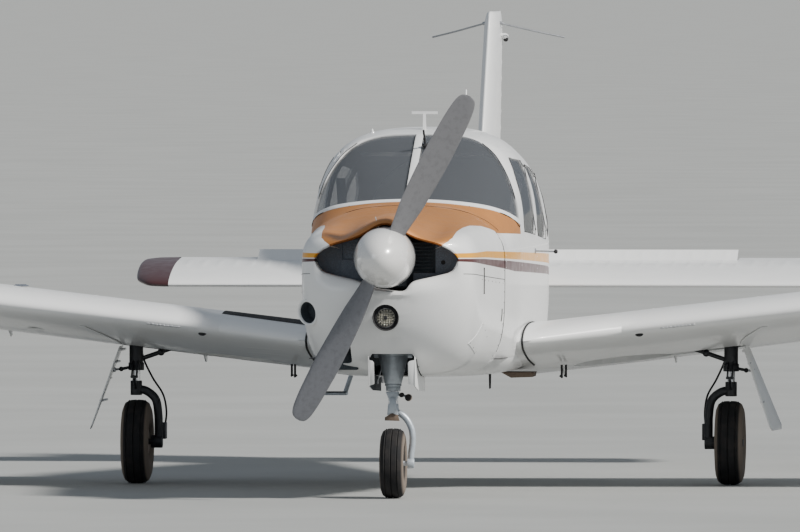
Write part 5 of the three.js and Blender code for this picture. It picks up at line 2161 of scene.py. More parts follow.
@dataclass
class Fin:
    """Fin and rudder with the rudder's rolled beads."""

    rows: Table = field(default_factory=lambda: Table((
        # height, leading station, trailing station, thickness
        (1.08, 5.77, 7.385, 0.104), (1.4, 5.992, 7.41, 0.1), (2.4, 6.692, 7.492, 0.084),
        (2.46, 6.734, 7.497, 0.07), (2.482, 6.764, 7.4985, 0.054), (2.49, 6.8, 7.4995, 0.03),
    )))
    hinge: float = 7.075
    nose: float = 0.028
    foot: float = 1.29
    shelf: float = 2.395
    gap: float = 0.006
    bead: float = 0.0028

    def share_at(self, height: float, station: float) -> float:
        """Return the share of the chord at a station."""
        leading, trailing, _ = self.rows.at(height)
        return (station - leading) / (trailing - leading)

    def point(self, height: float, t: float) -> Vector:
        """Return the surface's point: t runs from -1 on the right to 1 on the left.

        Args:
            height: The height.
            t: The place round the section.

        Returns:
            The point.
        """
        leading, trailing, thickness = self.rows.at(height)
        share = min(abs(t), 1.0)
        x = math.copysign(WingSkin.fullness(share) * thickness / 2, t)
        return Vector((x, aft(leading + (trailing - leading) * share), height))

    def build(self, rivets: Rivets) -> None:
        """Build the fin's skin and the rudder, and set the fin's rivets.

        Args:
            rivets: The rivets of the skin.
        """
        ends = WingSkin.spaced(-1.0, 1.0, 36)
        lower = Shape().grid(even(1.08, self.shelf + self.gap, 30), ends, lambda z, t: self.point(
            z, t * self.share_at(z, self.hinge - self.nose - self.gap)))
        cap = Shape().grid([*even(self.shelf + self.gap, 2.46, 4), 2.47, 2.478, 2.484, 2.488, 2.49], ends,
                           self.point)
        lower.closed().merged(cap.closed()).outward().finish(
            "fin_skin", Finish.WHITE, Slot.WHITE, ["fin"], sharp=40)
        self.rudder()
        for share in (0.3, 0.75):
            for side in (-1, 1):
                rivets.row(self.point, (1.25, side * share * 0.8), (2.38, side * share * 0.8), 0.04)
        for height in (1.5, 1.8, 2.1, 2.4):
            for side in (-1, 1):
                rivets.row(self.point, (height, side * 0.06), (height, side * 0.55), 0.04)

    def rudder(self) -> None:
        """Build the rudder with its round nose and beads."""

        def place(z: float, v: float) -> Vector:
            """Return a point of the rudder: v runs from -1 round the nose to 1.

            Args:
                z: The height.
                v: The place round the section.

            Returns:
                The point.
            """
            share = self.share_at(z, self.hinge)
            if abs(v) < 0.3:
                angle = v / 0.3 * math.pi / 2
                half = abs(self.point(z, share).x)
                return Vector((half * math.sin(angle), aft(self.hinge) - self.nose * math.cos(angle), z))
            run = (abs(v) - 0.3) / 0.7
            point = self.point(z, math.copysign(share + (1 - share) * run, v))
            rise = ribbed(z, self.foot + 0.06, self.shelf - 0.05, 0.088, self.bead)
            rise *= clamp((run - 0.06) / 0.1) * clamp((0.86 - run) / 0.12)
            return point + Vector((math.copysign(rise, v), 0, 0))

        sides = [*even(-1, -0.3, 14), *even(-0.24, 0.24, 8), *even(0.3, 1, 14)]
        shape = Shape().grid(even(self.foot, self.shelf, 132), sides, place).closed()
        shape.outward().finish(
            "rudder_skin", Finish.WHITE, Slot.WHITE, ["rudder"], sharp=40, body=Body.RUDDER)


@dataclass
class Stabilator:
    """The all-moving tailplane and its tab, with maroon tips and rolled beads."""

    half: float = 1.965
    chord: float = 0.76
    ahead: float = 0.2
    hinge: tuple = (0.0, 6.842, 1.022)
    angle: float = 10.5
    thickness: float = 0.1
    tab_half: float = 1.33
    tab_hinge: float = 0.444
    tab_nose: float = 0.014
    tab_angle: float = 24.0
    gap: float = 0.006
    slot_half: float = 0.198
    slot_back: float = 0.29
    tip_paint: float = 1.765
    bead: float = 0.003
    tips: Table = field(default_factory=lambda: Table((
        (0.0, 0.5), (0.004, 0.6), (0.012, 0.71), (0.028, 0.8), (0.1, 0.97), (0.21, 1.0), (2.0, 1.0),
    )))

    @property
    def frame(self) -> Matrix:
        """Return the placing of the surface's own frame.

        Returns:
            The frame's matrix.
        """
        x, station, z = self.hinge
        turn = Matrix.Rotation(math.radians(self.angle), 4, "X")
        return Matrix.Translation((x, aft(station), z)) @ turn

    def point(self, x: float, t: float) -> Vector:
        """Return the surface's point in its own frame.

        Args:
            x: The span.
            t: The place round the section, from -1 to 1.

        Returns:
            The point.
        """
        size = self.tips.at(self.half - abs(x))[0]
        share = min(abs(t), 1.0)
        y = -self.ahead + self.chord * (1 - size) * 0.75 + self.chord * size * share
        z = math.copysign(WingSkin.fullness(share) * self.chord * self.thickness / 2 * size, t)
        rise = ribbed(abs(x), 0.24, 1.74, 0.09, self.bead)
        rise *= clamp((share - 0.42) / 0.06) * clamp((0.8 - share) / 0.05)
        return Vector((x, y, z + math.copysign(rise, z)))

    def build(self, rivets: Rivets) -> None:
        """Build the tailplane, its tips and its tab.

        Args:
            rivets: The rivets of the skin.
        """
        cut = (self.tab_hinge - self.tab_nose - self.gap + self.ahead) / self.chord
        ends = WingSkin.spaced(-1.0, 1.0, 44)
        main, tips = Shape(), Shape()
        for _, side in SIDES:
            inner, outer = self.slot_half * side, (self.tab_half + self.gap) * side
            half = Shape().grid(even(inner, outer, 110), ends, lambda x, t: self.point(x, t * cut))
            rear = Shape().grid(even(outer, self.tip_paint * side, 30), ends, self.point)
            close = [*even(self.tip_paint, 1.93, 8), 1.945, 1.953, 1.959, 1.963, 1.965]
            cap = Shape().grid([x * side for x in close], ends, self.point)
            for part, whole in ((half, main), (rear, main), (cap, tips)):
                whole.merged(part.closed())
        strip = Shape().box((-self.slot_half, self.slot_back, -0.021),
                            (self.slot_half, self.tab_hinge - self.tab_nose - self.gap, 0.021))
        main.merged(strip)
        main.rod((-0.24, 0, 0), (0.24, 0, 0), 0.028)
        for x in (-0.12, 0.12):
            main.box((x - 0.008, 0, -0.02), (x + 0.008, 0.3, 0.012))
        main.moved(self.frame).outward()
        main.finish(
            "stabilator_skin", Finish.WHITE, Slot.WHITE, ["stabilator"], sharp=40, body=Body.TAILPLANE)
        tips.moved(self.frame).outward()
        tips.finish("stabilator_tips", Finish.MAROON, Slot.MAROON, sharp=40, body=Body.TAILPLANE)
        self.tab()
        placed = self.frame
        for share in (0.06, 0.4):
            for way in (-1, 1):
                for _, side in SIDES:
                    rivets.row(lambda x, t: placed @ self.point(x, t), (0.24 * side, share * way),
                               (1.74 * side, share * way), 0.04, flip=side < 0)

    def tab(self) -> None:
        """Build the tab behind the tailplane."""
        length = self.chord - self.ahead - self.tab_hinge

        def place(x: float, v: float) -> Vector:
            """Return a point of the tab: v runs from -1 round the nose to 1.

            Args:
                x: The span.
                v: The place round the section.

            Returns:
                The point.
            """
            if abs(v) < 0.3:
                angle = v / 0.3 * math.pi / 2
                return Vector((x, -self.tab_nose * math.cos(angle), self.tab_nose * math.sin(angle)))
            run = (abs(v) - 0.3) / 0.7
            rise = ribbed(abs(x), 0.2, 1.31, 0.09, 0.0018)
            rise *= clamp((run - 0.1) / 0.1)
            rise *= clamp((0.9 - run) / 0.1)
            z = self.tab_nose + (0.002 - self.tab_nose) * run + rise
            return Vector((x, length * run, math.copysign(z, v)))

        sides = [*even(-1, -0.3, 8), *even(-0.24, 0.24, 6), *even(0.3, 1, 8)]
        shape = Shape().grid(even(-self.tab_half, self.tab_half, 220), sides, place).closed()
        for x in (-0.1, 0.1):
            shape.box((x - 0.004, -0.02, 0.0), (x + 0.004, 0.03, 0.06))
        turn = Matrix.Rotation(math.radians(self.tab_angle), 4, "X")
        shape.moved(self.frame @ Matrix.Translation((0, self.tab_hinge, 0)) @ turn).outward()
        shape.finish(
            "antiservo_tab_skin", Finish.WHITE, Slot.WHITE, ["antiservo_tab"], sharp=40, body=Body.TAB)


# Propeller and wheels


@dataclass
class Propeller:
    """Spinner, hub and two blades."""

    centre: tuple = (0.0, 0.258, 1.25)
    radius: float = 0.156
    base: float = 0.33
    parked: float = 28.0
    blade: Table = field(default_factory=lambda: Table((
        # distance out, chord, thickness, twist in degrees
        (0.02, 0.08, 0.06, 60.0), (0.07, 0.09, 0.06, 60.0), (0.18, 0.118, 0.04, 48.0),
        (0.33, 0.146, 0.026, 36.0), (0.56, 0.154, 0.016, 26.0), (0.78, 0.138, 0.011, 20.0),
        (0.88, 0.116, 0.0085, 17.5), (0.915, 0.094, 0.007, 17.0), (0.932, 0.066, 0.006, 16.0),
        (0.9395, 0.026, 0.004, 16.0),
    )))

    def surface(self, out: float, angle: float) -> Vector:
        """Return a blade's point before it is turned to its place.

        Args:
            out: The distance out from the shaft.
            angle: The angle round the section.

        Returns:
            The point.
        """
        chord, thickness, twist = self.blade.at(out)
        across = chord / 2 * math.cos(angle)
        through = thickness / 2 * math.sin(angle) * (1 + 0.45 * math.cos(angle))
        turn = math.radians(twist)
        return Vector((
            across * math.cos(turn) - through * math.sin(turn),
            across * math.sin(turn) + through * math.cos(turn),
            out,
        ))

    def build(self) -> None:
        """Build the blades and the spinner."""
        x, station, z = self.centre
        hub = Matrix.Translation((x, aft(station), z))
        blades = Shape()
        for angle in (0, 180):
            rounds = [math.tau * k / 28 for k in range(29)]
            outs = [*even(0.02, 0.86, 34), *even(0.87, 0.9395, 10)]
            blade = Shape().grid(outs, rounds, self.surface).closed()
            blade.moved(hub @ Matrix.Rotation(math.radians(angle + self.parked), 4, "Y"))
            blades.merged(blade)
        blades.rod((0, aft(0.208), z), (0, aft(0.318), z), 0.062)
        blades.outward().finish("propeller_blades", Finish.BLADE, Slot.PROPELLER, ["propeller"],
                                sharp=40, body=Body.PROPELLER)
        shares = [1 - math.cos(math.pi / 2 * k / 22) for k in range(23)]
        profile = [(self.radius * math.sqrt(max(0.0, 1 - (1 - s) ** 2.1)), s * self.base) for s in shares]
        profile += [(self.radius, self.base), (self.radius - 0.006, self.base), (0.0, self.base)]
        cone = Shape().turned(profile, (0, aft(0), z), (0, 1, 0), 72)
        cone.outward().finish("spinner_cone", Finish.PEARL, Slot.WHITE, ["spinner"], sharp=50,
                              body=Body.PROPELLER)
        screws = Rivets(0.0042)
        for k in range(16):
            angle = math.tau * (k + 0.5) / 16
            out = Vector((math.cos(angle), 0, math.sin(angle)))
            screws.add(Vector((0, aft(self.base - 0.016), z)) + out * (self.radius - 0.0006), out)
        screws.finish("spinner_screws", Finish.STEEL, Slot.STEEL, Body.PROPELLER)


@dataclass
class Wheel:
    """A tyre with its grooves on a split rim; its name is a stem and an ending.

    Attributes:
        name: The stem and the ending of its pieces' names.
        body: The body that it turns with.
        centre: Its middle, as width, station and height.
        radius: The tyre's radius.
        width: The tyre's width.
        rim: The rim's radius.
        rim_width: The rim's width.
        axle: The radius of the axle's hole.
        grooves: The grooves' places, as shares of the width.
    """

    name: tuple[str, str]
    body: Body
    centre: tuple
    radius: float
    width: float
    rim: float
    rim_width: float
    axle: float
    grooves: tuple = (-0.25, 0.0, 0.25)

    def build(self) -> None:
        """Build the tyre and the rim."""
        x, station, z = self.centre
        place = (x, aft(station), z)
        half, bead = self.width / 2, self.rim + 0.001
        wall = self.radius - bead
        outer = [
            (bead, -self.rim_width / 2), (bead + wall * 0.22, -half * 0.93), (bead + wall * 0.45, -half),
            (bead + wall * 0.7, -half * 0.96), (bead + wall * 0.88, -half * 0.82),
            (self.radius - wall * 0.03, -half * 0.56),
        ]
        for groove in self.grooves:
            middle = groove * self.width
            tread = self.radius - abs(groove) * wall * 0.05
            outer += [(tread, middle - 0.0045), (self.radius - 0.006, middle), (tread, middle + 0.0045)]
        outer += [(r, -w) for r, w in reversed(outer[:6])]
        tyre = Shape().turned([*outer, outer[0]], place, (1, 0, 0), 44 if self.rim > 0.07 else 40)
        node = self.name
        tyre.outward().finish(f"{node[0]}_tyre_rubber{node[1]}", Finish.TYRE, Slot.TYRE,
                              [f"{node[0]}_tyre{node[1]}"], sharp=25, body=self.body)
        edge = self.rim_width / 2
        # radius over the axle's or the rim's, and distance in from the rim's edge
        profile = [
            (base + out, -edge + inward) for base, out, inward in (
                (self.axle, 0.0, 0.004), (self.axle, 0.022, 0.002), (self.axle, 0.026, 0.014),
                (self.rim, -0.022, 0.026), (self.rim, -0.012, 0.006), (self.rim, -0.004, 0.0),
                (self.rim, 0.008, -0.001), (self.rim, 0.009, 0.003), (self.rim, 0.0, 0.008),
            )
        ]
        profile += [(r, -w) for r, w in reversed(profile)]
        rim = Shape().turned([*profile, profile[0]], place, (1, 0, 0), 48)
        for side in (-1, 1):
            for k in range(6):
                angle = math.tau * k / 6
                out = (self.axle + 0.018 + self.rim - 0.022) / 2
                off = Vector((side * (edge - 0.02), math.cos(angle) * out, math.sin(angle) * out))
                spot = Vector(place) + off
                rim.rod(spot, spot + Vector((side * 0.012, 0, 0)), 0.0055, sides=6)
        rim.outward().finish(f"{node[0]}_wheel_hub{node[1]}", Finish.RIM, Slot.RIM,
                             [f"{node[0]}_rim{node[1]}"], bevel=0.0006, sharp=35, body=self.body)


# Fittings


@dataclass
class Fitting:
    """A part put together from simple shapes, placed by width, station and height.

    Attributes:
        name: The piece's name.
        finish: Its material.
        slot: The record's slot of its material.
        shapes: A method of Shape and its arguments, for each shape.
        body: The body that it rides on.
        replaces: The frame's nodes that it stands for.
        bevel: The width of the bevel along sharp edges.
        sides: The names and signs of the sides that have one.
    """

    name: str
    finish: Finish
    slot: Slot
    shapes: tuple
    body: Body = Body.AIRFRAME
    replaces: tuple = ()
    bevel: float = 0.0015
    sides: tuple = (("", 1.0),)

    def build(self) -> None:
        """Build the part, and its mirror image where it has one."""
        for name, side in self.sides:
            shape = Shape()
            for method, *sizes in self.shapes:
                getattr(shape, method)(*sizes)
            shape.moved(Matrix.Translation((0, -HALF_LENGTH, 0)))
            shape.mirrored(side)
            body = Body(self.body.value.replace("left", name)) if name else self.body
            nodes = [node.format(side=name) for node in self.replaces]
            title = f"{self.name}_{name}" if name else self.name
            shape.outward().finish(title, self.finish, self.slot, nodes, bevel=self.bevel, body=body)


def bar(x: tuple[float, float], corners: Outline) -> tuple:
    """Return a plate drawn in station and height, between two widths."""
    return ("plate", [(x[0], s, z) for s, z in corners], (x[1] - x[0], 0, 0))


def slab(station: tuple[float, float], corners: Outline) -> tuple:
    """Return a plate drawn in width and height, between two stations."""
    return ("plate", [(x, station[0], z) for x, z in corners], (0, station[1] - station[0], 0))


MAIN_LEG = (
    Fitting("main_leg_cylinder", Finish.DARK, Slot.DARK, (
        ("rod", (1.58, 3.2, 0.795), (1.58, 3.2, 0.622), 0.037),
        ("rod", (1.58, 3.2, 0.64), (1.58, 3.2, 0.6), 0.042),
        ("rod", (1.4, 3.2, 0.785), (1.655, 3.2, 0.785), 0.021),
        ("rod", (1.44, 3.2, 0.785), (1.47, 3.2, 0.785), 0.029),
        ("rod", (1.62, 3.2, 0.785), (1.642, 3.2, 0.785), 0.029),
        ("rod", (1.57, 3.2, 0.655), (1.33, 3.2, 0.738), 0.012),
        ("ball", (1.562, 3.2, 0.658), 0.022),
        ("ball", (1.448, 3.2, 0.6965), 0.02),
        ("rod", (1.59, 3.2, 0.62), (1.66, 3.2, 0.606), 0.008),
        ("ball", (1.66, 3.2, 0.606), 0.013),
    ), replaces=("main_leg_{side}",), sides=SIDES),
    Fitting("main_leg_fork", Finish.DARK, Slot.DARK, (
        ("rod", (1.58, 3.2, 0.545), (1.58, 3.2, 0.468), 0.031),
        ("tube", [(1.583, 3.2, 0.498), (1.53, 3.2, 0.492), (1.478, 3.2, 0.448), (1.463, 3.2, 0.37),
                  (1.461, 3.2, 0.29), (1.461, 3.2, 0.205)], 0.0225, 16),
        ("rod", (1.44, 3.2, 0.2222), (1.5, 3.2, 0.2222), 0.034),
        ("rod", (1.45, 3.2, 0.2222), (1.642, 3.2, 0.2222), 0.0168),
        ("rod", (1.634, 3.2, 0.2222), (1.646, 3.2, 0.2222), 0.021, 0.021, 6),
        bar((1.563, 1.571), ((3.165, 0.655), (3.085, 0.582), (3.082, 0.56), (3.1, 0.562), (3.172, 0.628))),
        bar((1.589, 1.597), ((3.165, 0.655), (3.085, 0.582), (3.082, 0.56), (3.1, 0.562), (3.172, 0.628))),
        bar((1.573, 1.587), ((3.17, 0.5), (3.082, 0.556), (3.084, 0.575), (3.1, 0.572), (3.172, 0.524))),
        ("rod", (1.56, 3.091, 0.568), (1.6, 3.091, 0.568), 0.007),
        ("box", (1.425, 3.21, 0.235), (1.452, 3.296, 0.322)),
        ("box", (1.456, 3.214, 0.24), (1.468, 3.29, 0.316)),
        ("rod", (1.438, 3.296, 0.3), (1.438, 3.312, 0.306), 0.006),
    ), bevel=0.003, sides=SIDES),
    Fitting("main_leg_piston", Finish.CHROME, Slot.STEEL, (
        ("rod", (1.58, 3.2, 0.602), (1.58, 3.2, 0.543), 0.0215),
    ), bevel=0.0, sides=SIDES),
    Fitting("brake_hose", Finish.SEAL, Slot.DARK, (
        ("tube", [(1.438, 3.308, 0.304), (1.432, 3.322, 0.38), (1.448, 3.3, 0.47), (1.5, 3.262, 0.56),
                  (1.545, 3.24, 0.66), (1.556, 3.232, 0.735)], 0.0055, 10),
    ), bevel=0.0, sides=SIDES),
    Fitting("main_door_panel", Finish.WHITE, Slot.WHITE, (
        ("plate", [(1.658, 3.065, 0.729), (1.8, 3.015, 0.315), (1.812, 3.045, 0.292), (1.838, 3.355, 0.292),
                   (1.836, 3.385, 0.315), (1.668, 3.335, 0.729)], (-0.006, 0, -0.002)),
        ("box", (1.646, 3.08, 0.704), (1.664, 3.32, 0.716)),
        ("rod", (1.7, 3.12, 0.56), (1.705, 3.12, 0.562), 0.004, 0.004, 8),
        ("rod", (1.712, 3.16, 0.556), (1.717, 3.16, 0.558), 0.004, 0.004, 8),
    ), replaces=("main_gear_door_{side}",), bevel=0.002, sides=SIDES),
    Fitting("main_door_link", Finish.STEEL, Slot.STEEL, (
        ("rod", (1.655, 3.2, 0.607), (1.701, 3.2, 0.602), 0.006),
        ("box", (1.69, 3.18, 0.59), (1.705, 3.22, 0.614)),
        ("box", (1.676, 3.075, 0.64), (1.69, 3.325, 0.65)),
        ("box", (1.745, 3.06, 0.436), (1.762, 3.345, 0.446)),
    ), sides=SIDES),
)

NOSE_DOOR = ((0.47, 0.742), (0.52, 0.73), (0.58, 0.701), (0.66, 0.672), (0.76, 0.648), (0.9, 0.629),
             (1.15, 0.616), (1.15, 0.545), (0.7, 0.56), (0.5, 0.585))


def nose_door(name: str, outer: float, flange: float, rear: float) -> tuple:
    """Return one nose gear door: its panel and front flange, a dark sheet on its inner face that is painted
    shade, and its link.

    Args:
        name: The side it hangs on.
        outer: The width of its outer face in front.
        flange: The width of its front flange's free edge.
        rear: The width of its outer face behind.

    Returns:
        The three fittings.
    """
    side = 1.0 if outer > 0 else -1.0
    front, back = min(s for s, _ in NOSE_DOOR), max(s for s, _ in NOSE_DOOR)
    lie = [(outer + (rear - outer) * (s - front) / (back - front), s, z) for s, z in NOSE_DOOR]
    # painted shade: a dark sheet just inside each door stands for the shade on its inner face
    inner = [(x - side * 0.0042, s + 0.004, z) for x, s, z in lie]
    corner = flange + (outer - flange) * 0.2
    lug = rear - side * 0.006
    return (
        Fitting(f"nose_door_panel_{name}", Finish.WHITE, Slot.WHITE, (
            ("plate", lie, (-side * 0.004, 0, 0)),
            ("plate", [(outer, 0.474, 0.722), (outer, 0.503, 0.588), (flange, 0.498, 0.597),
                       (flange, 0.474, 0.706), (corner, 0.474, 0.716)], (0, 0.004, 0)),
        ), replaces=(f"nose_gear_door_{name}",), bevel=0.0015),
        Fitting(f"nose_door_inner_{name}", Finish.SHADOW, Slot.TRIM, (
            ("plate", inner, (-side * 0.0012, 0, 0)),
        ), bevel=0.0004),
        Fitting(f"nose_door_link_{name}", Finish.STEEL, Slot.STEEL, (
            ("rod", (rear - side * 0.005, 0.93, 0.6), (side * 0.06, 0.93, 0.7), 0.005),
            ("box", (lug - 0.004, 0.915, 0.588), (lug + 0.004, 0.945, 0.612)),
        ), bevel=0.001),
    )


NOSE_LEG = (
    Fitting("nose_leg_housing", Finish.GREY, Slot.STEEL, (
        ("rod", (0, 0.83, 0.8), (0, 0.83, 0.735), 0.082, 0.078, 48),
        ("rod", (0, 0.83, 0.735), (0, 0.83, 0.59), 0.078, 0.043, 48),
        ("rod", (0, 0.83, 0.592), (0, 0.83, 0.578), 0.043, 0.043, 48),
        ("rod", (0, 0.83, 0.58), (0, 0.83, 0.553), 0.038, 0.038, 48),
        ("rod", (0.05, 0.84, 0.778), (0.16, 1.486, 0.806), 0.014),
        ("rod", (-0.05, 0.84, 0.778), (-0.16, 1.486, 0.806), 0.014),
        ("rod", (-0.1, 0.83, 0.742), (0.1, 0.83, 0.742), 0.018),
    ), replaces=("nose_leg",), bevel=0.003),
    Fitting("nose_leg_piston", Finish.CHROME, Slot.STEEL, (
        ("rod", (0, 0.83, 0.556), (0, 0.83, 0.455), 0.0255, 0.0255, 32),
    ), Body.NOSE_FORK, bevel=0.0),
    Fitting("nose_fork_arm", Finish.GREY, Slot.STEEL, (
        ("rod", (0, 0.83, 0.488), (0, 0.83, 0.43), 0.027, 0.032, 32),
        ("tube", [(0.0, 0.83, 0.449), (0.038, 0.83, 0.436), (0.075, 0.83, 0.4), (0.097, 0.83, 0.348),
                  (0.1, 0.83, 0.29), (0.093, 0.83, 0.232), (0.088, 0.83, 0.1805)], 0.0165, 20),
        ("rod", (0.074, 0.83, 0.1805), (0.108, 0.83, 0.1805), 0.028, 0.025, 28),
        ("rod", (-0.056, 0.83, 0.1805), (0.1, 0.83, 0.1805), 0.0128),
        ("rod", (-0.062, 0.83, 0.1805), (-0.05, 0.83, 0.1805), 0.018, 0.018, 6),
        slab((0.786, 0.796), ((-0.036, 0.551), (0.036, 0.551), (0.018, 0.498), (-0.012, 0.492))),
        slab((0.776, 0.786), ((-0.012, 0.52), (0.016, 0.52), (0.028, 0.44), (-0.022, 0.44))),
        ("rod", (0.0, 0.8, 0.538), (0.098, 0.792, 0.524), 0.0065),
    ), Body.NOSE_FORK, ("nose_fork",), bevel=0.002),
    Fitting("steering_rollers", Finish.SEAL, Slot.DARK, (
        ("rod", (0.047, 0.776, 0.534), (0.047, 0.812, 0.534), 0.0125),
        ("rod", (0.081, 0.774, 0.52), (0.081, 0.808, 0.52), 0.0165),
    ), Body.NOSE_FORK, bevel=0.002),
    Fitting("steering_roller_cap", Finish.RIM, Slot.RIM, (
        ("rod", (0.0825, 0.784, 0.5205), (0.0825, 0.798, 0.5205), 0.019),
    ), Body.NOSE_FORK, bevel=0.001),
    Fitting("nose_mud_plate", Finish.MUD, Slot.RIM, (
        slab((0.786, 0.79), ((-0.04, 0.402), (0.037, 0.4), (0.028, 0.432), (-0.01, 0.438), (-0.04, 0.418))),
        ("rod", (0.0, 0.79, 0.43), (0.0, 0.815, 0.44), 0.006),
    ), Body.NOSE_FORK, bevel=0.001),
    *nose_door("left", 0.144, 0.107, 0.137),
    *nose_door("right", -0.098, -0.068, -0.0965),
)


# Cabin fittings


@dataclass
class Pad:
    """A stuffed seat pad, swelled by a cloth simulation inside its solid's space.

    Attributes:
        name: The piece's name.
        node: The frame's node that it stands for, or nothing.
        low: The lowest corner of its block.
        high: The highest corner.
        lean: The turn about X, in degrees.
        channels: Axis and place, as a share of the half size, of each sewn channel.
        voxel: The size of the simulated mesh's faces.
        cap: How far the simulation may move a point.
        pressure: The pressure from inside.
        frames: The frames that are simulated.
    """

    name: str
    node: str
    low: tuple
    high: tuple
    lean: float = 0.0
    channels: tuple = ()
    voxel: float = 0.008
    cap: float = 0.022
    pressure: float = 4.0
    frames: int = 20

    def build(self) -> bpy.types.Object:
        """Build the pad: a rounded block, its swelling, then its sewn channels.

        Returns:
            The finished object.
        """
        pad, turn = self.shaped()
        self.sew(pad.data, turn)
        return self.dress(pad)

    def shaped(self) -> tuple[bpy.types.Object, Matrix]:
        """Return the swelled pad as an object, and where its middle lies.

        Returns:
            The pad and its middle's placing.
        """
        middle = Vector([(a + b) / 2 for a, b in zip(self.low, self.high)])
        half = Vector([(b - a) / 2 for a, b in zip(self.low, self.high)])
        block = Shape()
        bmesh.ops.create_cube(block.mesh, size=2.0)
        bmesh.ops.subdivide_edges(block.mesh, edges=block.mesh.edges, cuts=14, use_grid_fill=True)
        for vert in block.mesh.verts:
            # a superellipsoid whose sides pull in between its corners
            size = sum(abs(c) ** 7 for c in vert.co) ** (1 / 7)
            point = vert.co / size
            waist = 1 - 0.03 * (1 - min(1.0, (point.x**2 + point.y**2) / 2))
            vert.co = Vector([c * h * w for c, h, w in zip(point, half, (waist, waist, 1.0))])
        turn = Matrix.Translation(middle) @ Matrix.Rotation(math.radians(self.lean), 4, "X")
        block.moved(turn)
        mesh = bpy.data.meshes.new(self.name)
        block.mesh.to_mesh(mesh)
        block.mesh.free()
        pad = added(self.name, mesh)
        self.swell(pad, turn)
        fine = pad.modifiers.new("fine", "SUBSURF")
        fine.levels = fine.render_levels = 1
        pad.data = baked(pad)
        return pad, turn

    def dress(self, pad: bpy.types.Object) -> bpy.types.Object:
        """Give the pad its cloth, hang it on the airframe and hide the node that it stands for.

        Args:
            pad: The pad.

        Returns:
            The pad.
        """
        for face in pad.data.polygons:
            face.use_smooth = True
        pad.data.materials.clear()
        pad.data.materials.append(material(Finish.CLOTH))
        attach(pad, Body.AIRFRAME.value)
        if self.node:
            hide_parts(self.node)
        LOG.info("%s: %d faces", self.name, len(pad.data.polygons))
        return pad

    def mirrored(self, source: bpy.types.Object) -> bpy.types.Object:
        """Build the pad as the mirror image of the other seat's.

        Args:
            source: The other seat's pad.

        Returns:
            The new pad.
        """
        copy = Shape()
        copy.mesh.from_mesh(source.data)
        copy.mirrored(-1.0)
        mesh = bpy.data.meshes.new(self.name)
        copy.mesh.to_mesh(mesh)
        copy.mesh.free()
        return self.dress(added(self.name, mesh))

    def swell(self, pad: bpy.types.Object, turn: Matrix) -> None:
        """Swell the pad by a pressure from inside, held within a small distance.

        Args:
            pad: The pad.
            turn: Where its middle lies.
        """
        remesh = pad.modifiers.new("remesh", "REMESH")
        remesh.mode, remesh.voxel_size = "VOXEL", self.voxel
        pad.data = baked(pad)
        start = [vert.co.copy() for vert in pad.data.vertices]
        cloth = pad.modifiers.new("cloth", "CLOTH")
        cloth.settings.use_pressure = True
        cloth.settings.uniform_pressure_force = self.pressure
        cloth.settings.quality = 4
        cloth.settings.effector_weights.gravity = 0.0
        cloth.point_cache.frame_start, cloth.point_cache.frame_end = 1, self.frames
        scene = bpy.context.scene
        for frame_number in range(1, self.frames + 1):
            scene.frame_set(frame_number)
        moved = baked(pad)
        scene.frame_set(1)
        back = turn.inverted()
        half = [(b - a) / 2 + 0.012 for a, b in zip(self.low, self.high)]
        for vert, before in zip(moved.vertices, start):
            shift = vert.co - before
            if shift.length > self.cap:
                shift.length = self.cap
            local = back @ (before + shift)
            vert.co = turn @ Vector([clamp(c, -h, h) for c, h in zip(local, half)])
        pad.data = moved

    def sew(self, mesh: bpy.types.Mesh, turn: Matrix) -> None:
        """Press the sewn channels and the edge piping into the pad's face.

        Args:
            mesh: The pad's mesh.
            turn: Where its middle lies.
        """
        back = turn.inverted()
        half = [(b - a) / 2 for a, b in zip(self.low, self.high)]
        pressed = []
        for vert in mesh.vertices:
            local = back @ vert.co
            deep = 0.0
            for axis, place in self.channels:
                gap = (local[axis] - place * half[axis]) / 0.009
                deep = max(deep, 0.009 * math.exp(-gap * gap))
            edge = min(abs(abs(local[k]) - half[k] * 0.86) for k in (0, 1))
            pressed.append(deep + 0.003 * math.exp(-((edge / 0.006) ** 2)))
        normals = [vert.normal.copy() for vert in mesh.vertices]
        for vert, deep, normal in zip(mesh.vertices, pressed, normals):
            vert.co -= normal * deep


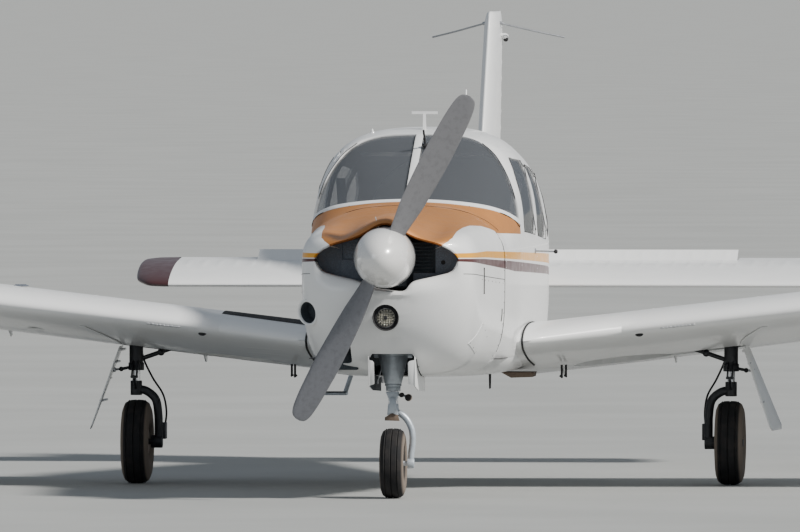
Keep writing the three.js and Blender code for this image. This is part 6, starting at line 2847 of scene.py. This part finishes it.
@dataclass
class Interior:
    """Seats, panel, controls and carpet inside the cabin."""

    seats: tuple = (0.0555, 0.4995)
    eyebrow: float = 1.4

    def build(self) -> None:
        """Build all that is fitted inside the cabin."""
        pads: list[bpy.types.Object] = []
        for name, side in SIDES:
            pads = self.seat(name, side, pads)
        self.bench()
        self.panel()
        for fitting in CABIN_FITTINGS:
            fitting.build()

    def seat(self, name: str, side: float, others: list[bpy.types.Object]) -> list[bpy.types.Object]:
        """Build one front seat: its base, cushion and back.

        Args:
            name: The side it stands on.
            side: The sign of that side.
            others: The other seat's pads, which are mirrored where they are given.

        Returns:
            The seat's pads.
        """
        near, far = sorted((side * self.seats[0], side * self.seats[1]))
        lines = ((0, -0.33), (0, 0.33))
        pads = (
            Pad(f"seat_cushion_{name}", f"seat_{name}", (near + 0.012, aft(2.31), 0.885),
                (far - 0.012, aft(2.675), 0.978), channels=lines),
            Pad(f"seat_back_{name}", "", (near + 0.014, aft(2.725), 1.0),
                (far - 0.014, aft(2.812), 1.48), lean=-16.0, channels=(*lines, (2, 0.2))),
        )
        made = [pad.mirrored(other) for pad, other in zip(pads, others)] or [pad.build() for pad in pads]
        frame_work = Shape().box((near + 0.03, aft(2.34), 0.705), (far - 0.03, aft(2.66), 0.86))
        for x in (near + 0.02, far - 0.04):
            frame_work.box((x, aft(2.33), 0.701), (x + 0.02, aft(2.7), 0.722))
        frame_work.finish(f"seat_base_{name}", Finish.TRIM, Slot.TRIM, bevel=0.01)
        return made

    def bench(self) -> None:
        """Build the rear bench."""
        lines = ((0, -0.5), (0, 0.0), (0, 0.5))
        Pad("bench_cushion", "rear_bench", (-0.508, aft(3.21), 0.885), (0.508, aft(3.575), 0.968),
            channels=lines, voxel=0.011).build()
        Pad("bench_back", "", (-0.47, aft(3.625), 0.985), (0.47, aft(3.705), 1.385),
            lean=-17.5, channels=lines, voxel=0.011).build()
        Shape().box((-0.47, aft(3.24), 0.703), (0.47, aft(3.56), 0.86)).finish(
            "bench_base", Finish.TRIM, Slot.TRIM, bevel=0.01)

    def panel(self) -> None:
        """Build the instrument panel with its dials, radios, switches and levers."""
        face = aft(1.962)
        board = rounded(((-0.505, 1.012), (0.505, 1.012), (0.47, 1.35), (0.4, 1.392), (-0.4, 1.392),
                         (-0.47, 1.35)), 0.03)
        Shape().plate([(x, face, z) for x, z in board], (0, 0.018, 0)).outward().finish(
            "panel_board", Finish.TRIM, Slot.TRIM, ["instrument_panel"], bevel=0.003)
        half = 0.47

        def brow(x: float, v: float) -> Vector:
            """Return a point of the glare shield, which droops at its ends and edges.

            Args:
                x: The width.
                v: The place from its front edge to its back one.

            Returns:
                The point.
            """
            droop = 0.055 * (x / half) ** 4
            return Vector((
                x, aft(1.775 + 0.205 * v), self.eyebrow - droop - 0.02 * v**6 - 0.012 * (1 - v) ** 4))

        shade = Shape().grid(even(-half, half, 20), even(0, 1, 12), brow)
        shade.finish("glare_shield", Finish.TRIM, Slot.TRIM, (), 0.01, 0.003)
        rims, marks, glass = Shape(), Shape(), Shape()
        rear = aft(1.981)
        places = [(x, z, 0.041) for x in (0.165, 0.258, 0.351) for z in (1.205, 1.3)]
        places += [(x, 1.155, 0.028) for x in (-0.13, -0.2, -0.27, -0.34)]
        places += [(0.445, z, 0.028) for z in (1.29, 1.215)]
        places += [(x, 1.285, 0.041) for x in (-0.24, -0.345)]
        for x, z, r in places:
            rims.turned([(r * 0.84, 0), (r * 0.86, 0.005), (r * 0.97, 0.006), (r, 0), (r * 0.84, 0)],
                        (x, rear, z), (0, 1, 0), 28)
            glass.turned([(0.0, 0.0006), (r * 0.85, 0.0006), (r * 0.85, -0.001), (0.0, -0.001)],
                         (x, rear, z), (0, 1, 0), 28)
            for k in range(12):
                turn = Matrix.Rotation(math.tau * k / 12, 4, "Y")
                spot = Vector((x, rear + 0.0008, z)) + turn @ Vector((0, 0, r * 0.72))
                marks.block(spot, (0.0011, 0.0004, r * 0.07), turn)
            hand = Matrix.Rotation(math.radians(40 * x * 31 % 360), 4, "Y")
            spot = Vector((x, rear + 0.0016, z)) + hand @ Vector((0, 0, r * 0.24))
            marks.block(spot, (0.0014, 0.0004, r * 0.36), hand)
        rims.outward().finish("dial_rims", Finish.DARK, Slot.DARK)
        glass.outward().finish("dial_faces", Finish.SEAL, Slot.TRIM)
        marks.finish("dial_marks", Finish.DIAL, Slot.WHITE)
        units = Shape()
        for k in range(5):
            low = 1.345 - 0.052 * k
            units.box((-0.075, aft(1.978), low - 0.046), (0.085, aft(1.99), low))
            for x in (-0.06, 0.07):
                units.rod((x, aft(1.988), low - 0.023), (x, aft(2.002), low - 0.023), 0.008, 0.007, 16)
        units.finish("radio_stack", Finish.DARK, Slot.DARK, bevel=0.002)
        screens = Shape()
        for k in range(4):
            screens.box((-0.045, aft(1.989), 1.313 - 0.052 * k), (0.04, aft(1.9908), 1.334 - 0.052 * k))
        screens.finish("radio_windows", Finish.LENS, Slot.GLASS)
        knobs = Shape()
        for x, z, long in ((-0.035, 1.075, 0.05), (0.0, 1.075, 0.062), (0.035, 1.075, 0.05)):
            knobs.rod((x, aft(1.975), z), (x, aft(1.975 + long), z), 0.004)
            knobs.ball((x, aft(1.98 + long), z), 0.014, (1, 0.8, 1))
        for k in range(10):
            x = 0.13 + 0.034 * k
            knobs.box((x - 0.006, aft(1.978), 1.1), (x + 0.006, aft(1.99), 1.12))
        knobs.finish("levers_and_switches", Finish.SEAL, Slot.TRIM, bevel=0.001)


def yoke(x: float) -> tuple:
    """Return the shapes of one control wheel and its column.

    Args:
        x: The width at which it stands.

    Returns:
        The shapes, as a Fitting takes them.
    """
    # distance out from the column and height
    grip = ((0.03, 1.15), (0.085, 1.14), (0.118, 1.165), (0.122, 1.235))
    grips = [("tube", [(x + side * out, 2.134, z) for out, z in grip], 0.0115, 12) for side in (-1, 1)]
    return (("rod", (x, 1.98, 1.13), (x, 2.13, 1.15), 0.0105),
            ("rod", (x, 2.118, 1.148), (x, 2.146, 1.152), 0.038, 0.034, 28), *grips)


def strap(path: Sequence[Sequence[float]], width: float = 0.024) -> tuple:
    """Return a flat strap along a path, as plates drawn across the seat.

    Args:
        path: The path's points.
        width: Half the strap's width.

    Returns:
        The plates.
    """
    plates = []
    for (x0, s0, z0), (x1, s1, z1) in zip(path, path[1:]):
        corners = [(x0 - width, s0, z0), (x0 + width, s0, z0), (x1 + width, s1, z1), (x1 - width, s1, z1)]
        plates.append(("plate", corners, (0.0, -0.002, 0.002)))
    return tuple(plates)


CABIN_FITTINGS = (
    Fitting("control_wheels", Finish.SEAL, Slot.TRIM, (*yoke(0.27), *yoke(-0.27)), bevel=0.0),
    Fitting("cabin_carpet", Finish.CARPET, Slot.CLOTH, (
        ("box", (-0.505, 1.56, 0.7005), (0.505, 3.9, 0.7045)),
        ("box", (-0.47, 3.9, 0.7005), (0.47, 4.44, 0.7045)),
    ), bevel=0.0),
    Fitting("floor_tunnel", Finish.CARPET, Slot.CLOTH, (
        ("box", (-0.045, 1.64, 0.703), (0.045, 2.72, 0.79)),
        ("box", (-0.03, 2.42, 0.785), (0.03, 2.64, 0.8)),
    ), bevel=0.012),
    Fitting("centre_quadrant", Finish.TRIM, Slot.TRIM, (
        ("box", (-0.06, 1.9, 0.78), (0.06, 2.02, 1.045)),
        ("rod", (0.022, 2.48, 0.8), (0.022, 2.3, 0.85), 0.008),
    ), bevel=0.008),
    Fitting("trim_wheel", Finish.DARK, Slot.DARK, (
        ("rod", (-0.014, 2.56, 0.79), (0.014, 2.56, 0.79), 0.055, 0.055, 36),
    ), bevel=0.003),
    Fitting("rudder_pedals", Finish.BRIGHT, Slot.STEEL, (
        *((method, *[tuple(p) for p in points], *rest)
          for x in (0.13, 0.3, -0.13, -0.3)
          for method, points, rest in (
              ("box", ((x - 0.036, 1.7, 0.79), (x + 0.036, 1.712, 0.9)), ()),
              ("rod", ((x, 1.706, 0.8), (x, 1.64, 1.0)), (0.008,)),
          )),
    ), bevel=0.003),
    Fitting("seat_belt", Finish.WEBBING, Slot.CLOTH, (
        *strap(((0.47, 2.96, 1.62), (0.45, 2.88, 1.42))),
        *strap(((0.44, 2.64, 1.004), (0.278, 2.56, 1.012), (0.1, 2.64, 1.004))),
    ), bevel=0.0, sides=SIDES),
    Fitting("belt_buckle", Finish.CHROME, Slot.STEEL, (
        ("box", (0.255, 2.545, 1.006), (0.3, 2.59, 1.02)),
    ), sides=SIDES),
    Fitting("sun_visor", Finish.LINING, Slot.CLOTH, (
        ("box", (0.06, 2.475, 1.744), (0.32, 2.585, 1.753)),
        ("rod", (0.05, 2.48, 1.758), (0.33, 2.48, 1.758), 0.005),
    ), bevel=0.004, sides=SIDES),
    Fitting("compass", Finish.TRIM, Slot.TRIM, (
        ("box", (-0.03, 2.12, 1.52), (0.03, 2.175, 1.57)),
        ("rod", (0, 2.15, 1.57), (0, 2.2, 1.64), 0.006),
    ), bevel=0.01),
    Fitting("door_pull", Finish.BRIGHT, Slot.STEEL, (
        ("tube", [(-0.522, 2.52, 1.2), (-0.498, 2.54, 1.2), (-0.498, 2.66, 1.2), (-0.522, 2.68, 1.2)],
         0.007, 12),
    ), Body.DOOR, bevel=0.0),
    Fitting("arm_rests", Finish.LINING, Slot.CLOTH, (
        ("box", (0.49, 2.5, 1.09), (0.532, 2.8, 1.12)),
        ("box", (0.49, 3.3, 1.1), (0.532, 3.56, 1.13)),
    ), bevel=0.01),
)


OUTSIDE_FITTINGS = (
    Fitting("fin_aerial", Finish.STEEL, Slot.STEEL, (
        ("tube", [(0.026, 6.958, 2.428), (0.1, 7.04, 2.409), (0.23, 7.2, 2.376), (0.365, 7.35, 2.345)],
         0.005, 10),
        ("rod", (0.02, 6.952, 2.429), (0.052, 6.986, 2.422), 0.01),
    ), bevel=0.0, sides=SIDES),
    Fitting("fin_lug", Finish.WHITE, Slot.WHITE, (
        ("ball", (0.05, 7.122, 2.352), 0.02, (1.3, 2.6, 0.9)),
    ), bevel=0.0),
    Fitting("fin_lug_lens", Finish.SEAL, Slot.TRIM, (
        ("ball", (0.06, 7.112, 2.336), 0.0145, (1.0, 1.5, 1.0)),
    ), bevel=0.0),
    Fitting("roof_nub", Finish.WHITE, Slot.WHITE, (
        ("rod", (-0.277, 2.7, 1.858), (-0.28, 2.7, 1.885), 0.0085, 0.0055, 16),
        ("rod", (-0.277, 2.7, 1.858), (-0.278, 2.7, 1.869), 0.016, 0.012, 16),
    ), bevel=0.0),
    Fitting("air_thermometer", Finish.TRIM, Slot.TRIM, (
        ("rod", (0.038, 2.18, 1.883), (0.043, 2.335, 1.722), 0.0055),
        ("rod", (0.04, 2.246, 1.812), (0.0405, 2.26, 1.797), 0.015),
    ), bevel=0.001),
    Fitting("air_thermometer_nut", Finish.CHROME, Slot.STEEL, (
        ("rod", (0.04, 2.243, 1.816), (0.0402, 2.249, 1.81), 0.0095, 0.0095, 6),
        ("ball", (0.058, 2.262, 1.806), 0.006),
    ), bevel=0.0),
    Fitting("side_probe", Finish.STEEL, Slot.STEEL, (
        ("rod", (0.558, 2.9, 1.24), (0.668, 2.905, 1.237), 0.0045),
        ("rod", (0.56, 2.9, 1.24), (0.57, 2.9, 1.24), 0.014),
    ), bevel=0.0),
    Fitting("side_probe_ball", Finish.TRIM, Slot.TRIM, (
        ("ball", (0.674, 2.905, 1.237), 0.0115),
    ), bevel=0.0),
    Fitting("cowl_bonding_wire", Finish.WHITE, Slot.WHITE, (
        ("tube", [(-0.06, 0.478, 1.455), (-0.053, 0.446, 1.44), (-0.042, 0.43, 1.415),
                  (-0.036, 0.44, 1.392)], 0.0022, 8),
    ), bevel=0.0),
    Fitting("belly_aerial", Finish.TRIM, Slot.TRIM, (
        bar((0.314, 0.322), ((2.95, 0.622), (3.05, 0.622), (3.02, 0.512), (2.985, 0.51))),
    ), bevel=0.003),
    Fitting("belly_plate", Finish.WHITE, Slot.WHITE, (
        ("box", (0.236, 2.9, 0.59), (0.334, 3.06, 0.602)),
    ), bevel=0.002),
    # painted shadow: a dark block under the wing root stands for the shade there
    Fitting("belly_shadow_block", Finish.MUD, Slot.TRIM, (
        slab((2.86, 3.06), ((0.385, 0.602), (0.562, 0.602), (0.556, 0.576), (0.44, 0.572))),
    ), bevel=0.003),
    Fitting("root_drains", Finish.TRIM, Slot.TRIM, (
        ("rod", (0.706, 2.9, 0.64), (0.706, 2.9, 0.575), 0.006, 0.006, 12),
        ("rod", (0.706, 2.9, 0.582), (0.7, 2.9, 0.574), 0.01, 0.01, 12),
        ("rod", (0.726, 2.93, 0.64), (0.726, 2.93, 0.579), 0.006, 0.006, 12),
        ("rod", (0.726, 2.93, 0.584), (0.722, 2.93, 0.576), 0.009, 0.009, 12),
    ), bevel=0.0, sides=SIDES),
    Fitting("belly_drain", Finish.STEEL, Slot.STEEL, (
        ("rod", (0.06, 1.54, 0.618), (0.06, 1.56, 0.575), 0.006),
        ("rod", (-0.12, 1.54, 0.618), (-0.12, 1.57, 0.58), 0.009),
    ), bevel=0.0),
    Fitting("step_strut", Finish.GREY, Slot.STEEL, (
        ("rod", (-0.455, 4.06, 0.735), (-0.548, 4.06, 0.458), 0.0125),
        ("box", (-0.688, 4.006, 0.448), (-0.536, 4.114, 0.462)),
        ("rod", (-0.45, 4.06, 0.748), (-0.46, 4.06, 0.718), 0.026),
    ), replaces=("boarding_step",), bevel=0.003),
    Fitting("step_tread", Finish.WALKWAY, Slot.TRIM, (
        ("box", (-0.686, 4.008, 0.462), (-0.54, 4.112, 0.467)),
    ), bevel=0.002),
    Fitting("cabin_door_handle", Finish.CHROME, Slot.STEEL, (
        ("box", (-0.5615, 2.82, 1.18), (-0.5575, 2.94, 1.215)),
        ("rod", (-0.56, 2.84, 1.197), (-0.574, 2.84, 1.197), 0.01),
        ("box", (-0.577, 2.832, 1.188), (-0.571, 2.93, 1.206)),
        ("rod", (-0.56, 2.795, 1.197), (-0.565, 2.795, 1.197), 0.009),
    ), Body.DOOR, bevel=0.0015),
    Fitting("cabin_door_knuckles", Finish.STEEL, Slot.STEEL, (
        ("rod", (-0.564, 2.264, 1.02), (-0.564, 2.264, 1.06), 0.005),
        ("rod", (-0.564, 2.264, 1.23), (-0.564, 2.264, 1.27), 0.005),
        ("box", (-0.566, 2.266, 1.024), (-0.556, 2.3, 1.056)),
        ("box", (-0.566, 2.266, 1.234), (-0.556, 2.3, 1.266)),
    ), Body.DOOR, bevel=0.001),
    Fitting("baggage_latch", Finish.CHROME, Slot.STEEL, (
        ("rod", (-0.516, 4.375, 1.11), (-0.532, 4.375, 1.11), 0.014),
        ("box", (-0.535, 4.35, 1.105), (-0.53, 4.392, 1.115)),
    ), Body.BAGGAGE, bevel=0.001),
    Fitting("tail_lamp", Finish.LENS, Slot.GLASS, (
        ("ball", (0, 7.082, 1.12), 0.02, (1, 1.2, 1)),
    ), bevel=0.0),
)


def add_seals(rivets: Rivets) -> None:
    """Run the dark seals round the glass and wing roots, and the cabin's rivet rows.

    Args:
        rivets: The rivets of the skin.
    """
    cabin, seals = Cabin(), Shape()
    lift = Vector((0, 0, 0.001))
    for _, side in SIDES:
        flank = BodySkin.side(side)
        for corners, round_by in cabin.windows.values():
            loop = rounded(corners, round_by)
            points = [flank(s, z) for s, z in loop]
            seals.tube([p + Vector((side * 0.0008, 0, 0)) for p in [*points, points[0]]], 0.0017, 6)
        edge = [p for p in cabin.screen() if p[1] < 1.9 and p[0] > aft(1.65)]
        points = []
        for y, z in edge:
            station = y + HALF_LENGTH
            if z < BodySkin.over(station, 0.0).z - 0.004:
                points.append(flank(station, z) + lift)
        seals.tube(smooth_path(points, 4), 0.002, 6)
        for x in (0.0215, 0.0):
            post = [BodySkin.over(s, side * (x + 0.0005)) + lift for s in even(1.72, 2.42, 16)]
            if x:
                seals.tube(post, 0.0016, 6)
        rounds = (0.42, 0.25, 0.12, 0.05, 0.015, 0.0, -0.015, -0.05, -0.15, -0.3)
        root = [WingSkin.point(0.5665, t, 0.002) for t in rounds]
        seals.tube([Vector((p.x * side, p.y, p.z)) for p in root], 0.0055, 8)
        # the frames and the stringers, broken off at the door and the hatch on the right
        for station in (1.555, 2.215, 3.04, 3.7, 4.395):
            if side > 0 or station != 3.04:
                rivets.row(flank, (station, 0.74), (station, 1.24), 0.032, flip=side < 0)
        for height in (0.745, 1.265):
            start = 1.55 if side > 0 or height < 0.9 else 3.05
            stop = 4.46 if side > 0 or height < 0.9 else 4.0
            rivets.row(flank, (start, height), (stop, height), 0.036, flip=side < 0)
        # the windscreen's post and the roof's outer edges
        rivets.row(BodySkin.over, (1.78, side * 0.013), (2.4, side * 0.013), 0.034, flip=side < 0)
        rivets.row(BodySkin.over, (2.52, side * 0.3), (4.45, side * 0.26), 0.036, flip=side < 0)
    for station in (2.5, 3.05, 3.72, 4.44):
        rivets.row(BodySkin.over, (station, -0.4), (station, 0.4), 0.036)
    seals.outward().finish("glazing_and_root_seals", Finish.SEAL, Slot.TRIM)


@dataclass
class Studio:
    """A grey floor, a soft sun with a fill light, and the photograph's camera."""

    azimuth: float = 5.1
    pitch: float = 1.0475
    distance: float = 90.0
    height: float = 2.8
    lens: float = 765.45
    offset: float = 0.176
    sunlight: float = 5.8
    sun_spread: float = 6.0
    skylight: float = 0.36

    def build(self) -> None:
        """Add the floor, the lights and the camera."""
        heading = math.radians(self.azimuth)
        ahead = Vector((-math.sin(heading), math.cos(heading), 0))
        right = Vector((math.cos(heading), math.sin(heading), 0))
        camera = added("camera", bpy.data.cameras.new("camera"))
        place = Vector((0, aft(3.2), 0)) - ahead * self.distance - right * self.offset
        camera.location = (place.x, place.y, self.height)
        camera.rotation_euler = (math.radians(90 - self.pitch), 0, heading)
        camera.data.lens, camera.data.sensor_width = self.lens, 36.0
        camera.data.clip_start, camera.data.clip_end = 1.0, 8000.0
        bpy.context.scene.camera = camera
        self.floor()
        self.sun((27, -11, 25))
        self.light("fill", (-22, -26, 9), (0, 0, 1.0), 14.0, 900, (0.9, 0.95, 1.0))
        world = bpy.data.worlds.new("studio")
        world.use_nodes = True
        backdrop = world.node_tree.nodes["Background"]
        backdrop.inputs["Color"].default_value = (0.76, 0.85, 0.97, 1)
        backdrop.inputs["Strength"].default_value = self.skylight
        bpy.context.scene.world = world

    @staticmethod
    def floor() -> None:
        """Lay the wide grey floor."""
        graph = Graph("pale_floor")
        tone = graph.spread(graph.noise(0.6, 4), 0.3, 0.7)
        grey = graph.blend(tone, (0.33, 0.335, 0.325, 1), (0.36, 0.365, 0.355, 1))
        graph.set(Base_Color=grey, Roughness=0.8)
        mesh = bmesh.new()
        bmesh.ops.create_grid(mesh, x_segments=1, y_segments=1, size=4000)
        data = bpy.data.meshes.new("floor")
        mesh.to_mesh(data)
        mesh.free()
        data.materials.append(graph.material)
        floor = added("floor", data)

    def sun(self, place: Sequence[float]) -> None:
        """Add the soft main light that shines from the direction of a place.

        Args:
            place: The place.
        """
        data = bpy.data.lights.new("key", "SUN")
        data.energy, data.angle = self.sunlight, math.radians(self.sun_spread)
        data.color = (1.0, 0.975, 0.93)
        lamp = added("key", data)
        lamp.rotation_euler = (-Vector(place)).to_track_quat("-Z", "Y").to_euler()

    @staticmethod
    def light(name: str, place: Sequence[float], target: Sequence[float], size: float,
              power: float, colour: Sequence[float]) -> None:
        """Add one soft square light aimed at a point.

        Args:
            name: Its name.
            place: Its place.
            target: What it is aimed at.
            size: The length of its sides.
            power: Its power in watts.
            colour: Its colour.
        """
        data = bpy.data.lights.new(name, "AREA")
        data.size, data.energy, data.color = size, power, colour
        lamp = added(name, data)
        lamp.location = place
        aim = Vector(target) - Vector(place)
        lamp.rotation_euler = aim.to_track_quat("-Z", "Y").to_euler()


NODE_FINISHES = {
    "white_paint": Finish.WHITE, "copper_paint": Finish.COPPER, "maroon_paint": Finish.MAROON,
    "glazing": Finish.GLASS, "gear_steel": Finish.STEEL, "gear_dark": Finish.DARK,
    "gear_grey": Finish.GREY, "engine_metal": Finish.TRIM, "propeller_metal": Finish.BLADE,
    "exhaust_steel": Finish.EXHAUST, "dark_trim": Finish.TRIM, "seat_cloth": Finish.CLOTH,
    "rim_paint": Finish.RIM, "tyre_rubber": Finish.TYRE,
}


def dress_nodes() -> None:
    """Give every frame node the finish of its slot."""
    slots = {part["node"]: part["material_slot"] for part in frame["record"]["subparts"]}
    for name, node in frame["nodes"].items():
        node.data.materials.clear()
        node.data.materials.append(material(NODE_FINISHES[slots[name]]))


def main() -> None:
    """Build the aircraft and its studio."""
    logging.basicConfig(level=logging.INFO, format="%(message)s")
    dress_nodes()
    Studio().build()
    Cowling().build()
    Cabin().build()
    Interior().build()
    skin_rivets = Rivets()
    TailCone().build(skin_rivets)
    for name, side in SIDES:
        Wing(name, side).build(skin_rivets)
        Wheel(("main", f"_{name}"), Body(f"{name}_wheel"), (side * WHEEL_OUT, 3.2, 0.2222), radius=0.2222,
              width=0.15, rim=0.08, rim_width=0.112, axle=0.0185).build()
    Wheel(("nose", ""), Body.NOSE_WHEEL, (0.0, 0.83, 0.1805), radius=0.1805,
          width=0.125, rim=0.064, rim_width=0.092, axle=0.0145).build()
    Fin().build(skin_rivets)
    Stabilator().build(skin_rivets)
    Propeller().build()
    for fitting in (*MAIN_LEG, *NOSE_LEG, *OUTSIDE_FITTINGS):
        fitting.build()
    add_seals(skin_rivets)
    skin_rivets.finish("skin_rivets", Finish.WHITE, Slot.WHITE)
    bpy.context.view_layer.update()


if __name__ == "__main__":
    main()
